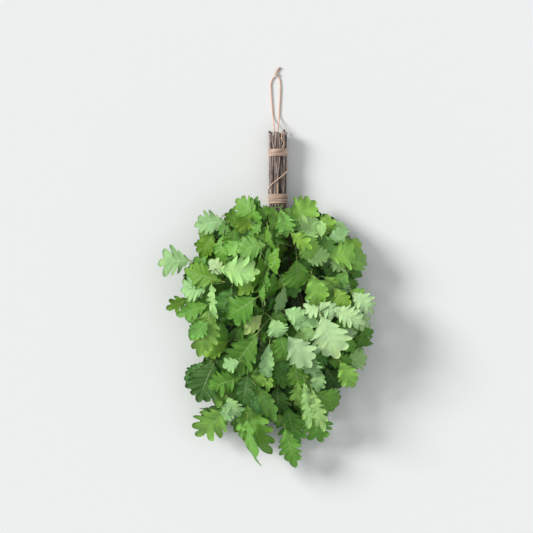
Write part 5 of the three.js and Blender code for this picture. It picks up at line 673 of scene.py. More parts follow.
   ((41, -189.4, 12.8), (41.2, -191.1, 12.9), 1.35, 1.25),
   ((41.1, -190.9, 12.9), (41.7, -199.9, 12.7), 1.25, 1.04),
   ((41.7, -199.9, 12.7), (52, -209.2, 21.1), 1.14, 0.98),
   ((52, -209.2, 21.1), (55.3, -202.6, 38.4), 1.08, 0.92),
   ((41.7, -199.9, 12.7), (26.3, -219.8, 13.1), 1.14, 0.98),
   ((52, -209.2, 21.1), (49.8, -231.4, 7.3), 1.08, 0.92),
   ((55.3, -202.6, 38.4), (19.1, -212, 54.8), 1.02, 0.86),
   ((19.1, -212, 54.8), (35.3, -243.9, 51.5), 0.96, 0.85),
   ((35.3, -243.9, 51.5), (7.8, -263.4, 64.6), 0.95, 0.85),
   ((7.8, -263.4, 64.6), (31.7, -282.1, 76.5), 0.95, 0.85),
   ((35.3, -243.9, 51.5), (80.6, -247.5, 56.3), 0.95, 0.85),
   ((7.8, -263.4, 64.6), (2.8, -269.9, 41.5), 0.85, 0.7),
   ((26.3, -219.8, 13.1), (8.8, -210.8, 22.2), 0.85, 0.7),
   ((26.3, -219.8, 13.1), (12.7, -225.4, 17), 0.85, 0.7),
   ((26.3, -219.8, 13.1), (31, -217.7, 17.6), 0.85, 0.7),
   ((55.3, -202.6, 38.4), (53.5, -185.4, 44.9), 0.85, 0.7),
   ((26.3, -219.8, 13.1), (5, -232.7, 23.2), 0.85, 0.7),
   ((19.1, -212, 54.8), (3.9, -213.9, 36.1), 0.85, 0.7),
   ((80.6, -247.5, 56.3), (70.7, -259.5, 55.6), 0.85, 0.7),
   ((26.3, -219.8, 13.1), (26.9, -235.8, 25.2), 0.85, 0.7),
   ((55.3, -202.6, 38.4), (60.8, -193.4, 32.2), 0.85, 0.7),
   ((49.8, -231.4, 7.3), (46.7, -239.1, 14.1), 0.85, 0.7),
   ((26.3, -219.8, 13.1), (3.2, -217.3, 21), 0.85, 0.7),
  ], [
   ((19.1, -212, 54.8), (0.068, -0.99, -0.125), (-0.076, -0.13, 0.989), 55.6, 48.3, 0.07, 0.12, 4, 0.24, "a", 122),
   ((35.3, -243.9, 51.5), (0.252, -0.924, -0.288), (-0.029, -0.305, 0.952), 90.3, 57.1, 0.07, 0.12, 4, 0.39, "b", 123),
   ((31.7, -282.1, 76.5), (0.231, -0.924, -0.306), (-0.084, -0.332, 0.939), 89.9, 41.8, 0.07, 0.12, 4, 0.28, "c", 124),
   ((7.8, -263.4, 64.6), (0.704, -0.653, -0.279), (0.221, -0.173, 0.96), 37.6, 24, 0.07, 0.12, 3, 0.3, "b", 125),
   ((80.6, -247.5, 56.3), (0.252, -0.959, -0.126), (-0.168, -0.172, 0.971), 75, 64.6, 0.07, 0.12, 4, 0.34, "b", 130),
   ((41.7, -199.9, 12.7), (-0.568, -0.823, 0.026), (0.14, -0.065, 0.988), 47.5, 32.5, 0.07, 0.12, 5, 0.27, "p", 2222),
   ((55.3, -202.6, 38.4), (0.585, -0.807, -0.08), (-0.307, -0.311, 0.9), 56.2, 35.6, -0.03, 0.12, 5, 0.31, "g", 2225),
   ((26.3, -219.8, 13.1), (-0.062, -0.995, -0.074), (-0.043, -0.072, 0.996), 58.6, 32.8, -0.05, 0.12, 4, 0.28, "p", 2226),
   ((49.8, -231.4, 7.3), (0.411, -0.912, 0.002), (-0.414, -0.184, 0.892), 80.4, 46.8, 0.06, 0.12, 4, 0.31, "d", 2227),
   ((52, -209.2, 21.1), (0.164, -0.983, -0.081), (-0.355, -0.135, 0.925), 58.2, 38.6, 0.06, 0.12, 5, 0.28, "b", 2229),
   ((2.8, -269.9, 41.5), (-0.441, -0.821, -0.362), (-0.191, -0.309, 0.932), 48.9, 26.6, 0.05, 0.1, 4, 0.27, "a", 1024),
   ((8.8, -210.8, 22.2), (0.007, -0.961, -0.278), (-0.314, -0.266, 0.911), 59, 35.9, 0.07, 0.1, 4, 0.26, "b", 1038),
   ((12.7, -225.4, 17), (0.731, -0.682, -0.027), (0.269, 0.253, 0.929), 60.3, 32.8, 0.08, 0.1, 4, 0.26, "a", 1045),
   ((31, -217.7, 17.6), (0.788, -0.614, 0.046), (-0.075, -0.021, 0.997), 60.1, 32.5, -0.01, 0.1, 4, 0.33, "a", 1060),
   ((53.5, -185.4, 44.9), (-0.195, -0.976, -0.098), (-0.16, -0.067, 0.985), 60.8, 37.2, -0.03, 0.1, 4, 0.27, "a", 1063),
   ((5, -232.7, 23.2), (-0.369, -0.928, 0.042), (0.35, -0.097, 0.932), 69.2, 38.2, 0.07, 0.1, 4, 0.26, "b", 1074),
   ((3.9, -213.9, 36.1), (-0.195, -0.968, -0.157), (0.063, -0.172, 0.983), 64, 39.6, 0.08, 0.1, 4, 0.34, "b", 1122),
   ((70.7, -259.5, 55.6), (0.859, -0.481, -0.178), (0.135, -0.122, 0.983), 47.2, 25.5, -0.03, 0.1, 4, 0.24, "a", 1140),
   ((26.9, -235.8, 25.2), (0.187, -0.982, -0.009), (0.16, 0.021, 0.987), 59.5, 32.6, 0.06, 0.1, 4, 0.32, "a", 1162),
   ((60.8, -193.4, 32.2), (-0.674, -0.704, -0.224), (-0.286, -0.031, 0.958), 48, 28, 0.04, 0.1, 4, 0.3, "a", 1189),
   ((46.7, -239.1, 14.1), (-0.548, -0.833, 0.08), (0.163, -0.013, 0.987), 58.8, 30.7, 0.03, 0.1, 4, 0.33, "a", 1195),
   ((3.2, -217.3, 21), (-0.767, -0.593, -0.245), (-0.16, -0.194, 0.968), 57.3, 34.8, 0.04, 0.1, 4, 0.28, "a", 1200),
  ]),
 ("leaf_spray_15", [
   ((31.5, -90.1, 38.3), (31.6, -91.8, 38.6), 1.35, 1.25),
   ((31.6, -91.6, 38.5), (32.1, -100.5, 39.4), 1.25, 1.04),
   ((32.1, -100.5, 39.4), (20.7, -119.2, 27.2), 1.14, 0.98),
   ((20.7, -119.2, 27.2), (22.9, -147.5, 41.2), 1.08, 0.92),
   ((22.9, -147.5, 41.2), (42.9, -161.4, 36), 1.02, 0.86),
   ((42.9, -161.4, 36), (48.7, -172.8, 18), 0.96, 0.85),
   ((42.9, -161.4, 36), (46, -153.5, 64.3), 0.96, 0.85),
   ((46, -153.5, 64.3), (57.5, -143.6, 64), 0.95, 0.85),
   ((46, -153.5, 64.3), (35, -176.6, 67.8), 0.95, 0.85),
   ((22.9, -147.5, 41.2), (15.8, -177.9, 41.8), 1.02, 0.86),
   ((15.8, -177.9, 41.8), (1.9, -182.6, 39.5), 0.96, 0.85),
   ((1.9, -182.6, 39.5), (4.8, -169.3, 26.6), 0.95, 0.85),
   ((4.8, -169.3, 26.6), (0.3, -165.7, 23.1), 0.95, 0.85),
   ((0.3, -165.7, 23.1), (-3.1, -150.8, 16.5), 0.95, 0.85),
   ((-3.1, -150.8, 16.5), (7.5, -156.4, 10.2), 0.95, 0.85),
   ((7.5, -156.4, 10.2), (16.6, -144.8, 2.4), 0.95, 0.85),
   ((32.1, -100.5, 39.4), (47.3, -93.6, 60), 0.85, 0.7),
   ((46, -153.5, 64.3), (30.9, -137.2, 62.7), 0.85, 0.7),
   ((42.9, -161.4, 36), (52.1, -148.8, 46), 0.85, 0.7),
   ((32.1, -100.5, 39.4), (38.4, -97.9, 27.1), 0.85, 0.7),
   ((42.9, -161.4, 36), (43.6, -136.3, 21.9), 0.85, 0.7),
   ((46, -153.5, 64.3), (68, -177.9, 67.1), 0.85, 0.7),
   ((32.1, -100.5, 39.4), (46.2, -103.1, 38), 0.85, 0.7),
   ((20.7, -119.2, 27.2), (23.3, -122.2, 51.1), 0.85, 0.7),
   ((20.7, -119.2, 27.2), (7.2, -128.7, 22), 0.85, 0.7),
   ((0.3, -165.7, 23.1), (-13.6, -167.6, 36.6), 0.85, 0.7),
   ((46, -153.5, 64.3), (43.1, -164.8, 67.7), 0.85, 0.7),
   ((57.5, -143.6, 64), (52.9, -137.6, 47), 0.85, 0.7),
   ((57.5, -143.6, 64), (44.8, -137.1, 59.9), 0.85, 0.7),
   ((32.1, -100.5, 39.4), (47.8, -84.1, 35.2), 0.85, 0.7),
   ((42.9, -161.4, 36), (53.6, -161.8, 50.3), 0.85, 0.7),
   ((57.5, -143.6, 64), (55.3, -151.3, 78.6), 0.85, 0.7),
  ], [
   ((35, -176.6, 67.8), (0.21, -0.966, -0.148), (0.034, -0.144, 0.989), 44.9, 28.2, 0.07, 0.12, 4, 0.2, "b", 118),
   ((46, -153.5, 64.3), (-0.22, -0.952, -0.213), (-0.052, -0.206, 0.977), 51.6, 30.5, 0.07, 0.12, 4, 0.2, "b", 139),
   ((20.7, -119.2, 27.2), (0.956, 0.294, 0.009), (-0.112, 0.336, 0.935), 79, 49.2, 0.01, 0.12, 5, 0.32, "b", 2168),
   ((16.6, -144.8, 2.4), (-0.86, -0.502, 0.094), (-0.074, 0.305, 0.95), 80.5, 46.6, 0.05, 0.12, 4, 0.27, "c", 2218),
   ((-3.1, -150.8, 16.5), (-0.245, -0.969, -0.009), (0.094, -0.033, 0.995), 62.4, 33.5, 0.01, 0.12, 5, 0.23, "d", 2219),
   ((4.8, -169.3, 26.6), (0.103, -0.994, -0.022), (-0.377, -0.059, 0.924), 54, 38, 0.05, 0.12, 4, 0.31, "g", 2220),
   ((48.7, -172.8, 18), (-0.22, -0.975, -0.028), (0.147, -0.062, 0.987), 67.7, 40.6, 0, 0.12, 4, 0.28, "p", 2221),
   ((0.3, -165.7, 23.1), (-0.041, -0.994, -0.1), (-0.11, -0.095, 0.989), 56.4, 36.3, -0.01, 0.12, 4, 0.24, "d", 2223),
   ((7.5, -156.4, 10.2), (0.399, -0.917, -0.033), (0.134, 0.022, 0.991), 47.5, 32.1, 0.01, 0.12, 5, 0.3, "h", 2224),
   ((22.9, -147.5, 41.2), (-0.204, -0.977, 0.065), (0.075, 0.05, 0.996), 69.3, 38.2, 0.07, 0.12, 4, 0.28, "p", 2247),
   ((42.9, -161.4, 36), (-0.311, -0.95, -0.002), (-0.092, 0.027, 0.995), 59.1, 31.4, 0.07, 0.12, 4, 0.28, "q", 2254),
   ((15.8, -177.9, 41.8), (0.259, -0.96, -0.102), (0.055, -0.091, 0.994), 64.9, 37, 0.07, 0.12, 4, 0.28, "p", 2264),
   ((1.9, -182.6, 39.5), (0.05, -0.96, -0.275), (0.041, -0.273, 0.961), 63.5, 36.6, 0.07, 0.12, 4, 0.28, "p", 2265),
   ((57.5, -143.6, 64), (0.609, -0.784, -0.122), (0.058, -0.11, 0.992), 70.2, 40.1, 0.07, 0.12, 4, 0.28, "p", 2271),
   ((32.1, -100.5, 39.4), (0.445, -0.865, -0.231), (-0.257, -0.371, 0.893), 66.2, 40.6, 0.07, 0.12, 4, 0.28, "q", 2277),
   ((47.3, -93.6, 60), (-0.114, -0.976, -0.186), (-0.093, -0.175, 0.98), 67.9, 40.7, 0.02, 0.1, 4, 0.24, "b", 1002),
   ((30.9, -137.2, 62.7), (0.329, -0.942, -0.07), (-0.116, -0.113, 0.987), 55.6, 34.2, 0, 0.1, 4, 0.33, "a", 1004),
   ((52.1, -148.8, 46), (0.081, -0.99, 0.118), (-0.151, 0.105, 0.983), 64.6, 39.2, 0.03, 0.1, 4, 0.27, "o", 1017),
   ((38.4, -97.9, 27.1), (-0.201, -0.978, -0.059), (0.103, -0.081, 0.991), 67.1, 38.1, 0.02, 0.1, 4, 0.27, "o", 1020),
   ((43.6, -136.3, 21.9), (-0.398, -0.916, -0.056), (-0.097, -0.019, 0.995), 66.9, 35.2, 0.08, 0.1, 4, 0.31, "b", 1046),
   ((68, -177.9, 67.1), (-0.15, -0.954, -0.259), (-0.004, -0.262, 0.965), 61.1, 38, -0.01, 0.1, 4, 0.29, "a", 1077),
   ((46.2, -103.1, 38), (0.261, -0.964, 0.056), (0.214, 0.114, 0.97), 47, 26.7, 0.05, 0.1, 4, 0.29, "b", 1086),
   ((23.3, -122.2, 51.1), (-0.238, -0.971, -0.036), (-0.12, -0.007, 0.993), 63.3, 39.7, 0.07, 0.1, 4, 0.31, "b", 1089),
   ((7.2, -128.7, 22), (0.144, -0.966, -0.217), (-0.074, -0.229, 0.971), 47.7, 29.9, 0.04, 0.1, 4, 0.33, "o", 1145),
   ((-13.6, -167.6, 36.6), (-0.59, -0.803, 0.083), (0.348, -0.161, 0.924), 59.8, 31.6, 0.07, 0.1, 4, 0.31, "b", 1149),
   ((43.1, -164.8, 67.7), (0.785, -0.6, -0.151), (0.356, 0.238, 0.904), 46.1, 27.3, 0.01, 0.1, 4, 0.3, "c", 1151),
   ((52.9, -137.6, 47), (0.141, -0.917, -0.373), (0.135, -0.355, 0.925), 52.3, 28.5, 0.03, 0.1, 4, 0.26, "c", 1178),
   ((44.8, -137.1, 59.9), (0.9, -0.408, 0.153), (-0.15, 0.04, 0.988), 48.8, 28.1, 0.05, 0.1, 4, 0.24, "c", 1198),
   ((47.8, -84.1, 35.2), (0.361, -0.928, -0.09), (-0.028, -0.108, 0.994), 66.4, 40.1, 0.02, 0.1, 4, 0.32, "a", 1205),
   ((53.6, -161.8, 50.3), (-0.022, -0.937, -0.347), (0.008, -0.348, 0.938), 46.8, 25.9, 0.07, 0.1, 4, 0.31, "a", 1208),
   ((55.3, -151.3, 78.6), (-0.702, -0.623, -0.346), (-0.259, -0.229, 0.938), 58.9, 38.1, 0.04, 0.1, 5, 0.37, "d", 525),
  ]),
 ("leaf_spray_16", [
   ((-77.4, -6.5, 26.3), (-78.7, -7.7, 26.4), 1.35, 1.25),
   ((-78.5, -7.6, 26.4), (-84.3, -14.5, 26.8), 1.25, 1.04),
   ((-84.3, -14.5, 26.8), (-89.7, -34.1, 28.2), 1.14, 0.98),
   ((-89.7, -34.1, 28.2), (-100, -35.4, 11.7), 1.08, 0.92),
   ((-89.7, -34.1, 28.2), (-88.5, -56.4, 26.8), 1.08, 0.92),
   ((-88.5, -56.4, 26.8), (-91.2, -71.2, 30), 1.02, 0.86),
   ((-91.2, -71.2, 30), (-88.3, -72.9, 32.4), 0.96, 0.85),
   ((-88.5, -56.4, 26.8), (-112.4, -62.7, 14.2), 1.02, 0.86),
   ((-89.7, -34.1, 28.2), (-96.1, -35.7, 57.3), 1.08, 0.92),
   ((-96.1, -35.7, 57.3), (-106.4, -58.6, 72.3), 1.02, 0.86),
   ((-112.4, -62.7, 14.2), (-100, -89.1, 7.5), 0.96, 0.85),
   ((-100, -35.4, 11.7), (-126.6, -37.6, 28), 1.02, 0.86),
   ((-126.6, -37.6, 28), (-138.2, -55, 47.2), 0.96, 0.85),
   ((-126.6, -37.6, 28), (-130.5, 10.9, 56.1), 0.96, 0.85),
   ((-130.5, 10.9, 56.1), (-139.1, 7.1, 22.6), 0.85, 0.7),
   ((-96.1, -35.7, 57.3), (-75.2, -43.9, 53.9), 0.85, 0.7),
   ((-130.5, 10.9, 56.1), (-108.1, 21.1, 52.8), 0.85, 0.7),
   ((-91.2, -71.2, 30), (-100, -78, 28.9), 0.85, 0.7),
   ((-126.6, -37.6, 28), (-112.4, -14.1, 39.2), 0.85, 0.7),
   ((-126.6, -37.6, 28), (-117.8, -29.2, 36.3), 0.85, 0.7),
   ((-130.5, 10.9, 56.1), (-111, -6.1, 45.7), 0.85, 0.7),
   ((-96.1, -35.7, 57.3), (-91.7, -35.4, 47), 0.85, 0.7),
  ], [
   ((-130.5, 10.9, 56.1), (-0.995, -0.057, -0.084), (-0.097, 0.296, 0.95), 66.6, 61.4, 0.07, 0.12, 3, 0.39, "i", 81),
   ((-138.2, -55, 47.2), (-0.885, -0.462, -0.055), (-0.019, -0.083, 0.996), 49.3, 32.9, 0.07, 0.12, 3, 0.39, "o", 87),
   ((-106.4, -58.6, 72.3), (-0.938, -0.235, -0.255), (-0.304, 0.205, 0.93), 40.2, 22.5, 0.07, 0.12, 4, 0.2, "a", 91),
   ((-89.7, -34.1, 28.2), (-0.609, 0.787, -0.101), (0.069, 0.179, 0.981), 47.5, 28, 0.04, 0.12, 4, 0.25, "c", 2195),
   ((-126.6, -37.6, 28), (0.697, -0.712, -0.081), (0.005, -0.108, 0.994), 80.3, 43, 0.05, 0.12, 4, 0.24, "b", 2197),
   ((-91.2, -71.2, 30), (-0.379, -0.901, -0.21), (-0.396, -0.047, 0.917), 81.8, 49.6, 0.07, 0.12, 4, 0.26, "p", 2198),
   ((-100, -89.1, 7.5), (-0.74, -0.667, -0.094), (-0.092, -0.038, 0.995), 58.6, 30.2, 0.07, 0.12, 5, 0.26, "h", 2199),
   ((-88.5, -56.4, 26.8), (-0.875, -0.447, -0.185), (-0.122, -0.166, 0.979), 73.5, 38.5, 0.01, 0.12, 5, 0.32, "g", 2200),
   ((-112.4, -62.7, 14.2), (-0.793, -0.588, -0.163), (-0.266, 0.093, 0.96), 48.1, 30.5, 0.08, 0.12, 5, 0.22, "d", 2201),
   ((-100, -35.4, 11.7), (-0.093, -0.996, 0), (-0.23, 0.022, 0.973), 80.3, 49.4, 0.06, 0.12, 4, 0.29, "g", 2202),
   ((-84.3, -14.5, 26.8), (0.882, -0.453, -0.126), (-0.041, -0.341, 0.939), 63.8, 43, 0.06, 0.12, 4, 0.31, "g", 2234),
   ((-96.1, -35.7, 57.3), (-0.494, -0.838, -0.23), (0.183, -0.359, 0.915), 73, 45.8, 0.07, 0.12, 4, 0.28, "p", 2249),
   ((-88.3, -72.9, 32.4), (-0.484, -0.875, 0.009), (0.065, -0.026, 0.998), 67.6, 34.9, 0.07, 0.12, 4, 0.28, "p", 2278),
   ((-139.1, 7.1, 22.6), (0.071, -0.981, 0.183), (0.062, 0.187, 0.98), 54, 32.5, 0.02, 0.1, 4, 0.31, "c", 1041),
   ((-75.2, -43.9, 53.9), (-0.264, -0.957, -0.117), (0.015, -0.126, 0.992), 53.3, 29.5, 0.01, 0.1, 4, 0.3, "a", 1061),
   ((-108.1, 21.1, 52.8), (-0.511, -0.843, -0.167), (-0.049, -0.166, 0.985), 67.1, 36.1, -0.03, 0.1, 4, 0.27, "a", 1076),
   ((-100, -78, 28.9), (-0.892, -0.428, -0.148), (-0.202, 0.085, 0.976), 51, 31.6, 0.06, 0.1, 4, 0.25, "b", 1137),
   ((-112.4, -14.1, 39.2), (0.052, -0.992, -0.112), (0.139, -0.104, 0.985), 47.5, 24.9, 0.02, 0.1, 4, 0.28, "o", 1139),
   ((-117.8, -29.2, 36.3), (-0.434, -0.879, -0.2), (-0.198, -0.123, 0.972), 55.5, 31.1, 0.01, 0.1, 4, 0.32, "c", 1180),
   ((-111, -6.1, 45.7), (-0.517, -0.837, -0.18), (-0.263, -0.044, 0.964), 56.2, 36.7, -0.02, 0.1, 4, 0.25, "b", 1194),
   ((-91.7, -35.4, 47), (-0.16, -0.987, -0.025), (0.054, -0.034, 0.998), 60, 34.4, 0.01, 0.1, 4, 0.31, "b", 1196),
  ]),
 ("leaf_spray_17", [
   ((-39.5, -191.4, 16.4), (-39.8, -193, 16.5), 1.35, 1.25),
   ((-39.8, -192.8, 16.5), (-41.6, -201.6, 16.4), 1.25, 1.04),
   ((-41.6, -201.6, 16.4), (-53.3, -201.7, 19.5), 1.14, 0.98),
   ((-41.6, -201.6, 16.4), (-33.8, -224.3, 19.3), 1.14, 0.98),
   ((-33.8, -224.3, 19.3), (-40.3, -230.2, 20.2), 1.08, 0.92),
   ((-40.3, -230.2, 20.2), (-51.7, -225, 9.4), 1.02, 0.86),
   ((-41.6, -201.6, 16.4), (-18.5, -207.4, 3.7), 1.14, 0.98),
   ((-40.3, -230.2, 20.2), (-36.2, -234.3, 57.3), 1.02, 0.86),
   ((-36.2, -234.3, 57.3), (-41.6, -237.9, 57.6), 0.96, 0.85),
   ((-41.6, -237.9, 57.6), (-63.9, -246.5, 65), 0.95, 0.85),
   ((-63.9, -246.5, 65), (-60, -237.7, 75.5), 0.95, 0.85),
   ((-41.6, -237.9, 57.6), (-40.7, -263.3, 40), 0.95, 0.85),
   ((-41.6, -237.9, 57.6), (-33.9, -259.9, 81), 0.95, 0.85),
   ((-40.3, -230.2, 20.2), (-10.1, -263.6, 2.4), 1.02, 0.86),
   ((-10.1, -263.6, 2.4), (-5.4, -273, 4.3), 0.96, 0.85),
   ((-41.6, -201.6, 16.4), (-28.8, -177.1, 16.7), 0.85, 0.7),
   ((-18.5, -207.4, 3.7), (-22.3, -195.6, 19.8), 0.85, 0.7),
   ((-18.5, -207.4, 3.7), (-23.9, -185.1, 8.4), 0.85, 0.7),
   ((-5.4, -273, 4.3), (-13.3, -281, 23.2), 0.85, 0.7),
   ((-33.8, -224.3, 19.3), (-18, -221, 40), 0.85, 0.7),
   ((-53.3, -201.7, 19.5), (-69.1, -207, 24.5), 0.85, 0.7),
   ((-40.7, -263.3, 40), (-58, -258.4, 16), 0.85, 0.7),
   ((-63.9, -246.5, 65), (-120.9, -258.3, 19.3), 0.85, 0.7),
   ((-41.6, -201.6, 16.4), (-43.9, -190.9, 21.5), 0.85, 0.7),
   ((-51.7, -225, 9.4), (-82.4, -253.3, 20.4), 0.85, 0.7),
  ], [
   ((-63.9, -246.5, 65), (-0.687, -0.687, -0.239), (0, -0.329, 0.944), 93.6, 71.5, 0.07, 0.12, 4, 0.39, "d", 105),
   ((-60, -237.7, 75.5), (-0.411, -0.858, -0.308), (-0.296, -0.194, 0.935), 50.6, 34.8, 0.07, 0.12, 4, 0.3, "i", 107),
   ((-36.2, -234.3, 57.3), (0.36, -0.933, 0.008), (-0.173, -0.058, 0.983), 115.3, 66.3, 0.07, 0.12, 4, 0.34, "c", 108),
   ((-33.9, -259.9, 81), (0.146, -0.987, -0.071), (-0.856, -0.162, 0.492), 102.9, 39.2, 0.07, 0.12, 4, 0.1, "c", 109),
   ((-41.6, -237.9, 57.6), (0.062, -0.978, -0.2), (-0.26, -0.21, 0.943), 90.9, 31.6, 0.07, 0.12, 5, 0.2, "d", 110),
   ((-40.7, -263.3, 40), (-0.409, -0.908, -0.089), (-0.045, -0.077, 0.996), 41.9, 28.5, 0.07, 0.12, 4, 0.28, "b", 111),
   ((-53.3, -201.7, 19.5), (-0.991, -0.044, -0.124), (-0.118, -0.119, 0.986), 80.9, 54.4, 0.06, 0.12, 4, 0.26, "h", 2208),
   ((-51.7, -225, 9.4), (0.237, -0.969, 0.075), (-0.237, 0.018, 0.971), 51.4, 27.9, 0.05, 0.12, 5, 0.33, "i", 2212),
   ((-40.3, -230.2, 20.2), (-0.869, -0.488, 0.084), (-0.041, 0.24, 0.97), 51.2, 26.4, 0.03, 0.12, 4, 0.28, "d", 2213),
   ((-33.8, -224.3, 19.3), (0.09, -0.996, 0.007), (0.057, 0.012, 0.998), 80.3, 49, -0.02, 0.12, 5, 0.28, "i", 2214),
   ((-5.4, -273, 4.3), (-0.866, -0.478, 0.145), (-0.128, 0.493, 0.86), 48, 36, -0.01, 0.12, 4, 0.23, "h", 2215),
   ((-18.5, -207.4, 3.7), (0.799, -0.6, 0.036), (-0.102, -0.077, 0.992), 80.4, 52, 0.06, 0.12, 5, 0.25, "p", 2216),
   ((-41.6, -201.6, 16.4), (0.401, -0.894, 0.201), (0.205, 0.302, 0.931), 65.8, 45.9, 0.03, 0.12, 5, 0.31, "h", 2217),
   ((-10.1, -263.6, 2.4), (0.935, -0.34, 0.104), (-0.014, 0.258, 0.966), 47.7, 28.3, 0.06, 0.12, 5, 0.32, "d", 2228),
   ((-28.8, -177.1, 16.7), (-0.664, -0.741, -0.1), (-0.11, -0.036, 0.993), 66.1, 36.6, 0.05, 0.1, 4, 0.32, "b", 1011),
   ((-22.3, -195.6, 19.8), (-0.848, -0.494, -0.193), (-0.102, -0.204, 0.974), 53, 33, -0.01, 0.1, 4, 0.28, "a", 1027),
   ((-23.9, -185.1, 8.4), (-0.037, -0.99, 0.137), (-0.145, 0.141, 0.979), 53.2, 28, -0.01, 0.1, 4, 0.33, "b", 1050),
   ((-13.3, -281, 23.2), (-0.434, -0.851, -0.296), (-0.211, -0.224, 0.952), 49.2, 30.1, 0.03, 0.1, 4, 0.28, "a", 1067),
   ((-18, -221, 40), (-0.554, -0.626, -0.548), (-0.607, -0.147, 0.781), 49.2, 30.5, 0.04, 0.1, 4, 0.26, "b", 1095),
   ((-69.1, -207, 24.5), (0.653, -0.747, -0.123), (0.42, 0.223, 0.88), 55.9, 32, 0.07, 0.1, 4, 0.33, "a", 1152),
   ((-58, -258.4, 16), (-0.925, -0.36, -0.123), (-0.171, 0.105, 0.98), 68.9, 36.8, 0.03, 0.1, 4, 0.31, "b", 1159),
   ((-120.9, -258.3, 19.3), (0.959, -0.264, 0.105), (-0.041, 0.238, 0.97), 52.8, 32.7, 0.03, 0.1, 4, 0.33, "a", 1190),
   ((-43.9, -190.9, 21.5), (0.026, -0.995, -0.098), (-0.161, -0.101, 0.982), 64.1, 34.9, 0, 0.1, 4, 0.27, "b", 1202),
   ((-82.4, -253.3, 20.4), (-0.609, -0.789, 0.081), (0.078, 0.042, 0.996), 61.5, 35.3, 0.01, 0.1, 4, 0.25, "a", 1209),
  ]),
 ("leaf_spray_18", [
   ((-36.7, 86.4, 17.1), (-38.3, 86.2, 17.3), 1.35, 1.25),
   ((-38.1, 86.2, 17.2), (-46.4, 82.6, 16.9), 1.25, 1.04),
   ((-46.4, 82.6, 16.9), (-71.6, 77.1, 22.9), 1.14, 0.98),
   ((-71.6, 77.1, 22.9), (-74.3, 47.8, 10.8), 1.08, 0.92),
   ((-71.6, 77.1, 22.9), (-92.8, 65.9, 44.1), 1.08, 0.92),
   ((-92.8, 65.9, 44.1), (-96.4, 55.1, 44.1), 1.02, 0.86),
   ((-92.8, 65.9, 44.1), (-109.6, 67.4, 21.5), 1.02, 0.86),
   ((-74.3, 47.8, 10.8), (-51.8, 38.2, 33.1), 1.02, 0.86),
   ((-51.8, 38.2, 33.1), (-51.1, 51.8, 38.6), 0.96, 0.85),
   ((-51.8, 38.2, 33.1), (-30.9, 27, 32.1), 0.96, 0.85),
   ((-30.9, 27, 32.1), (-21.6, 28.2, 23.5), 0.95, 0.85),
   ((-51.8, 38.2, 33.1), (-77.3, 13.9, 33.9), 0.96, 0.85),
   ((-77.3, 13.9, 33.9), (-70, 1.2, 43), 0.95, 0.85),
   ((-77.3, 13.9, 33.9), (-81.5, -1.3, 22.2), 0.95, 0.85),
   ((-81.5, -1.3, 22.2), (-60.2, 1, 15.4), 0.95, 0.85),
   ((-70, 1.2, 43), (-47.7, 8.3, 58), 0.95, 0.85),
   ((-46.4, 82.6, 16.9), (-1.6, 84.2, 13.2), 1.14, 0.98),
   ((-1.6, 84.2, 13.2), (0, 87.2, 8.3), 1.08, 0.92),
   ((0, 87.2, 8.3), (9.5, 92.7, 2.7), 1.02, 0.86),
   ((0, 87.2, 8.3), (-3.3, 105.7, 12.7), 1.02, 0.86),
   ((-1.6, 84.2, 13.2), (-0.2, 80, 10.7), 1.08, 0.92),
   ((-46.4, 82.6, 16.9), (-12, 69.8, 26.8), 1.14, 0.98),
   ((9.5, 92.7, 2.7), (33.2, 100.9, 19.7), 0.85, 0.7),
   ((-30.9, 27, 32.1), (-40, 22.7, 46), 0.85, 0.7),
   ((-12, 69.8, 26.8), (-14.8, 67.4, 31.5), 0.85, 0.7),
   ((-96.4, 55.1, 44.1), (-74, 52.7, 48.8), 0.85, 0.7),
   ((-12, 69.8, 26.8), (-29, 54.8, 29.3), 0.85, 0.7),
   ((-30.9, 27, 32.1), (-22.4, 33, 37.4), 0.85, 0.7),
   ((-60.2, 1, 15.4), (-47.1, 14.8, 23.1), 0.85, 0.7),
   ((-21.6, 28.2, 23.5), (-14.1, 8.9, 22.6), 0.85, 0.7),
   ((-51.1, 51.8, 38.6), (-53.3, 56.8, 18.8), 0.85, 0.7),
   ((-71.6, 77.1, 22.9), (-81.1, 64.1, 19.4), 0.85, 0.7),
   ((-51.1, 51.8, 38.6), (-52.9, 50.1, 41.6), 0.85, 0.7),
   ((-71.6, 77.1, 22.9), (-76.2, 81.6, 25.1), 0.85, 0.7),
   ((-96.4, 55.1, 44.1), (-97.9, 44.5, 33.8), 0.85, 0.7),
   ((-71.6, 77.1, 22.9), (-79.7, 94.2, 6.1), 0.85, 0.7),
   ((-77.3, 13.9, 33.9), (-71.2, 13.8, 37.7), 0.85, 0.7),
   ((-30.9, 27, 32.1), (-30.5, 2.8, 25.3), 0.85, 0.7),
   ((-46.4, 82.6, 16.9), (-39, 69, 28.7), 0.85, 0.7),
   ((-96.4, 55.1, 44.1), (-95.5, 43.8, 34.9), 0.85, 0.7),
   ((-74.3, 47.8, 10.8), (-66.4, 52.3, 15), 0.85, 0.7),
   ((-46.4, 82.6, 16.9), (-36.8, 92.4, 28.8), 0.85, 0.7),
   ((-12, 69.8, 26.8), (-8.6, 48, 17.3), 0.85, 0.7),
   ((-1.6, 84.2, 13.2), (-3.3, 78.8, 17.7), 0.85, 0.7),
   ((-46.4, 82.6, 16.9), (-46.6, 83.9, 7.5), 0.85, 0.7),
   ((-3.3, 105.7, 12.7), (0.4, 108, 29.5), 0.85, 0.7),
   ((-51.8, 38.2, 33.1), (-61.1, 36.4, 26.9), 0.85, 0.7),
  ], [
   ((-92.8, 65.9, 44.1), (-0.496, -0.868, -0.019), (-0.185, 0.085, 0.979), 58.4, 40.6, 0.07, 0.12, 5, 0.2, "o", 71),
   ((-96.4, 55.1, 44.1), (-0.854, 0.201, -0.48), (-0.471, 0.093, 0.877), 36, 23.5, 0.07, 0.12, 4, 0.2, "b", 72),
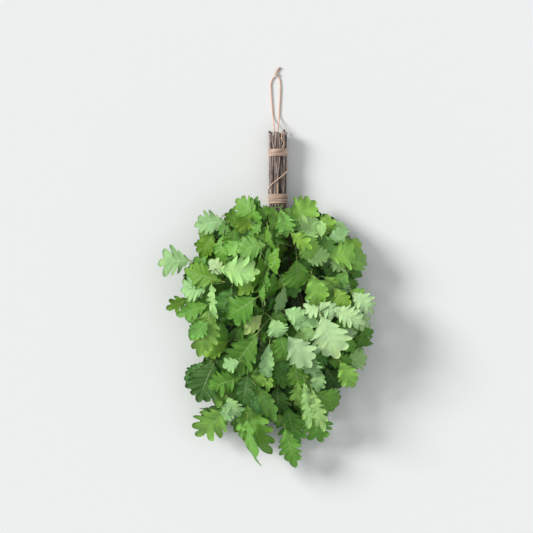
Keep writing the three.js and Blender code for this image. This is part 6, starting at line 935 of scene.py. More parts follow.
   ((-47.7, 8.3, 58), (0.316, -0.947, -0.063), (-0.031, -0.077, 0.997), 59.9, 34.9, 0.07, 0.12, 4, 0.2, "a", 134),
   ((-1.6, 84.2, 13.2), (-0.984, 0.177, -0.028), (-0.012, 0.091, 0.996), 61.9, 40, 0.01, 0.12, 4, 0.25, "c", 2140),
   ((0, 87.2, 8.3), (-0.865, 0.501, -0.012), (0.025, 0.066, 0.998), 47.5, 25.1, 0.03, 0.12, 5, 0.32, "b", 2141),
   ((9.5, 92.7, 2.7), (-0.995, 0.096, 0.019), (0.002, -0.179, 0.984), 47.5, 30, -0.04, 0.12, 4, 0.27, "g", 2142),
   ((-3.3, 105.7, 12.7), (0.523, -0.843, -0.125), (-0.052, -0.178, 0.983), 62, 38.4, 0.02, 0.12, 5, 0.33, "c", 2143),
   ((33.2, 100.9, 19.7), (0.392, -0.918, -0.051), (-0.106, -0.1, 0.989), 59.5, 39.4, -0.05, 0.12, 5, 0.31, "c", 2144),
   ((-21.6, 28.2, 23.5), (-0.113, -0.987, -0.111), (0.286, -0.139, 0.948), 71.6, 48.2, -0.04, 0.12, 4, 0.26, "p", 2182),
   ((-60.2, 1, 15.4), (-0.998, -0.06, 0.029), (0.041, -0.21, 0.977), 47.4, 24.6, -0.04, 0.12, 4, 0.33, "d", 2186),
   ((-0.2, 80, 10.7), (-0.881, -0.467, -0.07), (-0.24, 0.316, 0.918), 66, 41.4, -0.03, 0.12, 4, 0.31, "b", 2187),
   ((-46.4, 82.6, 16.9), (-0.501, -0.864, 0.049), (0.002, 0.056, 0.998), 47.5, 25.1, -0.03, 0.12, 5, 0.24, "d", 2188),
   ((-109.6, 67.4, 21.5), (0.202, -0.935, -0.29), (-0.206, -0.33, 0.921), 67.3, 38.9, -0.01, 0.12, 5, 0.22, "i", 2189),
   ((-71.6, 77.1, 22.9), (-0.543, -0.839, -0.027), (0.324, -0.238, 0.916), 64.5, 36.8, 0.07, 0.12, 4, 0.26, "b", 2190),
   ((-74.3, 47.8, 10.8), (-0.954, 0.242, -0.177), (-0.105, 0.284, 0.953), 48.2, 31.6, 0.05, 0.12, 4, 0.26, "g", 2191),
   ((-51.8, 38.2, 33.1), (-0.903, 0.429, -0.016), (0.087, 0.219, 0.972), 47.2, 25.6, 0.05, 0.12, 4, 0.23, "i", 2192),
   ((-12, 69.8, 26.8), (-0.569, -0.82, 0.06), (-0.043, 0.103, 0.994), 47.3, 29.6, -0.05, 0.12, 5, 0.24, "b", 2194),
   ((-81.5, -1.3, 22.2), (-0.976, -0.219, 0.008), (-0.027, 0.156, 0.987), 65.1, 40.9, -0.03, 0.12, 5, 0.32, "g", 2196),
   ((-70, 1.2, 43), (0.367, -0.928, -0.067), (-0.127, -0.121, 0.985), 55.7, 28.5, 0.07, 0.12, 4, 0.28, "p", 2242),
   ((-77.3, 13.9, 33.9), (-0.617, -0.774, 0.143), (-0.394, 0.462, 0.795), 71.3, 52.8, 0.07, 0.12, 4, 0.28, "a", 2269),
   ((-51.1, 51.8, 38.6), (-0.522, -0.834, -0.178), (0.037, -0.231, 0.972), 72.5, 36.3, 0.07, 0.12, 4, 0.28, "a", 2273),
   ((-30.9, 27, 32.1), (0.003, -0.998, -0.061), (0.24, -0.058, 0.969), 58, 35.9, 0.07, 0.12, 4, 0.28, "p", 2280),
   ((-40, 22.7, 46), (-0.522, -0.791, -0.319), (-0.409, -0.097, 0.908), 52.1, 32, 0.03, 0.1, 4, 0.27, "o", 1007),
   ((-14.8, 67.4, 31.5), (-0.717, -0.696, -0.038), (0.068, -0.124, 0.99), 66.4, 38.8, 0.06, 0.1, 4, 0.31, "a", 1010),
   ((-74, 52.7, 48.8), (-0.301, -0.897, -0.324), (0.036, -0.35, 0.936), 54.2, 33.3, 0.03, 0.1, 4, 0.29, "b", 1012),
   ((-29, 54.8, 29.3), (-0.929, -0.265, -0.259), (-0.184, -0.275, 0.944), 46.9, 30.4, 0, 0.1, 4, 0.28, "a", 1021),
   ((-22.4, 33, 37.4), (-0.908, -0.417, 0.032), (-0.012, 0.104, 0.995), 65.2, 34.8, 0, 0.1, 4, 0.33, "o", 1025),
   ((-47.1, 14.8, 23.1), (-0.059, -0.993, 0.099), (-0.071, 0.103, 0.992), 60.1, 33.7, 0.03, 0.1, 4, 0.28, "a", 1030),
   ((-14.1, 8.9, 22.6), (0.172, -0.97, -0.169), (0.441, -0.078, 0.894), 54.1, 34.5, 0.05, 0.1, 4, 0.28, "a", 1053),
   ((-53.3, 56.8, 18.8), (-0.837, -0.547, 0.04), (-0.087, 0.204, 0.975), 55.9, 32, 0.07, 0.1, 4, 0.3, "a", 1058),
   ((-81.1, 64.1, 19.4), (0.42, -0.907, 0.014), (-0.063, -0.014, 0.998), 52.3, 27.9, 0.03, 0.1, 4, 0.28, "b", 1062),
   ((-52.9, 50.1, 41.6), (-0.199, -0.98, 0.02), (-0.179, 0.056, 0.982), 55.9, 36.6, 0.02, 0.1, 4, 0.28, "b", 1087),
   ((-76.2, 81.6, 25.1), (-0.783, -0.587, -0.205), (-0.294, 0.06, 0.954), 48.3, 30.1, 0.01, 0.1, 4, 0.27, "c", 1090),
   ((-97.9, 44.5, 33.8), (-0.226, -0.969, -0.104), (0.09, -0.127, 0.988), 57.3, 34.3, 0, 0.1, 4, 0.27, "o", 1107),
   ((-79.7, 94.2, 6.1), (-0.47, -0.867, 0.166), (-0.106, 0.242, 0.964), 59.2, 34.2, -0.02, 0.1, 4, 0.31, "a", 1117),
   ((-71.2, 13.8, 37.7), (-0.114, -0.967, -0.229), (-0.299, -0.186, 0.936), 59.9, 37.2, 0.07, 0.1, 4, 0.31, "c", 1118),
   ((-30.5, 2.8, 25.3), (0.556, -0.821, -0.129), (-0.052, -0.189, 0.981), 63.8, 38.2, 0.07, 0.1, 4, 0.33, "b", 1131),
   ((-39, 69, 28.7), (-0.98, -0.153, 0.129), (0.098, 0.197, 0.975), 59.4, 33.5, 0.06, 0.1, 4, 0.29, "a", 1134),
   ((-95.5, 43.8, 34.9), (-0.276, -0.866, -0.418), (-0.13, -0.397, 0.909), 62.5, 36.7, 0.01, 0.1, 4, 0.3, "a", 1154),
   ((-66.4, 52.3, 15), (-0.503, -0.857, -0.108), (-0.406, 0.124, 0.906), 60, 34.9, 0.04, 0.1, 4, 0.24, "a", 1155),
   ((-36.8, 92.4, 28.8), (-0.007, -0.989, -0.148), (0.049, -0.149, 0.988), 55.9, 35.6, -0.01, 0.1, 4, 0.31, "c", 1158),
   ((-8.6, 48, 17.3), (-0.239, -0.97, 0.046), (0.015, 0.044, 0.999), 63.8, 40, 0.04, 0.1, 4, 0.27, "a", 1164),
   ((-3.3, 78.8, 17.7), (-0.316, -0.942, -0.109), (-0.276, -0.018, 0.961), 55.6, 36.1, 0.07, 0.1, 4, 0.31, "a", 1165),
   ((-46.6, 83.9, 7.5), (-0.771, -0.628, 0.109), (0.303, -0.21, 0.929), 57.5, 33.1, 0.08, 0.1, 4, 0.32, "a", 1174),
   ((0.4, 108, 29.5), (-0.24, -0.971, -0.004), (0.334, -0.087, 0.939), 56.1, 36.7, -0.01, 0.1, 4, 0.31, "a", 1183),
   ((-61.1, 36.4, 26.9), (-0.462, -0.874, -0.148), (-0.351, 0.027, 0.936), 54.8, 35.4, -0.01, 0.1, 4, 0.3, "a", 1203),
  ]),
 ("leaf_spray_19", [
   ((65, -37.9, 13.3), (65.6, -39.5, 13.4), 1.35, 1.25),
   ((65.5, -39.4, 13.4), (67.9, -48, 13.1), 1.25, 1.04),
   ((67.9, -48, 13.1), (76.7, -60.4, 20.3), 1.14, 0.98),
   ((76.7, -60.4, 20.3), (76.1, -77.6, 41), 1.08, 0.92),
   ((76.1, -77.6, 41), (60.1, -60.4, 57.3), 1.02, 0.86),
   ((76.1, -77.6, 41), (76.7, -106.7, 34.2), 1.02, 0.86),
   ((76.7, -106.7, 34.2), (66.7, -111, 53.6), 0.96, 0.85),
   ((76.7, -106.7, 34.2), (109.4, -99.6, 28.9), 0.96, 0.85),
   ((109.4, -99.6, 28.9), (101.8, -93.6, 7.8), 0.95, 0.85),
   ((101.8, -93.6, 7.8), (116.7, -78.2, 8.1), 0.95, 0.85),
   ((116.7, -78.2, 8.1), (144.6, -80.5, 7.4), 0.95, 0.85),
   ((116.7, -78.2, 8.1), (123.2, -59.9, 29.6), 0.95, 0.85),
   ((109.4, -99.6, 28.9), (123.4, -85.5, 32.7), 0.85, 0.7),
   ((109.4, -99.6, 28.9), (110, -99.6, 21), 0.85, 0.7),
   ((76.7, -60.4, 20.3), (86.5, -58.1, 11.1), 0.85, 0.7),
   ((76.1, -77.6, 41), (90.9, -67.1, 33.3), 0.85, 0.7),
   ((76.1, -77.6, 41), (85.9, -78.9, 43.3), 0.85, 0.7),
   ((123.2, -59.9, 29.6), (120.7, -63.3, 19.5), 0.85, 0.7),
   ((144.6, -80.5, 7.4), (145.5, -90.8, 15), 0.85, 0.7),
   ((76.7, -106.7, 34.2), (94.4, -113.3, 40.2), 0.85, 0.7),
   ((109.4, -99.6, 28.9), (141.1, -98.7, 45.8), 0.85, 0.7),
   ((123.2, -59.9, 29.6), (108.3, -43.6, 35.8), 0.85, 0.7),
   ((76.7, -106.7, 34.2), (61.7, -116.6, 14.2), 0.85, 0.7),
   ((76.7, -60.4, 20.3), (66.7, -48.9, 36.4), 0.85, 0.7),
  ], [
   ((60.1, -60.4, 57.3), (0.694, -0.694, -0.19), (0.273, 0.009, 0.962), 32.7, 30.2, 0.07, 0.12, 4, 0.2, "p", 133),
   ((109.4, -99.6, 28.9), (0.986, -0.168, -0.019), (0.022, 0.012, 1), 76, 40.4, -0.02, 0.12, 4, 0.3, "d", 2164),
   ((144.6, -80.5, 7.4), (0.77, -0.606, 0.2), (-0.379, -0.18, 0.908), 52.4, 32.9, -0.03, 0.12, 5, 0.24, "b", 2165),
   ((116.7, -78.2, 8.1), (0.354, -0.924, 0.142), (0.37, 0.278, 0.887), 47.9, 35.7, -0.04, 0.12, 5, 0.33, "c", 2166),
   ((123.2, -59.9, 29.6), (-0.984, 0.049, -0.17), (-0.177, -0.244, 0.953), 58.2, 30, 0.03, 0.12, 5, 0.23, "h", 2167),
   ((67.9, -48, 13.1), (-0.866, -0.499, 0.044), (0.008, 0.075, 0.997), 64.6, 41.2, 0.06, 0.12, 4, 0.27, "p", 2177),
   ((76.7, -60.4, 20.3), (0.855, -0.487, -0.179), (0.11, -0.166, 0.98), 48.1, 24.3, -0.01, 0.12, 4, 0.27, "b", 2233),
   ((101.8, -93.6, 7.8), (-0.639, -0.736, 0.224), (0.178, 0.142, 0.974), 57, 34.6, -0.04, 0.12, 5, 0.31, "p", 2237),
   ((66.7, -111, 53.6), (0.032, -0.998, -0.055), (0.082, -0.052, 0.995), 71, 39, 0.07, 0.12, 4, 0.28, "p", 2248),
   ((76.1, -77.6, 41), (0.065, -0.993, 0.1), (0.153, 0.109, 0.982), 58.6, 36.4, 0.07, 0.12, 4, 0.28, "p", 2255),
   ((76.7, -106.7, 34.2), (0.384, -0.913, 0.135), (0.228, 0.236, 0.945), 66.4, 39.6, 0.07, 0.12, 4, 0.28, "p", 2275),
   ((123.4, -85.5, 32.7), (-0.342, -0.934, 0.1), (0.288, -0.003, 0.958), 55.5, 30.4, 0.08, 0.1, 4, 0.34, "a", 1022),
   ((110, -99.6, 21), (0.583, -0.81, -0.066), (-0.011, -0.09, 0.996), 59.3, 38.4, 0.04, 0.1, 4, 0.25, "a", 1049),
   ((86.5, -58.1, 11.1), (0.541, -0.841, 0.025), (-0.162, -0.075, 0.984), 69, 37, 0.05, 0.1, 4, 0.33, "a", 1078),
   ((90.9, -67.1, 33.3), (-0.071, -0.995, 0.066), (-0.227, 0.08, 0.97), 49.1, 26.2, 0.05, 0.1, 4, 0.25, "a", 1099),
   ((85.9, -78.9, 43.3), (0.932, -0.355, -0.071), (0.043, -0.088, 0.995), 56.8, 32.8, 0, 0.1, 4, 0.29, "a", 1119),
   ((120.7, -63.3, 19.5), (0.697, -0.707, -0.119), (-0.036, -0.2, 0.979), 68.6, 40.5, 0.06, 0.1, 4, 0.3, "a", 1120),
   ((145.5, -90.8, 15), (0.524, -0.851, -0.025), (0.096, 0.03, 0.995), 53.8, 34.2, 0.01, 0.1, 4, 0.31, "a", 1135),
   ((94.4, -113.3, 40.2), (-0.171, -0.976, -0.135), (-0.086, -0.122, 0.989), 57.2, 30.8, 0.03, 0.1, 4, 0.26, "c", 1157),
   ((141.1, -98.7, 45.8), (0.217, -0.933, -0.288), (0.048, -0.285, 0.957), 49.3, 25.7, -0.02, 0.1, 4, 0.32, "o", 1160),
   ((108.3, -43.6, 35.8), (0.783, -0.54, -0.308), (0.18, -0.277, 0.944), 62.1, 35.3, 0.07, 0.1, 4, 0.25, "b", 1167),
   ((61.7, -116.6, 14.2), (0.548, -0.833, -0.077), (-0.106, -0.161, 0.981), 64.2, 37.2, 0.06, 0.1, 4, 0.27, "a", 1186),
   ((66.7, -48.9, 36.4), (-0.24, -0.97, 0.044), (0.161, 0.005, 0.987), 58.3, 38.4, 0.07, 0.1, 4, 0.33, "b", 1197),
  ]),
 ("leaf_spray_20", [
   ((-0.6, 23.7, 5.2), (-1.1, 22.1, 5.4), 1.35, 1.25),
   ((-1, 22.3, 5.4), (0.7, 13.4, 2.4), 1.25, 1.04),
   ((0.7, 13.4, 2.4), (13.6, 3.4, 21), 1.14, 0.98),
   ((13.6, 3.4, 21), (10, -11.7, 11.5), 1.08, 0.92),
   ((10, -11.7, 11.5), (11, -31.4, 19.7), 1.02, 0.86),
   ((10, -11.7, 11.5), (33.8, -14.1, 24.2), 1.02, 0.86),
   ((33.8, -14.1, 24.2), (41.3, -16.9, 28.5), 0.96, 0.85),
   ((33.8, -14.1, 24.2), (20.9, -17.6, 45.5), 0.96, 0.85),
   ((20.9, -17.6, 45.5), (27.9, -42.3, 53), 0.95, 0.85),
   ((27.9, -42.3, 53), (38.8, -49.5, 47.8), 0.95, 0.85),
   ((38.8, -49.5, 47.8), (49.7, -30.1, 57.4), 0.95, 0.85),
   ((41.3, -16.9, 28.5), (44.4, -41.5, 16.2), 0.95, 0.85),
   ((44.4, -41.5, 16.2), (33.4, -57.3, 21.4), 0.95, 0.85),
   ((33.4, -57.3, 21.4), (21, -67.9, 28.2), 0.95, 0.85),
   ((21, -67.9, 28.2), (5.7, -79.4, 4.9), 0.95, 0.85),
   ((0.7, 13.4, 2.4), (-14.7, -56.4, 9.5), 1.14, 0.98),
   ((38.8, -49.5, 47.8), (54.6, -56.4, 36), 0.85, 0.7),
   ((13.6, 3.4, 21), (12.7, 16.7, 19.2), 0.85, 0.7),
   ((33.4, -57.3, 21.4), (41.6, -53.6, 28.5), 0.85, 0.7),
   ((-14.7, -56.4, 9.5), (-16.2, -44, 26.5), 0.85, 0.7),
   ((11, -31.4, 19.7), (9.5, -51.7, 20.5), 0.85, 0.7),
   ((20.9, -17.6, 45.5), (11.8, -25.1, 68.5), 0.85, 0.7),
   ((33.4, -57.3, 21.4), (22.8, -52.7, 25), 0.85, 0.7),
   ((33.4, -57.3, 21.4), (53.6, -76.6, 19.2), 0.85, 0.7),
   ((20.9, -17.6, 45.5), (6.4, -4.9, 66), 0.85, 0.7),
  ], [
   ((38.8, -49.5, 47.8), (0.796, -0.587, -0.146), (0.065, -0.157, 0.985), 45.3, 37.3, 0.07, 0.12, 4, 0.25, "p", 58),
   ((27.9, -42.3, 53), (0.754, -0.646, -0.117), (0.093, -0.071, 0.993), 35.2, 30.6, 0.07, 0.12, 4, 0.2, "p", 132),
   ((33.8, -14.1, 24.2), (0.315, -0.947, -0.059), (-0.052, -0.079, 0.996), 47.3, 30.1, -0.05, 0.12, 4, 0.27, "p", 2160),
   ((33.4, -57.3, 21.4), (-0.515, -0.85, -0.107), (-0.04, -0.102, 0.994), 52.4, 29.6, 0.08, 0.12, 5, 0.22, "p", 2178),
   ((21, -67.9, 28.2), (0.997, 0.044, 0.069), (-0.067, -0.043, 0.997), 47.3, 27.6, -0.04, 0.12, 4, 0.26, "p", 2179),
   ((13.6, 3.4, 21), (-0.326, -0.944, 0.043), (0.265, -0.048, 0.963), 59.7, 41.6, 0.05, 0.12, 5, 0.29, "p", 2183),
   ((10, -11.7, 11.5), (-0.101, -0.991, -0.088), (-0.36, -0.046, 0.932), 62.4, 40.2, -0.03, 0.12, 4, 0.32, "p", 2184),
   ((11, -31.4, 19.7), (-0.86, -0.509, -0.036), (0.021, -0.107, 0.994), 47.3, 27, 0.06, 0.12, 5, 0.23, "p", 2185),
   ((-14.7, -56.4, 9.5), (-0.301, -0.951, -0.068), (0.002, -0.072, 0.997), 57, 38.3, 0.05, 0.12, 5, 0.26, "g", 2203),
   ((0.7, 13.4, 2.4), (-0.642, -0.74, 0.199), (0.111, 0.167, 0.98), 56.4, 35.1, 0.02, 0.12, 4, 0.26, "p", 2204),
   ((44.4, -41.5, 16.2), (0.706, -0.674, 0.219), (-0.351, -0.063, 0.934), 48.4, 32.2, 0.05, 0.12, 5, 0.33, "p", 2232),
   ((5.7, -79.4, 4.9), (-0.049, -0.964, 0.26), (0.169, 0.249, 0.954), 58.5, 31.2, 0.04, 0.12, 4, 0.22, "d", 2235),
   ((20.9, -17.6, 45.5), (0.206, -0.938, -0.279), (-0.33, -0.334, 0.883), 73.3, 46.6, 0.07, 0.12, 4, 0.28, "p", 2240),
   ((41.3, -16.9, 28.5), (0.392, -0.919, -0.051), (-0.307, -0.182, 0.934), 71.5, 41.3, 0.07, 0.12, 4, 0.28, "p", 2251),
   ((49.7, -30.1, 57.4), (0.261, -0.965, 0.039), (0.07, 0.059, 0.996), 69.8, 39, 0.07, 0.12, 4, 0.28, "p", 2267),
   ((54.6, -56.4, 36), (-0.113, -0.985, 0.132), (-0.072, 0.14, 0.988), 58.3, 38.2, 0.02, 0.1, 4, 0.3, "a", 1000),
   ((12.7, 16.7, 19.2), (0.166, -0.963, -0.212), (0.11, -0.195, 0.975), 69.2, 37, 0.03, 0.1, 4, 0.32, "a", 1008),
   ((41.6, -53.6, 28.5), (-0.241, -0.961, -0.138), (0.097, -0.166, 0.981), 65.2, 36.2, 0.04, 0.1, 4, 0.33, "b", 1085),
   ((-16.2, -44, 26.5), (0.311, -0.945, 0.101), (-0.041, 0.092, 0.995), 53.9, 34.3, 0.05, 0.1, 4, 0.27, "b", 1098),
   ((9.5, -51.7, 20.5), (-0.487, -0.868, -0.099), (0.012, -0.12, 0.993), 46.7, 30.2, 0.03, 0.1, 4, 0.25, "a", 1108),
   ((11.8, -25.1, 68.5), (-0.104, -0.982, -0.16), (-0.248, -0.13, 0.96), 49.9, 32.2, 0.04, 0.1, 4, 0.31, "a", 1123),
   ((22.8, -52.7, 25), (0.255, -0.915, -0.313), (0.439, -0.179, 0.88), 58.2, 33.7, 0.02, 0.1, 4, 0.33, "a", 1142),
   ((53.6, -76.6, 19.2), (0.043, -0.991, 0.125), (0.19, 0.131, 0.973), 61.3, 33.7, 0.05, 0.1, 4, 0.33, "b", 1179),
   ((6.4, -4.9, 66), (-0.602, -0.798, -0.038), (-0.197, 0.102, 0.975), 52.7, 29.8, 0.06, 0.1, 4, 0.28, "o", 1192),
  ]),
 ("leaf_spray_21", [
   ((91.1, -129.6, 19.1), (91.7, -131.2, 19.2), 1.35, 1.25),
   ((91.6, -131.1, 19.2), (94.1, -139.7, 19.1), 1.25, 1.04),
   ((94.1, -139.7, 19.1), (88.7, -146.8, 32.5), 1.14, 0.98),
   ((88.7, -146.8, 32.5), (84.4, -173.8, 27.8), 1.08, 0.92),
   ((84.4, -173.8, 27.8), (89, -182.2, 9.6), 1.02, 0.86),
   ((89, -182.2, 9.6), (88.3, -170.5, 4.2), 0.96, 0.85),
   ((89, -182.2, 9.6), (84.8, -194.2, 12.2), 0.96, 0.85),
   ((84.8, -194.2, 12.2), (82.4, -201, 26.9), 0.95, 0.85),
   ((82.4, -201, 26.9), (76.4, -195.2, 31.9), 0.95, 0.85),
   ((89, -182.2, 9.6), (112.5, -174.8, 15.9), 0.96, 0.85),
   ((112.5, -174.8, 15.9), (132.5, -178.3, 14.9), 0.95, 0.85),
   ((76.4, -195.2, 31.9), (99.9, -190.4, 50.8), 0.95, 0.85),
   ((88.7, -146.8, 32.5), (113.9, -141, 54.4), 1.08, 0.92),
   ((94.1, -139.7, 19.1), (129.4, -139.2, 20.9), 1.14, 0.98),
   ((129.4, -139.2, 20.9), (147.7, -126.3, 11.4), 1.08, 0.92),
   ((129.4, -139.2, 20.9), (115.9, -125.9, 34.7), 0.85, 0.7),
   ((129.4, -139.2, 20.9), (119.8, -131.4, 35.5), 0.85, 0.7),
   ((76.4, -195.2, 31.9), (63.9, -179, 49.6), 0.85, 0.7),
   ((113.9, -141, 54.4), (125.2, -162.7, 39), 0.85, 0.7),
   ((113.9, -141, 54.4), (127.6, -125.6, 49.1), 0.85, 0.7),
   ((84.4, -173.8, 27.8), (95.2, -174.2, 26.1), 0.85, 0.7),
   ((129.4, -139.2, 20.9), (127.1, -150.9, 24.2), 0.85, 0.7),
   ((88.7, -146.8, 32.5), (109.1, -147.7, 31.1), 0.85, 0.7),
   ((94.1, -139.7, 19.1), (100.2, -146.3, 21.1), 0.85, 0.7),
   ((82.4, -201, 26.9), (104.2, -217.8, 27.5), 0.85, 0.7),
  ], [
   ((99.9, -190.4, 50.8), (0.375, -0.916, -0.143), (0.219, -0.062, 0.974), 45.5, 33.3, 0.07, 0.12, 4, 0.24, "a", 53),
   ((94.1, -139.7, 19.1), (-0.019, -1, -0.003), (-0.026, -0.002, 1), 47.3, 26.9, 0.06, 0.12, 5, 0.26, "h", 2169),
   ((88.3, -170.5, 4.2), (0.587, -0.809, -0.015), (-0.168, -0.14, 0.976), 54.9, 35.3, 0.02, 0.12, 4, 0.29, "d", 2170),
   ((112.5, -174.8, 15.9), (0.873, 0.486, 0.043), (-0.039, -0.018, 0.999), 52.2, 27.8, 0, 0.12, 4, 0.34, "d", 2171),
   ((132.5, -178.3, 14.9), (0.953, 0.273, 0.128), (-0.18, 0.174, 0.968), 47.9, 30.9, -0.03, 0.12, 4, 0.28, "h", 2172),
   ((89, -182.2, 9.6), (0.554, -0.832, -0.039), (0.122, 0.035, 0.992), 54.7, 32.1, 0.03, 0.12, 4, 0.24, "h", 2173),
   ((82.4, -201, 26.9), (0.278, -0.955, -0.105), (0.338, -0.006, 0.941), 47.8, 25.4, 0.04, 0.12, 5, 0.29, "d", 2174),
   ((129.4, -139.2, 20.9), (0.994, -0.089, -0.066), (0.069, 0.036, 0.997), 47.5, 23.7, 0.04, 0.12, 4, 0.32, "b", 2175),
   ((147.7, -126.3, 11.4), (0.591, -0.797, -0.126), (0.43, 0.179, 0.885), 47.9, 33.3, -0.05, 0.12, 5, 0.28, "i", 2176),
   ((84.8, -194.2, 12.2), (0.144, -0.983, 0.117), (0.032, 0.123, 0.992), 80.6, 51.1, 0.01, 0.12, 4, 0.27, "h", 2230),
   ((84.4, -173.8, 27.8), (0.173, -0.98, 0.102), (-0.277, 0.051, 0.96), 47.5, 24.5, -0.01, 0.12, 4, 0.26, "i", 2231),
   ((113.9, -141, 54.4), (-0.528, -0.84, -0.126), (-0.27, 0.026, 0.962), 62.7, 36.7, 0.07, 0.12, 4, 0.28, "q", 2258),
   ((76.4, -195.2, 31.9), (0.209, -0.977, -0.046), (-0.205, -0.09, 0.975), 55.7, 34.3, 0.07, 0.12, 4, 0.28, "a", 2274),
   ((88.7, -146.8, 32.5), (0.119, -0.986, 0.119), (-0.362, 0.069, 0.93), 69.9, 38.9, 0.07, 0.12, 4, 0.28, "a", 2281),
   ((115.9, -125.9, 34.7), (0.345, -0.834, -0.431), (-0.002, -0.46, 0.888), 48.2, 30.3, 0.07, 0.1, 4, 0.34, "o", 1035),
   ((119.8, -131.4, 35.5), (0.613, -0.723, -0.32), (0.19, -0.258, 0.947), 56.9, 33, 0.07, 0.1, 4, 0.3, "c", 1043),
   ((63.9, -179, 49.6), (0.333, -0.918, -0.214), (0.221, -0.144, 0.965), 49.6, 30.8, 0.07, 0.1, 4, 0.33, "a", 1044),
   ((125.2, -162.7, 39), (0.291, -0.94, -0.178), (-0.019, -0.192, 0.981), 48.9, 26.1, 0.07, 0.1, 4, 0.26, "a", 1052),
   ((127.6, -125.6, 49.1), (-0.243, -0.97, -0.014), (-0.13, 0.019, 0.991), 64.5, 34.9, 0.07, 0.1, 4, 0.29, "a", 1059),
   ((95.2, -174.2, 26.1), (-0.701, -0.69, 0.18), (0.273, -0.027, 0.961), 68.1, 44.4, 0.03, 0.1, 4, 0.25, "a", 1097),
   ((127.1, -150.9, 24.2), (0.337, -0.923, -0.186), (0.122, -0.153, 0.981), 53.3, 30.3, -0.02, 0.1, 4, 0.3, "b", 1113),
   ((109.1, -147.7, 31.1), (0.119, -0.988, 0.095), (-0.28, 0.059, 0.958), 59.4, 31, 0.02, 0.1, 4, 0.24, "a", 1121),
   ((100.2, -146.3, 21.1), (0.266, -0.959, -0.097), (0.468, 0.04, 0.883), 60, 34.8, 0.05, 0.1, 4, 0.26, "a", 1129),
   ((104.2, -217.8, 27.5), (0.024, -0.99, -0.141), (-0.179, -0.143, 0.973), 59.2, 30.9, 0.08, 0.1, 4, 0.31, "b", 1182),
  ]),
 ("leaf_spray_22", [
   ((114.1, 19.6, 8), (115.4, 18.6, 8), 1.35, 1.25),
   ((115.3, 18.7, 8), (121.7, 12.4, 5.6), 1.25, 1.04),
   ((121.7, 12.4, 5.6), (131.7, 10.5, 14.4), 1.14, 0.98),
   ((131.7, 10.5, 14.4), (153.5, 1.2, 3.9), 1.08, 0.92),
   ((153.5, 1.2, 3.9), (144.1, -27.7, 14.6), 1.02, 0.86),
   ((144.1, -27.7, 14.6), (138.5, -44.3, 20.4), 0.96, 0.85),
   ((144.1, -27.7, 14.6), (123.2, -31, 8.4), 0.96, 0.85),
   ((144.1, -27.7, 14.6), (143.6, -17.5, 38.9), 0.96, 0.85),
   ((143.6, -17.5, 38.9), (147, -4.4, 50.1), 0.95, 0.85),
   ((123.2, -31, 8.4), (99.8, -23.3, 27.8), 0.95, 0.85),
   ((99.8, -23.3, 27.8), (94.2, -47.3, 36.6), 0.85, 0.7),
   ((99.8, -23.3, 27.8), (99.1, -24.1, 14.8), 0.85, 0.7),
   ((143.6, -17.5, 38.9), (142.9, -29.5, 33.1), 0.85, 0.7),
   ((131.7, 10.5, 14.4), (124.5, -7.3, 26.3), 0.85, 0.7),
   ((99.8, -23.3, 27.8), (94.6, -22.4, 38.4), 0.85, 0.7),
  ], [
   ((147, -4.4, 50.1), (0.821, -0.411, -0.396), (0.359, -0.167, 0.918), 32.4, 19.7, 0.07, 0.12, 3, 0.2, "b", 26),
   ((143.6, -17.5, 38.9), (0.534, -0.83, 0.161), (0.252, 0.338, 0.907), 32, 28.5, 0.07, 0.12, 3, 0.25, "b", 27),
   ((99.8, -23.3, 27.8), (0.868, -0.489, -0.091), (0.187, 0.152, 0.97), 47.4, 29.1, 0.04, 0.12, 4, 0.27, "b", 2156),
   ((153.5, 1.2, 3.9), (-0.569, -0.805, 0.167), (0.168, 0.085, 0.982), 48.1, 30.9, -0.02, 0.12, 4, 0.25, "i", 2157),
   ((131.7, 10.5, 14.4), (0.576, -0.816, -0.049), (-0.242, -0.227, 0.943), 47.4, 28.5, 0.06, 0.12, 4, 0.31, "g", 2158),
   ((144.1, -27.7, 14.6), (0.408, -0.912, 0.038), (-0.537, -0.206, 0.818), 47.4, 37.3, 0.06, 0.12, 5, 0.33, "h", 2159),
   ((123.2, -31, 8.4), (0.794, -0.599, -0.105), (0.086, -0.061, 0.994), 58.9, 30.6, 0.01, 0.12, 5, 0.29, "d", 2162),
   ((138.5, -44.3, 20.4), (0.612, -0.791, 0.013), (-0.374, -0.276, 0.885), 47.3, 36.3, -0.02, 0.12, 5, 0.27, "h", 2163),
   ((121.7, 12.4, 5.6), (0.015, -0.999, 0.029), (0.064, 0.03, 0.997), 47.6, 31, -0.03, 0.12, 4, 0.28, "c", 2236),
   ((94.2, -47.3, 36.6), (0.709, -0.706, 0.001), (-0.157, -0.156, 0.975), 48.3, 31.8, 0.06, 0.1, 4, 0.33, "b", 1042),
   ((99.1, -24.1, 14.8), (-0.214, -0.975, 0.06), (0.541, -0.067, 0.839), 52.1, 32.5, -0.02, 0.1, 4, 0.27, "a", 1055),
   ((142.9, -29.5, 33.1), (-0.055, -0.982, -0.181), (-0.077, -0.176, 0.981), 63.8, 41.4, 0.08, 0.1, 4, 0.33, "a", 1100),
   ((124.5, -7.3, 26.3), (0.568, -0.785, -0.246), (-0.019, -0.311, 0.95), 52.6, 34.7, 0.05, 0.1, 4, 0.32, "o", 1146),
   ((94.6, -22.4, 38.4), (-0.612, -0.784, -0.101), (-0.01, -0.121, 0.993), 64, 38.3, -0.02, 0.1, 4, 0.28, "b", 1207),
  ]),
 ("leaf_spray_23", [
   ((65.5, 62, 24.5), (66.7, 60.8, 24.7), 1.35, 1.25),
   ((66.6, 60.9, 24.7), (72.6, 54.3, 25.3), 1.25, 1.04),
   ((72.6, 54.3, 25.3), (98.4, 56, 17.4), 1.14, 0.98),
   ((98.4, 56, 17.4), (106.8, 55.1, 5.4), 1.08, 0.92),
   ((106.8, 55.1, 5.4), (113.4, 56.6, 12.2), 1.02, 0.86),
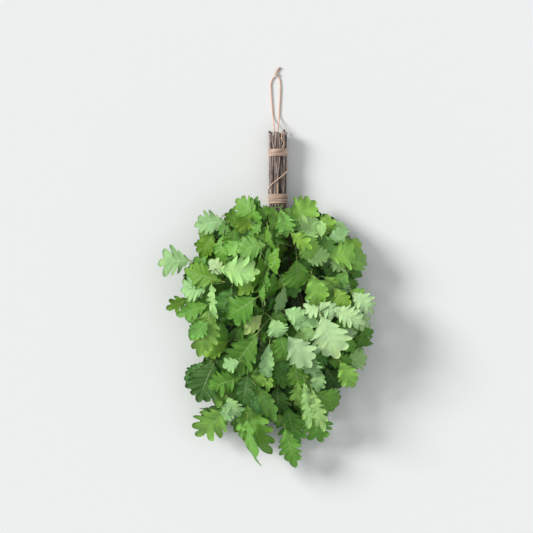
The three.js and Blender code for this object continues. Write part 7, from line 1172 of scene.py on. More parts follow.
   ((113.4, 56.6, 12.2), (130.3, 46.9, 8.7), 0.96, 0.85),
   ((130.3, 46.9, 8.7), (115.6, 32.9, 8.8), 0.95, 0.85),
   ((72.6, 54.3, 25.3), (74.3, 27.1, 22.2), 1.14, 0.98),
   ((74.3, 27.1, 22.2), (84.9, 11.1, 28.2), 1.08, 0.92),
   ((84.9, 11.1, 28.2), (99.4, 11.3, 19.6), 1.02, 0.86),
   ((72.6, 54.3, 25.3), (56.6, 52.4, 30.3), 0.85, 0.7),
   ((72.6, 54.3, 25.3), (77, 76, 30.5), 0.85, 0.7),
   ((74.3, 27.1, 22.2), (65.3, 23.7, 21.5), 0.85, 0.7),
   ((74.3, 27.1, 22.2), (76.5, 36.9, 11.1), 0.85, 0.7),
   ((72.6, 54.3, 25.3), (60.9, 72.2, 13.8), 0.85, 0.7),
   ((98.4, 56, 17.4), (100.1, 64.3, 19.6), 0.85, 0.7),
   ((72.6, 54.3, 25.3), (77.6, 50.9, 20.2), 0.85, 0.7),
   ((98.4, 56, 17.4), (92.4, 65.4, 14.9), 0.85, 0.7),
   ((72.6, 54.3, 25.3), (80, 51.5, 30.2), 0.85, 0.7),
   ((84.9, 11.1, 28.2), (70.8, 0.1, 14.9), 0.85, 0.7),
   ((130.3, 46.9, 8.7), (124.7, 47.7, 19.9), 0.85, 0.7),
   ((84.9, 11.1, 28.2), (73.7, 17.8, 37.2), 0.85, 0.7),
   ((72.6, 54.3, 25.3), (81.6, 70.3, 29), 0.85, 0.7),
  ], [
   ((72.6, 54.3, 25.3), (-0.94, 0.341, -0.03), (-0.005, 0.074, 0.997), 47.3, 26.7, 0.05, 0.12, 5, 0.28, "h", 2145),
   ((74.3, 27.1, 22.2), (0.227, 0.967, -0.113), (0.084, 0.096, 0.992), 73.9, 49.4, 0.07, 0.12, 5, 0.28, "h", 2147),
   ((106.8, 55.1, 5.4), (-0.292, 0.954, -0.073), (-0.204, 0.012, 0.979), 47.7, 32.3, -0.02, 0.12, 4, 0.33, "h", 2148),
   ((130.3, 46.9, 8.7), (-0.483, 0.875, -0.017), (-0.206, -0.094, 0.974), 56.6, 35.7, 0.06, 0.12, 4, 0.31, "c", 2150),
   ((98.4, 56, 17.4), (0.96, 0.271, 0.067), (0.039, -0.368, 0.929), 47.5, 33.5, -0.05, 0.12, 5, 0.22, "c", 2151),
   ((113.4, 56.6, 12.2), (0.969, -0.248, -0.005), (-0.057, -0.244, 0.968), 47.4, 24.8, -0.01, 0.12, 4, 0.22, "h", 2152),
   ((99.4, 11.3, 19.6), (0.948, -0.318, 0.028), (-0.026, 0.012, 1), 66.4, 35.5, 0.06, 0.12, 4, 0.34, "i", 2153),
   ((115.6, 32.9, 8.8), (0.987, 0.085, -0.138), (0.138, -0.005, 0.99), 54.5, 34.7, 0.02, 0.12, 5, 0.24, "c", 2154),
   ((84.9, 11.1, 28.2), (0.918, -0.396, -0.004), (0.056, 0.12, 0.991), 48.1, 29.8, 0.06, 0.12, 5, 0.31, "p", 2155),
   ((56.6, 52.4, 30.3), (0.166, -0.984, 0.065), (0.16, 0.092, 0.983), 48.7, 29.3, 0.02, 0.1, 4, 0.34, "b", 1018),
   ((77, 76, 30.5), (0.624, -0.781, -0.014), (0.157, 0.108, 0.982), 46.5, 30.5, 0.06, 0.1, 4, 0.28, "a", 1026),
   ((65.3, 23.7, 21.5), (0.628, -0.758, -0.179), (-0.167, -0.355, 0.92), 57, 34.1, 0.07, 0.1, 4, 0.26, "c", 1033),
   ((76.5, 36.9, 11.1), (-0.51, -0.84, 0.185), (-0.106, 0.275, 0.956), 62.6, 37.2, -0.02, 0.1, 4, 0.24, "a", 1047),
   ((60.9, 72.2, 13.8), (-0.417, -0.906, -0.074), (0.226, -0.182, 0.957), 60.6, 36.6, 0.06, 0.1, 4, 0.27, "b", 1051),
   ((100.1, 64.3, 19.6), (0.556, -0.83, -0.043), (0.213, 0.092, 0.973), 61.9, 33.7, 0.03, 0.1, 4, 0.27, "a", 1088),
   ((77.6, 50.9, 20.2), (0.613, -0.785, -0.092), (-0.168, -0.244, 0.955), 57.6, 31.5, -0.01, 0.1, 4, 0.26, "a", 1103),
   ((92.4, 65.4, 14.9), (0.694, -0.719, -0.042), (-0.005, -0.063, 0.998), 59.3, 38.5, 0.08, 0.1, 4, 0.32, "a", 1106),
   ((80, 51.5, 30.2), (0.7, -0.647, -0.304), (0.088, -0.344, 0.935), 49.3, 29.4, 0.05, 0.1, 4, 0.32, "c", 1130),
   ((70.8, 0.1, 14.9), (0.594, -0.804, -0.036), (-0.191, -0.184, 0.964), 68.1, 40, 0.04, 0.1, 4, 0.26, "a", 1138),
   ((124.7, 47.7, 19.9), (0.491, -0.816, 0.306), (-0.176, 0.251, 0.952), 52.9, 34.7, 0.05, 0.1, 4, 0.27, "a", 1166),
   ((73.7, 17.8, 37.2), (0.906, -0.423, -0.012), (0.033, 0.042, 0.999), 50.8, 31.1, -0.02, 0.1, 4, 0.25, "c", 1187),
   ((81.6, 70.3, 29), (-0.31, -0.942, -0.129), (0.05, -0.152, 0.987), 62.3, 34.2, -0.01, 0.1, 4, 0.32, "a", 1206),
  ]),
]

# A stem is (place in the handle, radius, route from the handle to its shoot).
STEMS = [
 ((0, 13.9), 2.3, [(18.9, 89.3, 42), (16.3, 75, 54.3), (12.8, 61, 70.7), (8.8, 47.3, 90)]),
 ((5.02, 12.96), 2.3, [(31.5, 78.8, 41.7), (43.8, 52.3, 53.9), (58.5, 25.7, 70.4), (75.4, -1.2, 90)]),
 ((9.36, 10.27), 2.3, [(33.2, 99.7, 32.4), (36.2, 95.6, 34.4), (40.4, 91.7, 37.8), (45.6, 88, 42)]),
 ((12.44, 6.2), 2.3, [(38.4, 87.4, 29.5), (46.2, 70.1, 34.1), (56.3, 52.3, 40.8), (68, 34.2, 48.8)]),
 ((13.84, 1.28), 2.3, [(40.7, 93.8, 21.7), (47.1, 82.8, 22), (56, 71.9, 23.1), (66.6, 60.9, 24.7)]),
 ((13.37, -3.8), 2.3, [(34.5, 99.6, 15), (34.1, 96.1, 16), (34.3, 92.1, 17.1), (35, 87.9, 18.2)]),
 ((11.09, -8.38), 2.3, [(44.6, 82.4, 7.6), (63.1, 60.8, 8.4), (87.2, 39.6, 8.4), (115.3, 18.7, 8)]),
 ((7.32, -11.82), 2.3, [(34.1, 70.8, 7.6), (42.2, 36, 9), (53, -0.9, 10.9), (65.5, -39.4, 13.4)]),
 ((2.55, -13.66), 2.3, [(26.1, 36.2, 6), (29.9, -35, 7.8), (35.1, -111.2, 10.1), (41.1, -190.9, 12.9)]),
 ((-2.55, -13.66), 2.3, [(15.9, 85, 4.2), (12.1, 65.1, 3.8), (6.4, 44, 3.5), (-1, 22.3, 5.4)]),
 ((-7.32, -11.82), 2.3, [(4.7, 35.6, 9.5), (-6.7, -36.3, 11.1), (-21.9, -112.9, 13.5), (-39.8, -192.8, 16.5)]),
 ((-11.09, -8.38), 2.3, [(-0.5, 43.7, 13), (-13.5, -19.6, 16.6), (-30.6, -86.9, 21.4), (-50.9, -157.1, 26.9)]),
 ((-13.37, -3.8), 2.3, [(-0.2, 97.9, 14.6), (-10, 92.8, 15.4), (-22.9, 89, 16.3), (-38.1, 86.2, 17.2)]),
 ((-13.84, 1.28), 2.3, [(-7.2, 76.5, 21.1), (-25.6, 48.8, 22.4), (-49.9, 20.7, 24.2), (-78.5, -7.6, 26.4)]),
 ((-12.44, 6.2), 2.3, [(-0.5, 79.3, 31.5), (-11.1, 54.3, 41.5), (-25.4, 28.6, 54.7), (-42.3, 2.5, 70)]),
 ((-9.36, 10.27), 2.3, [(5.4, 96.2, 34.8), (-2.2, 89.1, 42.7), (-12.1, 83.3, 53.1), (-23.9, 78.4, 65.4)]),
 ((-5.02, 12.96), 2.3, [(11.6, 98, 38.5), (6, 93.2, 47.1), (-1.4, 90.1, 58.7), (-10, 88, 72.3)]),
 ((1.94, 7.24), 2.8, [(33.3, 49.3, 36.3), (47.3, -7.6, 50.1), (65.8, -67.6, 68.4), (87.6, -129.6, 90)]),
 ((7.24, 1.94), 2.8, [(38, 59.9, 28.4), (51.2, 14.1, 38.6), (68.9, -34.1, 52.2), (89.6, -83.9, 68.2)]),
 ((5.3, -5.3), 2.8, [(36.7, 49.4, 14.3), (50.7, -7.6, 15.7), (69.5, -68.1, 17.2), (91.6, -131.1, 19.2)]),
 ((-1.94, -7.24), 2.8, [(20.9, 59, 15.7), (23.6, 11.7, 21.6), (27.3, -38.8, 29.4), (31.6, -91.6, 38.5)]),
 ((-7.24, -1.94), 2.8, [(5.9, 70.4, 20.5), (-4, 35.3, 25.8), (-17.1, -1.7, 32.7), (-32.5, -40, 40.9)]),
 ((-5.3, 5.3), 2.8, [(11, 68.9, 34.7), (5.4, 32.7, 48.9), (-2.2, -5.2, 67.8), (-11, -44.3, 90)]),
 ((0, 0), 3.3, [(14.5, 48, 30.2), (6.4, -10.4, 45.6), (-4.4, -72.2, 66), (-17, -136.3, 90)]),
]


# ---- mesh helpers ------------------------------------------------------------------
def srgb(c):
    c = np.asarray(c, float) / 255.0
    return np.where(c <= 0.04045, c / 12.92, ((c + 0.055) / 1.055) ** 2.4)


class Builder:
    """Collects vertices, faces, UVs, colours and material numbers for one piece."""
    def __init__(self):
        self.v, self.f, self.uv, self.c, self.m, self.n = [], [], [], [], [], 0

    def add(self, verts, faces, uv, col, mat):
        self.v.append(np.asarray(verts, float)); self.uv.append(np.asarray(uv, float))
        self.c.append(np.asarray(col, float) if np.ndim(col) == 2 else np.tile(np.asarray(col, float), (len(verts), 1)))
        self.f += [tuple(int(i) + self.n for i in q) for q in faces]
        self.m += [mat] * len(faces) if np.ndim(mat) == 0 else list(mat)
        self.n += len(verts)

    def make(self, name, mats, shift=True, smooth=True):
        v = (np.concatenate(self.v) + (SHIFT if shift else 0)) * MM
        me = bpy.data.meshes.new(name)
        me.from_pydata(v.tolist(), [], self.f)
        uv = np.concatenate(self.uv); col = np.concatenate(self.c)
        li = np.zeros(len(me.loops), np.int32); me.loops.foreach_get("vertex_index", li)
        lay = me.uv_layers.new(name="UVMap"); lay.data.foreach_set("uv", uv[li].astype(np.float32).ravel())
        at = me.color_attributes.new(name="tone", type="FLOAT_COLOR", domain="POINT")
        at.data.foreach_set("color", np.c_[col, np.ones(len(col))].astype(np.float32).ravel())
        for m in mats: me.materials.append(m)
        me.polygons.foreach_set("material_index", np.array(self.m, np.int32))
        me.polygons.foreach_set("use_smooth", np.full(len(me.polygons), smooth))
        me.update()
        o = bpy.data.objects.new(name, me)
        scene.collection.objects.link(o)
        return o


def frames(path):
    """Tangent and two normals along a path, carried without twist."""
    P = np.asarray(path, float); T = np.gradient(P, axis=0); T /= np.linalg.norm(T, axis=1)[:, None]
    n = np.cross(T[0], [0.13, 0.21, 1.0]); n /= np.linalg.norm(n); N = [n]
    for i in range(1, len(P)):
        n = N[-1] - T[i] * np.dot(N[-1], T[i]); N.append(n / np.linalg.norm(n))
    N = np.array(N)
    return T, N, np.cross(T, N)


def tube(b, path, radius, sides, col, mat, uvscale=0.01, lobes=0, twist=0.0, amp=0.0, flat=None, cap_mat=None, cap_col=None, bump=None, squash=None):
    """A closed tube. lobes, twist and amp make the plies of a twisted twine."""
    P = np.asarray(path, float); n = len(P); T, N, B = frames(P)
    s = np.r_[0, np.cumsum(np.linalg.norm(np.diff(P, axis=0), axis=1))]
    R = np.broadcast_to(np.asarray(radius, float), (n,))
    h = np.arange(sides) * 2 * np.pi / sides
    r = R[:, None] * np.ones(sides)[None]
    if lobes:
        r = r * (1 - amp + amp * 2 * np.abs(np.cos((lobes * (h[None] - s[:, None] * twist)) / 2)) ** 0.8 * 0.75)
    if bump is not None: r = r * bump(s[:, None], h[None])
    off = N[:, None] * (r * np.cos(h))[..., None] + B[:, None] * (r * np.sin(h))[..., None]
    if squash is not None: off = squash(off, P)
    V = (P[:, None] + off).reshape(-1, 3)
    U = np.stack([np.broadcast_to(s[:, None] * uvscale, (n, sides)), np.broadcast_to((h / (2 * np.pi))[None], (n, sides))], 2).reshape(-1, 2)
    idx = np.arange(n * sides).reshape(n, sides); nx = np.roll(idx, -1, 1)
    F = np.stack([idx[:-1], nx[:-1], nx[1:], idx[1:]], 2).reshape(-1, 4)
    C = np.tile(np.asarray(col, float), (len(V), 1)) if np.ndim(col) == 1 else np.repeat(col, sides, 0)
    b.add(V, F, U, C, mat)
    for end, ring in ((0, idx[0][::-1]), (n - 1, idx[-1])):
        c = P[end] + (T[end] * (0.25 if end else -0.25)) * min(R[end], 2.0)
        k = len(ring); rv = V[ring]
        vv = np.vstack([rv, (rv * 0.45 + c * 0.55), [c]])
        ff = [(i, (i + 1) % k, k + (i + 1) % k, k + i) for i in range(k)] + [(k + i, k + (i + 1) % k, 2 * k) for i in range(k)]
        uu = np.vstack([np.c_[0.5 + 0.5 * np.cos(h), 0.5 + 0.5 * np.sin(h)], np.c_[0.5 + 0.22 * np.cos(h), 0.5 + 0.22 * np.sin(h)], [[0.5, 0.5]]])
        b.add(vv, ff, uu, col if (cap_col is None and np.ndim(col) == 1) else (cap_col if cap_col is not None else C[0]), mat if cap_mat is None else cap_mat)


def smooth_path(pts, step):
    """A Catmull-Rom line through the points, sampled evenly."""
    P = np.asarray(pts, float); Q = np.vstack([2 * P[0] - P[1], P, 2 * P[-1] - P[-2]]); out = []
    for i in range(1, len(Q) - 2):
        p0, p1, p2, p3 = Q[i - 1:i + 3]
        d = [max(1e-6, np.linalg.norm(b - a)) ** 0.5 for a, b in ((p0, p1), (p1, p2), (p2, p3))]
        t0 = 0; t1 = d[0]; t2 = t1 + d[1]; t3 = t2 + d[2]
        for t in np.linspace(t1, t2, 16, endpoint=False):
            a1 = (t1 - t) / (t1 - t0) * p0 + (t - t0) / (t1 - t0) * p1; a2 = (t2 - t) / (t2 - t1) * p1 + (t - t1) / (t2 - t1) * p2
            a3 = (t3 - t) / (t3 - t2) * p2 + (t - t2) / (t3 - t2) * p3
            b1 = (t2 - t) / (t2 - t0) * a1 + (t - t0) / (t2 - t0) * a2; b2 = (t3 - t) / (t3 - t1) * a2 + (t - t1) / (t3 - t1) * a3
            out.append((t2 - t) / (t2 - t1) * b1 + (t - t1) / (t2 - t1) * b2)
    out.append(P[-1]); A = np.array(out)
    s = np.r_[0, np.cumsum(np.linalg.norm(np.diff(A, axis=0), axis=1))]; n = max(3, int(round(s[-1] / step)) + 1)
    q = np.linspace(0, s[-1], n)
    return np.stack([np.interp(q, s, A[:, k]) for k in range(3)], 1)


# ---- materials ---------------------------------------------------------------------
class Nodes:
    def __init__(self, name):
        self.m = bpy.data.materials.new(name); self.m.use_nodes = True
        self.t = self.m.node_tree; self.b = self.t.nodes["Principled BSDF"]

    def n(self, kind, **kw):
        x = self.t.nodes.new(kind)
        for k, v in kw.items():
            if k.startswith("i_"):
                x.inputs[k[2:].replace("_", " ") if k[2:].replace("_", " ") in x.inputs else int(k[2:])].default_value = v
            else: setattr(x, k, v)
        return x

    def l(self, a, b): self.t.links.new(a, b)

    def math(self, op, a, b=None, clamp=False):
        x = self.t.nodes.new("ShaderNodeMath"); x.operation = op; x.use_clamp = clamp
        for i, v in enumerate((a, b)):
            if v is None: continue
            if isinstance(v, (int, float)): x.inputs[i].default_value = v
            else: self.l(v, x.inputs[i])
        return x.outputs[0]

    def mix(self, fac, a, b, mode="MIX"):
        x = self.t.nodes.new("ShaderNodeMix"); x.data_type = "RGBA"; x.blend_type = mode
        for i, v in ((0, fac), (6, a), (7, b)):
            if isinstance(v, (int, float)): x.inputs[i].default_value = v
            elif isinstance(v, (tuple, list)): x.inputs[i].default_value = (*v, 1)
            else: self.l(v, x.inputs[i])
        return x.outputs[2]

    def range(self, v, a, b, c=0.0, d=1.0):
        x = self.t.nodes.new("ShaderNodeMapRange"); x.interpolation_type = "SMOOTHSTEP"
        self.l(v, x.inputs[0])
        for i, k in enumerate((a, b, c, d)): x.inputs[i + 1].default_value = k
        return x.outputs[0]

    def noise(self, vec, scale, detail=3.0, rough=0.55):
        x = self.t.nodes.new("ShaderNodeTexNoise"); self.l(vec, x.inputs["Vector"])
        x.inputs["Scale"].default_value = scale; x.inputs["Detail"].default_value = detail; x.inputs["Roughness"].default_value = rough
        return x.outputs["Fac"]

    def bump(self, height, strength, dist, normal=None):
        x = self.t.nodes.new("ShaderNodeBump"); self.l(height, x.inputs["Height"])
        x.inputs["Strength"].default_value = strength; x.inputs["Distance"].default_value = dist
        if normal is not None: self.l(normal, x.inputs["Normal"])
        return x.outputs["Normal"]


def leaf_material(name, rough, spec, vein, veinfac, relief):
    k = Nodes(name)
    tone = k.n("ShaderNodeAttribute", attribute_name="tone").outputs["Color"]
    uv = k.n("ShaderNodeUVMap", uv_map="UVMap").outputs["UV"]
    sep = k.n("ShaderNodeSeparateXYZ"); k.l(uv, sep.inputs[0])
    pos = k.n("ShaderNodeTexCoord").outputs["Object"]
    phi = k.math("MULTIPLY", sep.outputs["X"], 16.0)
    av = sep.outputs["Y"]
    fr = k.math("ABSOLUTE", k.math("SUBTRACT", k.math("FRACT", phi), 0.5))
    lat = k.math("MULTIPLY", k.range(fr, 0.085, 0.02), k.range(av, 1.0, 0.25))
    mid = k.range(av, 0.06, 0.018)
    vb = k.math("MAXIMUM", mid, k.math("MULTIPLY", lat, 0.62))
    # small side veins between the main ones
    third = k.math("ABSOLUTE", k.math("SUBTRACT", k.math("FRACT", k.math("ADD", k.math("MULTIPLY", av, 7.0), k.math("MULTIPLY", fr, 5.0))), 0.5))
    net = k.math("MULTIPLY", k.range(third, 0.14, 0.03), 0.22)
    vor = k.n("ShaderNodeTexVoronoi", feature="DISTANCE_TO_EDGE"); k.l(pos, vor.inputs["Vector"]); vor.inputs["Scale"].default_value = 420.0
    cells = k.range(vor.outputs["Distance"], 0.12, 0.0)
    big = k.noise(pos, 26.0, 3.0); fine = k.noise(pos, 210.0, 4.0, 0.65)
    shade = k.math("ADD", k.math("MULTIPLY", big, 0.34), k.math("MULTIPLY", fine, 0.26))
    shade = k.math("ADD", shade, 0.70)
    c = k.mix(1.0, tone, k.n("ShaderNodeCombineColor").outputs[0], "MULTIPLY")
    comb = k.t.nodes[-1]
    for n in k.t.nodes:
        if n.bl_idname == "ShaderNodeCombineColor":
            for s in range(3): k.l(shade, n.inputs[s])
    yel = k.mix(k.math("MULTIPLY", k.range(big, 0.52, 0.72), 0.30), c, k.mix(1.0, c, (1.22, 1.06, 0.62), "MULTIPLY"))
    # Paler, yellower band along the leaf margin: a painted edge highlight.
    edge = k.mix(k.math("MULTIPLY", k.range(av, 0.86, 1.0), 0.28), yel, k.mix(1.0, yel, (1.16, 1.12, 0.86), "MULTIPLY"))
    veined = k.mix(k.math("MULTIPLY", k.math("MAXIMUM", vb, net), veinfac), edge, vein)
    dark = k.mix(k.math("MULTIPLY", cells, 0.10), veined, k.mix(1.0, veined, (0.6, 0.66, 0.55), "MULTIPLY"))
    k.l(dark, k.b.inputs["Base Color"])
    k.l(k.math("ADD", k.math("MULTIPLY", fine, 0.18), rough - 0.09), k.b.inputs["Roughness"])
    k.b.inputs["Specular IOR Level"].default_value = spec
    k.b.inputs["Sheen Weight"].default_value = 0.0
    h = k.math("ADD", k.math("MULTIPLY", k.math("MAXIMUM", vb, k.math("MULTIPLY", net, 1.4)), relief), k.math("ADD", k.math("MULTIPLY", fine, 0.35), k.math("MULTIPLY", cells, -0.12)))
    k.l(k.bump(h, 0.55, 0.0007), k.b.inputs["Normal"])
    return k.m


def bark_material():
    k = Nodes("oak_bark")
    tone = k.n("ShaderNodeAttribute", attribute_name="tone").outputs["Color"]
    pos = k.n("ShaderNodeTexCoord").outputs["Object"]
    mp = k.n("ShaderNodeMapping"); k.l(pos, mp.inputs["Vector"]); mp.inputs["Scale"].default_value = (1.0, 0.16, 1.0)
    long = k.noise(mp.outputs[0], 900.0, 5.0, 0.7); big = k.noise(pos, 70.0, 4.0, 0.6); fine = k.noise(pos, 1400.0, 3.0, 0.6)
    g = k.math("ADD", k.math("MULTIPLY", long, 0.9), k.math("MULTIPLY", big, 0.8)); g = k.math("ADD", g, 0.12)
    comb = k.n("ShaderNodeCombineColor")
    for s in range(3): k.l(g, comb.inputs[s])
    c = k.mix(1.0, tone, comb.outputs[0], "MULTIPLY")
    lich = k.mix(k.math("MULTIPLY", k.range(k.noise(pos, 160.0, 5.0, 0.7), 0.56, 0.70), 0.55), c, (0.30, 0.27, 0.24))
    vor = k.n("ShaderNodeTexVoronoi"); k.l(pos, vor.inputs["Vector"]); vor.inputs["Scale"].default_value = 260.0
    dots = k.range(vor.outputs["Distance"], 0.16, 0.07)
    lent = k.mix(k.math("MULTIPLY", dots, 0.5), lich, (0.34, 0.27, 0.20))
    k.l(lent, k.b.inputs["Base Color"])
    k.b.inputs["Roughness"].default_value = 0.78
    k.b.inputs["Specular IOR Level"].default_value = 0.35
    h = k.math("ADD", k.math("MULTIPLY", long, 1.0), k.math("ADD", k.math("MULTIPLY", dots, 0.4), k.math("MULTIPLY", fine, 0.3)))
    k.l(k.bump(h, 0.8, 0.0005), k.b.inputs["Normal"])
    return k.m


def cut_material():
    k = Nodes("cut_wood")
    uv = k.n("ShaderNodeUVMap", uv_map="UVMap").outputs["UV"]
    sub = k.n("ShaderNodeVectorMath", operation="SUBTRACT"); k.l(uv, sub.inputs[0]); sub.inputs[1].default_value = (0.5, 0.5, 0)
    ln = k.n("ShaderNodeVectorMath", operation="LENGTH"); k.l(sub.outputs[0], ln.inputs[0])
    pos = k.n("ShaderNodeTexCoord").outputs["Object"]
    wob = k.math("ADD", ln.outputs["Value"], k.math("MULTIPLY", k.noise(pos, 500.0), 0.06))
    ring = k.math("SINE", k.math("MULTIPLY", wob, 70.0))
    c = k.mix(k.math("MULTIPLY", k.math("ADD", ring, 1.0), 0.22), (0.40, 0.29, 0.18), (0.22, 0.14, 0.08))
    c = k.mix(k.range(ln.outputs["Value"], 0.10, 0.04), c, (0.16, 0.10, 0.06))
    c = k.mix(k.range(ln.outputs["Value"], 0.42, 0.48), c, (0.06, 0.045, 0.035))
    c = k.mix(k.math("MULTIPLY", k.noise(pos, 1200.0), 0.5), c, (0.20, 0.14, 0.10))
    k.l(c, k.b.inputs["Base Color"]); k.b.inputs["Roughness"].default_value = 0.85
    k.l(k.bump(k.math("ADD", ring, k.noise(pos, 1800.0)), 0.4, 0.0003), k.b.inputs["Normal"])
    return k.m


def shoot_material():
    k = Nodes("green_shoot")
    tone = k.n("ShaderNodeAttribute", attribute_name="tone").outputs["Color"]
    pos = k.n("ShaderNodeTexCoord").outputs["Object"]
    a = k.noise(pos, 120.0, 4.0); f = k.noise(pos, 900.0, 3.0)
    c = k.mix(k.range(a, 0.40, 0.65), tone, k.mix(1.0, tone, (0.80, 0.74, 0.60), "MULTIPLY"))
    c = k.mix(k.math("MULTIPLY", k.range(f, 0.55, 0.7), 0.2), c, (0.30, 0.32, 0.16))
    k.l(c, k.b.inputs["Base Color"]); k.b.inputs["Roughness"].default_value = 0.5
    k.l(k.bump(f, 0.4, 0.0003), k.b.inputs["Normal"])
    return k.m


def twine_material(name, light, groove_shade):
    k = Nodes(name)
    tone = k.n("ShaderNodeAttribute", attribute_name="tone").outputs["Color"]
    uv = k.n("ShaderNodeUVMap", uv_map="UVMap").outputs["UV"]
    pos = k.n("ShaderNodeTexCoord").outputs["Object"]
    sep = k.n("ShaderNodeSeparateXYZ"); k.l(uv, sep.inputs[0])
    ply = k.math("FRACT", k.math("SUBTRACT", k.math("MULTIPLY", sep.outputs["Y"], 3.0), k.math("MULTIPLY", sep.outputs["X"], 100.0 * 3 * TWIST / (2 * math.pi))))
    edge = k.math("ABSOLUTE", k.math("SUBTRACT", ply, 0.5))          # 0.5 on the crown, 0 in the groove
    mp = k.n("ShaderNodeCombineXYZ")
    k.l(k.math("MULTIPLY", ply, 9.0), mp.inputs[0]); k.l(k.math("MULTIPLY", sep.outputs["X"], 14.0), mp.inputs[1])
    fib = k.noise(mp.outputs[0], 3.2, 5.0, 0.7); spk = k.noise(pos, 1500.0, 3.0, 0.7); big = k.noise(pos, 90.0, 3.0)
    # Dark in the grooves between the plies and jute colour on the crowns: the groove colour is painted shade.
    c = k.mix(k.range(edge, 0.02, 0.26), groove_shade, light)
    c = k.mix(1.0, c, tone, "MULTIPLY")
    c = k.mix(k.math("MULTIPLY", k.range(fib, 0.42, 0.66), 0.5), c, k.mix(1.0, c, (1.35, 1.33, 1.28), "MULTIPLY"))
    c = k.mix(k.math("MULTIPLY", k.range(spk, 0.5, 0.62), 0.45), c, k.mix(1.0, c, (0.62, 0.55, 0.48), "MULTIPLY"))
    c = k.mix(k.math("MULTIPLY", k.range(big, 0.4, 0.7), 0.35), c, k.mix(1.0, c, (0.82, 0.78, 0.72), "MULTIPLY"))
    k.l(c, k.b.inputs["Base Color"]); k.b.inputs["Roughness"].default_value = 0.92
    k.b.inputs["Specular IOR Level"].default_value = 0.2
    k.b.inputs["Sheen Weight"].default_value = 0.35; k.b.inputs["Sheen Roughness"].default_value = 0.6
    h = k.math("ADD", k.math("MULTIPLY", k.range(edge, 0.0, 0.35), 1.0), k.math("ADD", k.math("MULTIPLY", fib, 0.5), k.math("MULTIPLY", spk, 0.35)))
    k.l(k.bump(h, 0.7, 0.0004), k.b.inputs["Normal"])
    return k.m


TWIST = 2 * math.pi / 7.5      # one turn of the plies every 7.5 mm
UPPER = leaf_material("leaf_upper", 0.48, 0.34, (0.42, 0.56, 0.24), 0.34, -0.8)
UNDER = leaf_material("leaf_underside", 0.66, 0.20, (0.60, 0.70, 0.44), 0.42, 1.2)
BARK, CUT, SHOOT = bark_material(), cut_material(), shoot_material()
# The second colour is the painted shade in the grooves between the plies.
JUTE = twine_material("jute", (0.74, 0.52, 0.41), (0.14, 0.08, 0.055))

# ---- leaves -------------------------------------------------------------------------
# Leaf colours. p and q are near-black greens for the inner and filler leaves: painted shade for the dark depths of the
# bunch. m is an extra-bright pale green for a few leaves that lie in the shade of others: painted light that lifts
# them.
COLOURS = {"a": (56, 100, 35), "b": (80, 132, 44), "c": (96, 150, 58), "d": (126, 178, 86), "e": (136, 184, 82), "f": (112, 168, 84),
           "g": (90, 148, 76), "h": (160, 208, 124), "i": (148, 196, 128), "j": (176, 214, 154), "k": (176, 208, 122), "o": (104, 150, 42),
           "m": (184, 238, 158), "p": (30, 56, 17), "q": (42, 76, 24)}
PALE = set("hijkm")
NT, NV = 50, 4                  # steps along the margin, steps from the midrib to the margin


def half_leaf(rng, L, W, lobes, depth, nt):
    """One half of an oak leaf, as spokes from the midrib: anchor, x, y, vein phase, lobe height."""
    tau = np.linspace(0, 1, nt + 1)
    end = lobes + 0.5
    wid = np.r_[rng.uniform(0.85, 1.15, lobes) * np.linspace(0.85, 1.08, lobes), 0.72]
    ph = np.interp(tau, np.r_[0, np.cumsum(wid)] / wid.sum(), np.r_[np.arange(lobes + 1), end])
    xo = 0.085 + 0.665 * tau ** 0.97
    ang = np.radians(np.interp(tau, [0, 0.12, 0.40, 0.62, 0.78, 0.90, 1], [50, 68, 69, 62, 47, 25, 0]))
    wide = W / 2 / 0.93
    tip = 0.25 * L / wide
    env = np.interp(tau, [0, 0.07, 0.16, 0.28, 0.40, 0.52, 0.64, 0.76, 0.88, 1],
                    np.array([0.04, 0.24, 0.44, 0.70, 0.91, 1.0, 1.0, 0.3 * tip + 0.66, 0.7 * tip + 0.27, tip]))
    env = np.convolve(np.pad(env, 3, mode="edge"), np.ones(7) / 7, "valid"); env[0] = 0.03
    s = np.clip((np.sqrt(np.sin(np.pi * ph) ** 2 + 0.03) - 0.1732) / 0.842, 0, 1)
    p = 1 - (1 - s) ** 1.7
    size = np.r_[rng.uniform(0.86, 1.14, lobes), 1.0, 1.0][np.clip(np.floor(ph).astype(int), 0, lobes + 1)]
    dip = np.r_[rng.uniform(0.7, 1.25, lobes + 1), 1.0][np.clip(np.round(ph).astype(int), 0, lobes + 1)]
    dd = np.clip(depth * np.interp(tau, [0, 0.2, 0.55, 0.8, 1], [0.6, 1.0, 1.45, 1.15, 0.9]) * dip, 0, 0.72)
    r = wide * env * (1 - dd * (1 - p)) * (1 + (size - 1) * p * np.interp(tau, [0, 0.8, 1], [1, 0.6, 0]))
    return xo, xo + r * np.cos(ang) / L, r * np.sin(ang) / L, ph - end + 8.5, p


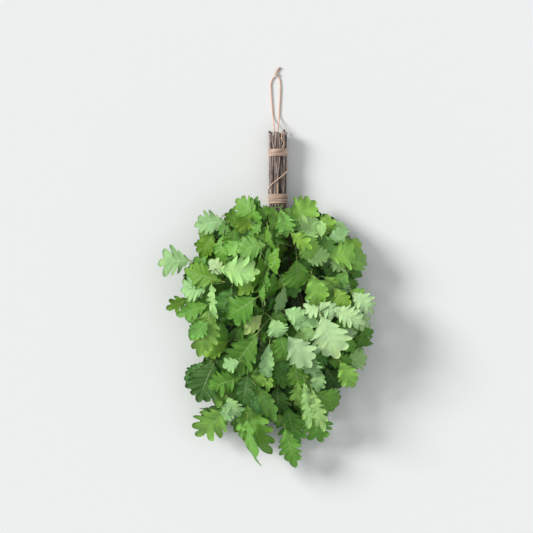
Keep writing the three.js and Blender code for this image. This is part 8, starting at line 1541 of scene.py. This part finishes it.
def leaf(b, row, no, nt=NT, nv=NV):
    base, a, nrm, L, W, arch, fold, lobes, depth, code, _ = row
    rng = np.random.default_rng(1000 + no)
    base, a, nrm = (np.array(x, float) for x in (base, a, nrm))
    a /= np.linalg.norm(a); s = np.cross(nrm, a); s /= np.linalg.norm(s); nrm = np.cross(a, s)
    lobes = int(np.clip(lobes + (W > 40) - (L < 45), 3, 6)); depth = depth * 1.02
    # grid[side][i][j]: spoke i, step j from the midrib; the midrib and the last spoke are shared
    ids = np.zeros((2, nt + 1, nv + 1), int); pts = []
    for k, side in enumerate((1, -1)):
        xo, x, y, ph, p = half_leaf(rng, L, W, lobes + (rng.random() < 0.3), depth, nt)
        for i in range(nt + 1):
            for j in range(nv + 1):
                if k == 1 and (j == 0 or i == nt): ids[k, i, j] = ids[0, i, j]; continue
                w = j / nv; ids[k, i, j] = len(pts)
                pts.append((xo[i] * (1 - w) + x[i] * w + 0.012 * np.sin(np.pi * w) * (1 - i / nt), side * y[i] * w, ph[i], w, p[i], float(side if j and i < nt else 0)))
    g = np.array(pts); U, Y, PH, A, G, SD = g.T
    f1, f2 = fold + rng.normal(0, 0.10), fold + rng.normal(0, 0.10)
    z = -arch * L * 0.6 * ((2 * (U - 0.45)) ** 2 - 0.81)
    z = z + np.where(Y > 0, f1, f2) * np.abs(Y) * L * 1.05
    fade = np.clip((0.97 - U) * 6, 0, 1)
    z = z - 0.0035 * L * np.cos(2 * np.pi * (PH - 0.5)) * 4 * A * (1 - A) * fade
    q = rng.uniform(0, 6.28, 4)
    z = z + rng.uniform(0.016, 0.040) * L * np.sin(2 * np.pi * PH * 0.5 + q[0] + SD * 0.9) * A ** 2 * fade
    z = z + rng.uniform(0.012, 0.036) * L * np.sin(U * 7.5 + Y * 6 * SD + q[1]) * A
    z = z + rng.uniform(0.004, 0.012) * L * np.sin(U * 15 + q[2]) * np.cos(Y * 13 + q[3])
    z = z - rng.uniform(-0.01, 0.05) * L * G * A ** 3
    z = z - rng.uniform(-0.03, 0.12) * L * np.clip(U - 0.6, 0, 1) ** 2 * 8
    twist = rng.normal(0, 0.16)
    z = z + twist * (U - 0.2) * Y * L
    bend = rng.normal(0, 0.05) * L
    yy = Y * L + bend * (U - 0.08) * (1 - U) * 1.5 * (U > 0)
    P = base + a * (U * L)[:, None] + s * yy[:, None]
    top = P + nrm * (z + 0.17)[:, None]; bot = P + nrm * (z - 0.17)[:, None]
    top[:, 2] = np.maximum(top[:, 2], 0.40); bot[:, 2] = np.maximum(bot[:, 2], 0.06)
    n = len(g); ft = []
    for k in (0, 1):
        I = ids[k]; c = np.stack([I[:-1, :-1], I[1:, :-1], I[1:, 1:], I[:-1, 1:]], 2).reshape(-1, 4)
        ft.append(c if k == 0 else c[:, ::-1])
    ft = np.concatenate(ft)
    rim = [int(i) for i in ids[0][:, nv]] + [int(i) for i in ids[1][:-1, nv][::-1]] + [int(i) for i in ids[1][0, 1:nv][::-1]] + [int(ids[0][0, 0])] + [int(i) for i in ids[0][0, 1:nv]]
    m = len(rim); fr = [(rim[(i + 1) % m], rim[i], rim[i] + n, rim[(i + 1) % m] + n) for i in range(m)]
    fb = ft[:, ::-1] + n
    hue = rng.normal(0, 1)
    col = srgb(np.clip(np.array(COLOURS[code]) * rng.normal(1, 0.05) * ((1.0, 1.0, 0.84) if code in 'abcdefgopq' else (1.0, 0.99, 0.99)) + np.array([2.6, 0.4, -2.0]) * hue * (1 if code in 'abcdefgopq' else 0.35), 8, 250))
    pale = srgb(np.array((150, 190, 128)) + rng.normal(0, 6)); green = srgb(np.array((92, 142, 56)) + rng.normal(0, 7))
    up = code not in PALE
    ctop, cbot = (col * GAIN, pale) if up else (col * GAIN, green)
    mt, mb = (0, 1) if up else (1, 0)
    uv = np.stack([PH / 16.0, A], 1)
    b.add(np.vstack([top, bot]), [tuple(f) for f in ft] + [tuple(f) for f in fb] + fr, np.vstack([uv, uv]),
          np.vstack([np.tile(ctop, (n, 1)), np.tile(cbot, (n, 1))]), [mt] * len(ft) + [mb] * (len(fb) + len(fr)))
    # stalk, running on as the midrib's first stretch
    t = np.linspace(0, 1, 9 if nt == NT else 5)
    uu = t * 0.34
    zz = -arch * L * 0.6 * ((2 * (uu - 0.45)) ** 2 - 0.81)
    line = base + a * (uu * L)[:, None] + s * (bend * (uu - 0.08) * (1 - uu) * 1.5 * (uu > 0.08))[:, None] + nrm * (zz - 0.15)[:, None]
    line[:, 2] = np.maximum(line[:, 2], 1.0)
    tube(b, line, np.interp(t, [0, 0.25, 1], [0.85, 0.58, 0.22]), 6 if nt == NT else 5, srgb((140, 166, 82)), 2)


GAIN = 1.0
FILL, KEY, TOPL = 0.435, 3.12, 0.42

def twig_piece(b, p, q, r0, r1, no):
    rng = np.random.default_rng(4000 + no)
    p = np.array(p, float); q = np.array(q, float); d = q - p; L = np.linalg.norm(d)
    if L < 0.5: return
    n = max(4, int(L / 4)); t = np.linspace(0, 1, n)
    side = np.cross(d / L, rng.normal(size=3)); side /= np.linalg.norm(side)
    line = p + d * t[:, None] + side * (np.sin(np.pi * t) * L * rng.uniform(0.01, 0.05))[:, None]
    line[:, 2] = np.maximum(line[:, 2], r0 + 0.2)
    tone = srgb(np.array((84, 118, 48)) * rng.uniform(0.75, 1.05) + (0 if r0 < 1.15 else -14))
    swell = 1 + 0.22 * np.exp(-((t - 0.03) / 0.05) ** 2) + 0.22 * np.exp(-((t - 0.97) / 0.05) ** 2)
    tube(b, line, np.linspace(r0, r1, n) * swell * 0.74, 7, tone, 2)


pieces = []
number = 0
for k, (node, twigs, rows) in enumerate(SPRAYS):
    b = Builder()
    for p, q, r0, r1 in twigs:
        number += 1; twig_piece(b, p, q, r0, r1, number)
    for row in rows:
        number += 1
        if row[10] < 1000: leaf(b, row, row[10])
        elif row[10] < 2000: leaf(b, row, row[10], 26, 2)
        else: leaf(b, row, row[10], 36, 3)
    o = b.make(node + "_leaves", [UPPER, UNDER, SHOOT])
    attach(o, "root"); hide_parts(node); pieces.append(o)

# ---- stems --------------------------------------------------------------------------
CUT = [0, -4, 2, -7, 1, -3, 7.5, -5, -1, 2, -6, 1, -3, 3, -2, -8, 1, -9, -10, -8, -11, -9, -10, -10]
CUTMAT = [m for m in bpy.data.materials if m.name == "cut_wood"][0]
for i, (ring, r, route) in enumerate(STEMS):
    rng = np.random.default_rng(70 + i)
    x, z = ring; top = HANDLE_TOP + CUT[i] * 0.8; y0 = UPPER_BINDING[1] + 3
    pts = [(AXIS_X + x * 1.09, top, AXIS_Z + z * 1.09), (AXIS_X + x * 1.03, (top + y0) / 2, AXIS_Z + z * 1.03), (AXIS_X + x, y0, AXIS_Z + z)]
    pts += [(AXIS_X + x, y, AXIS_Z + z) for y in (200, 180, 160, 140, 120, HANDLE_LOW)] + list(route)
    line = smooth_path(pts, 3.0)
    s = np.r_[0, np.cumsum(np.linalg.norm(np.diff(line, axis=0), axis=1))]
    inb = np.minimum(np.abs(line[:, 1] - 207), np.abs(line[:, 1] - 123)) < 13
    wob = np.where(inb | (line[:, 1] > 240), 0.15, 0.42)
    ph = rng.uniform(0, 6.28, 4)
    line[:, 0] += wob * (np.sin(s / 17 + ph[0]) + 0.6 * np.sin(s / 7.3 + ph[1])) * 0.6
    line[:, 2] += wob * (np.sin(s / 15 + ph[2]) + 0.6 * np.sin(s / 8.1 + ph[3])) * 0.6
    far = np.clip((HANDLE_LOW - line[:, 1]) / max(20, HANDLE_LOW - route[-1][1]), 0, 1)
    R = r * 1.02 * (1 - far) + 1.5 * far
    knots = np.cumsum(rng.uniform(16, 38, 24))
    for q in knots: R = R * (1 + rng.uniform(0.06, 0.2) * np.exp(-((s - q) / 1.6) ** 2))
    R = np.where(inb, np.minimum(R, r * 1.05), R)
    h0, h1, h2 = rng.uniform(0, 6.28, 3)
    bump = lambda ss, hh, a=h0, c=h1, d=h2: 1 + 0.05 * np.sin(2 * hh + a + ss / 21) + 0.035 * np.sin(5 * hh + c - ss / 9) + 0.02 * np.sin(9 * hh + d + ss / 5)
    base = np.array([(112, 96, 89), (74, 60, 55), (146, 132, 125), (90, 74, 67), (160, 145, 138), (68, 55, 50)][(i * 5) % 6]) * rng.uniform(0.92, 1.1)
    tone = srgb(base)
    green = srgb((112, 110, 62))
    col = tone * (1 - 0.5 * far[:, None]) + green * 0.5 * far[:, None]
    b = Builder()
    tube(b, line, R, 14, col, 0, bump=bump, cap_mat=1, cap_col=tone)
    o = b.make("stem_%02d_bark" % (i + 1), [BARK, CUTMAT])
    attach(o, "root"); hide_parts("stem_%02d" % (i + 1))

# thin twigs lying in the grooves between the stems, and spreading below the lower binding
for i in range(16):
    rng = np.random.default_rng(900 + i)
    ang0 = math.radians(-82 + 164 * (i + 0.5) / 16 + rng.uniform(-4, 4)); rr = 15.1 + rng.uniform(-0.4, 0.5)
    tr = rng.uniform(0.85, 1.25)
    slip = rng.normal(0, 0.10)
    ys = np.array([HANDLE_TOP - rng.uniform(0, 9), 228, 215, 207, 199, 184, 168, 150, 133, 123, 113])
    an = ang0 + slip * np.sin(np.linspace(0, np.pi * 2, len(ys))) + rng.normal(0, 0.035, len(ys))
    rad = np.where((np.abs(ys - 207) < 10) | (np.abs(ys - 123) < 11), np.minimum(rr, 15.4), rr + np.array([0.9, 0.6, 0, 0, 0, 0.3, 0.5, 0.3, 0, 0, 0]))
    p = [(AXIS_X + q * math.sin(s_), yy, AXIS_Z + q * math.cos(s_)) for q, s_, yy in zip(rad, an, ys)]
    spread = math.sin(ang0)
    p += [(AXIS_X + (rr + 2.5) * spread * 1.25, 104, AXIS_Z + rr * math.cos(ang0) + 1.2), (AXIS_X + 25 * spread + rng.normal(0, 2), 95 + rng.uniform(-3, 3), AXIS_Z + 12 * math.cos(ang0) + 3.5),
          (AXIS_X + 36 * spread + rng.normal(0, 4), 84 + rng.uniform(-7, 4), AXIS_Z + 9 * math.cos(ang0) + 3)]
    line = smooth_path(p, 2.4)
    line += np.cumsum(rng.normal(0, 0.03, line.shape), 0) * np.array([1, 0, 0.6])
    t = np.linspace(0, 1, len(line)); R = tr * (1.04 - 0.35 * t) * (1 + 0.12 * np.sin(t * 60 + i) * rng.uniform(0.3, 1))
    tone = srgb(np.array([(160, 145, 137), (100, 83, 76), (182, 168, 160), (78, 63, 57)][i % 4]) * rng.uniform(0.92, 1.1))
    b = Builder(); tube(b, line, R, 9, tone, 0, cap_mat=1, cap_col=tone)
    o = b.make("thin_twig_%02d" % (i + 1), [BARK, CUTMAT]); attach(o, "root")

# ---- jute --------------------------------------------------------------------------------
WHITE = (1.0, 1.0, 1.0)


def on_handle(deg, y, r):
    return np.stack([AXIS_X + r * np.sin(np.radians(deg)), y + 0 * deg, AXIS_Z + r * np.cos(np.radians(deg))], -1)


def binding(name, low, high, turns, seed):
    rng = np.random.default_rng(seed); b = Builder()
    pitch = (high - low) / turns
    deg = np.arange(0, 360 * turns + 1, 4.0)
    y = low + pitch / 2 + (high - low - pitch) * deg / deg[-1]
    y = y + 0.34 * np.sin(np.radians(deg) * 0.93 + seed) + 0.16 * np.sin(np.radians(deg) * 2.6)
    R = 16.86 + 0.13 * np.sin(np.radians(deg) * 1.37 + seed) + 0.06 * np.sin(np.radians(deg) * 5.2)
    line = on_handle(deg + 166, y, R)
    def squash(off, P):
        rad = P - np.array([AXIS_X, 0, AXIS_Z]); rad[:, 1] = 0; rad /= np.linalg.norm(rad, axis=1)[:, None]
        w = (off * rad[:, None]).sum(2, keepdims=True)
        return off + rad[:, None] * w * (0.80 - 1)
    tone = np.array(WHITE) * (1 + 0.0 * deg[:, None]) * np.interp(deg, np.linspace(0, deg[-1], 40), rng.uniform(0.52, 1.40, 40))[:, None]
    tube(b, line, pitch * 0.412, 14, tone, 0, lobes=3, twist=TWIST, amp=0.19, squash=squash)
    # loose fibres lying on the turns
    for _ in range(70):
        a = rng.uniform(0, 360); yy = rng.uniform(low, high); ln = rng.uniform(8, 26) * rng.choice([-1, 1])
        t = np.linspace(0, 1, 7)
        lift = 18.0 + 0.15 * np.sin(np.pi * t) + rng.uniform(0, 0.15)
        tube(b, on_handle(a + ln * t, yy + rng.normal(0, 0.8) * t, lift), 0.07, 4, WHITE, 0)
    o = b.make(name + "_twine", [JUTE])
    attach(o, "root"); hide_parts(name)
    return o


def ply(b, line, r, seed, amp=0.2, tone=WHITE, fibres=0, sides=14):
    rng = np.random.default_rng(seed)
    col = np.array(tone) * np.interp(np.arange(len(line)), np.linspace(0, len(line), 20), rng.uniform(0.88, 1.1, 20))[:, None]
    tube(b, line, r * 1.04, sides, col, 0, lobes=3, twist=TWIST, amp=amp)
    fibres_on(b, line, r, rng, fibres, tone)


def fibres(b, line, r, seed, count):
    fibres_on(b, line, r, np.random.default_rng(seed), count, WHITE)


def fibres_on(b, line, r, rng, count, tone):
    T, N, B = frames(line)
    for _ in range(count):
        i = rng.integers(1, len(line) - 2); h = rng.uniform(0, 6.28); d = N[i] * math.cos(h) + B[i] * math.sin(h)
        if line[i, 2] + d[2] * 3 < 0.4: d[2] = abs(d[2])
        t = np.linspace(0, 1, 6)[:, None]; ln = rng.uniform(1.5, 4.5)
        p = line[i] + d * r * 0.85 + (T[i] * rng.choice([-1, 1]) * t + d * t * rng.uniform(0.1, 0.45) + rng.normal(0, 0.12, 3) * t ** 2) * ln
        p[:, 2] = np.maximum(p[:, 2], 0.1)
        tube(b, p, np.linspace(0.07, 0.03, 6), 4, tone, 0)


def fray(b, p, d, spread, n, length, seed, r=0.16):
    rng = np.random.default_rng(seed); d = np.array(d, float) / np.linalg.norm(d)
    for _ in range(n):
        v = d + rng.normal(0, spread, 3); v /= np.linalg.norm(v); t = np.linspace(0, 1, 7)[:, None]
        q = np.array(p) + v * t * length * rng.uniform(0.6, 1.1) + rng.normal(0, 0.5, 3) * t ** 2
        q[:, 2] = np.maximum(q[:, 2], 0.3)
        tube(b, q, np.linspace(r, r * 0.35, 7), 5, (1.15, 1.12, 1.05), 0)


binding("upper_binding", *UPPER_BINDING, 5, 3)
binding("lower_binding", *LOWER_BINDING, 6, 8)

b = Builder()
t = np.linspace(0, 1, 110)
line = on_handle(178.6 - 293 * t, 198.8 - 66.7 * t, 13.9 + 2.3 + 0.35 + 0.9 - 0.35 * np.clip(np.abs(2 * t - 1) - 0.94, 0, 1) / 0.06)
ply(b, line, 0.85, 21, tone=(1.35, 1.36, 1.32), fibres=30)
o = b.make("diagonal_lashing_twine", [JUTE]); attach(o, "root"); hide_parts("diagonal_lashing")

lift = 13.9 + 2.3 + 1.2 + 1.9
P1 = [on_handle(np.float64(a), y, r) for a, y, r in ((19, 243.5, lift + 1.4), (20, 238, lift + 1.4), (20, 232.5, lift + 1.2), (29, 227, lift + 1), (33, 222.5, lift + 0.4), (28, 217.4, lift - 0.8), (26, 214.9, lift - 1.9))]
b = Builder(); line = smooth_path(P1, 0.7)
ply(b, line, 0.95, 31, tone=(1.12, 1.1, 1.05), fibres=14)
# a small stop knot in the twine's end
kp = np.array(P1[2]); a = np.linspace(0, 2 * np.pi * 1.7, 40)
tube(b, kp + np.stack([1.15 * np.cos(a), (a / a[-1] - 0.5) * 3.0, 1.15 * np.sin(a) * 0.8], 1), 0.85, 10, (1.15, 1.12, 1.05), 0, lobes=3, twist=TWIST, amp=0.18)
fray(b, line[2], (0, 1, 0.1), 0.25, 10, 4.5, 5)
o = b.make("upper_twine_end_twine", [JUTE]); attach(o, "root"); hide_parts("upper_twine_end")

P2 = [on_handle(np.float64(a), y, r) for a, y, r in ((-1, 132.2, lift - 1.9), (-1, 134.6, lift - 1.1), (-2, 140, lift - 0.7), (-1, 147.5, lift - 0.3))]
b = Builder(); line = smooth_path(P2, 0.6)
ply(b, line, 0.95, 41, tone=(1.15, 1.1, 1.0), fibres=8)
fray(b, line[-3], (0.05, 1, 0.15), 0.32, 14, 5.5, 6)
o = b.make("lower_twine_end_twine", [JUTE]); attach(o, "root"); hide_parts("lower_twine_end")

LOOP_LEFT = [[14, 238, 19.5], [14, 246, 19.6], [13.8, 253.5, 16.8], [13.2, 260.5, 9.5], [12.5, 268, 3.6], [11.8, 276, 1.45], [10.9, 287, 1.35],
             [9.9, 300, 1.35], [9.2, 312, 1.35], [8.5, 325, 1.35], [8.4, 334, 1.35], [10.6, 342, 1.35], [15.3, 347.8, 1.6]]
LOOP_RIGHT = [[20.4, 238, 21.5], [20.6, 247, 21.6], [21.2, 255, 18.4], [22, 262.5, 10.6], [22.8, 270, 4.2], [23.4, 278, 1.5], [23.9, 288, 1.35],
              [24.6, 300, 1.35], [25.2, 312, 1.35], [25.6, 325, 1.35], [25.2, 336, 1.35], [23.6, 343.5, 1.35], [21.5, 347.4, 1.6]]
KNOT = np.array([18.5, 350.3, 3.0])

b = Builder()
a = np.linspace(0, 2 * np.pi * 2.2, 70)
w = np.stack([(a / a[-1] - 0.5) * 4.2, 1.75 * np.cos(a), 1.45 * np.sin(a)], 1) + KNOT + [0, 0.6, -0.1]
w[:, 2] = np.maximum(w[:, 2], 1.2)
ply(b, w, 1.15, 51, sides=12)
a = np.linspace(0.3, 2 * np.pi * 1.1, 40)
w = np.stack([1.9 * np.cos(a), (a / a[-1] - 0.5) * 3.4, 1.5 * np.sin(a)], 1) + KNOT + [0.2, 0.8, 0.1]
w[:, 2] = np.maximum(w[:, 2], 1.2)
ply(b, w, 1.1, 52, sides=12)
tail1 = smooth_path([[18.4, 351, 2.6], [20, 355.5, 2], [22.8, 360.3, 1.5], [25.4, 362.8, 1.4]], 0.7)
tail2 = smooth_path([[17.8, 351.5, 2.8], [18.4, 356.5, 2.2], [21.2, 361.0, 2.8], [24.0, 363.6, 3]], 0.7)
ply(b, tail1, 1.1, 53, fibres=8); ply(b, tail2, 1.05, 54, fibres=8)
fray(b, tail1[-1], (1, 0.4, 0), 0.5, 16, 2.6, 7, 0.2); fray(b, tail2[-1], (0.8, 0.6, 0), 0.6, 16, 2.4, 8, 0.2)
knot = b.make("loop_knot_twine", [JUTE]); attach(knot, "root"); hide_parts("loop_knot")

for name, pts, seed in (("loop_cord_left", LOOP_LEFT, 61), ("loop_cord_right", LOOP_RIGHT, 62)):
    b = Builder(); line = smooth_path(pts, 0.9)
    line[:, 2] = np.maximum(line[:, 2], 1.3)
    # The loop cords are coloured lighter than the rest of the jute: painted light that offsets the contact shade where
    # they lie on the surface.
    ply(b, line, 1.17, seed, tone=(1.28, 1.22, 1.18))
    o = b.make(name + "_twine", [JUTE]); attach(o, "root"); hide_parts(name)
    b = Builder(); fibres(b, line, 1.17, seed + 10, 55)
    fuzz = b.make(name + "_fibres", [JUTE]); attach(fuzz, "root")
    world = (line + SHIFT) * MM

# ---- surface and light ---------------------------------------------------------------------
me = bpy.data.meshes.new("surface")
me.from_pydata([(-6, -6, 0), (6, -6, 0), (6, 6, 0), (-6, 6, 0)], [], [(0, 1, 2, 3)])
floor = bpy.data.objects.new("surface", me); scene.collection.objects.link(floor)
fm = bpy.data.materials.new("surface"); fm.use_nodes = True
p = fm.node_tree.nodes["Principled BSDF"]
p.inputs["Base Color"].default_value = (0.80, 0.812, 0.808, 1); p.inputs["Roughness"].default_value = 0.95
p.inputs["Specular IOR Level"].default_value = 0.1
me.materials.append(fm)

world = bpy.data.worlds.new("studio"); scene.world = world; world.use_nodes = True
world.node_tree.nodes["Background"].inputs[0].default_value = (0.96, 0.985, 1.0, 1)
world.node_tree.nodes["Background"].inputs[1].default_value = FILL


def sun(name, energy, angle, direction, colour=(1, 1, 1)):
    d = bpy.data.lights.new(name, "SUN"); d.energy = energy; d.angle = math.radians(angle); d.color = colour
    o = bpy.data.objects.new(name, d); scene.collection.objects.link(o)
    from mathutils import Vector
    o.rotation_euler = Vector(direction).to_track_quat("-Z", "Y").to_euler()
    return o


sun("key", KEY, 22, (1.30, -0.54, -0.88), (1.0, 0.99, 0.97))
sun("top", TOPL, 80, (-0.38, 0.10, -0.90))

scene.view_settings.view_transform = "Standard"
scene.view_settings.look = "None"
scene.view_settings.exposure = 0.0
scene.view_settings.gamma = 1.0
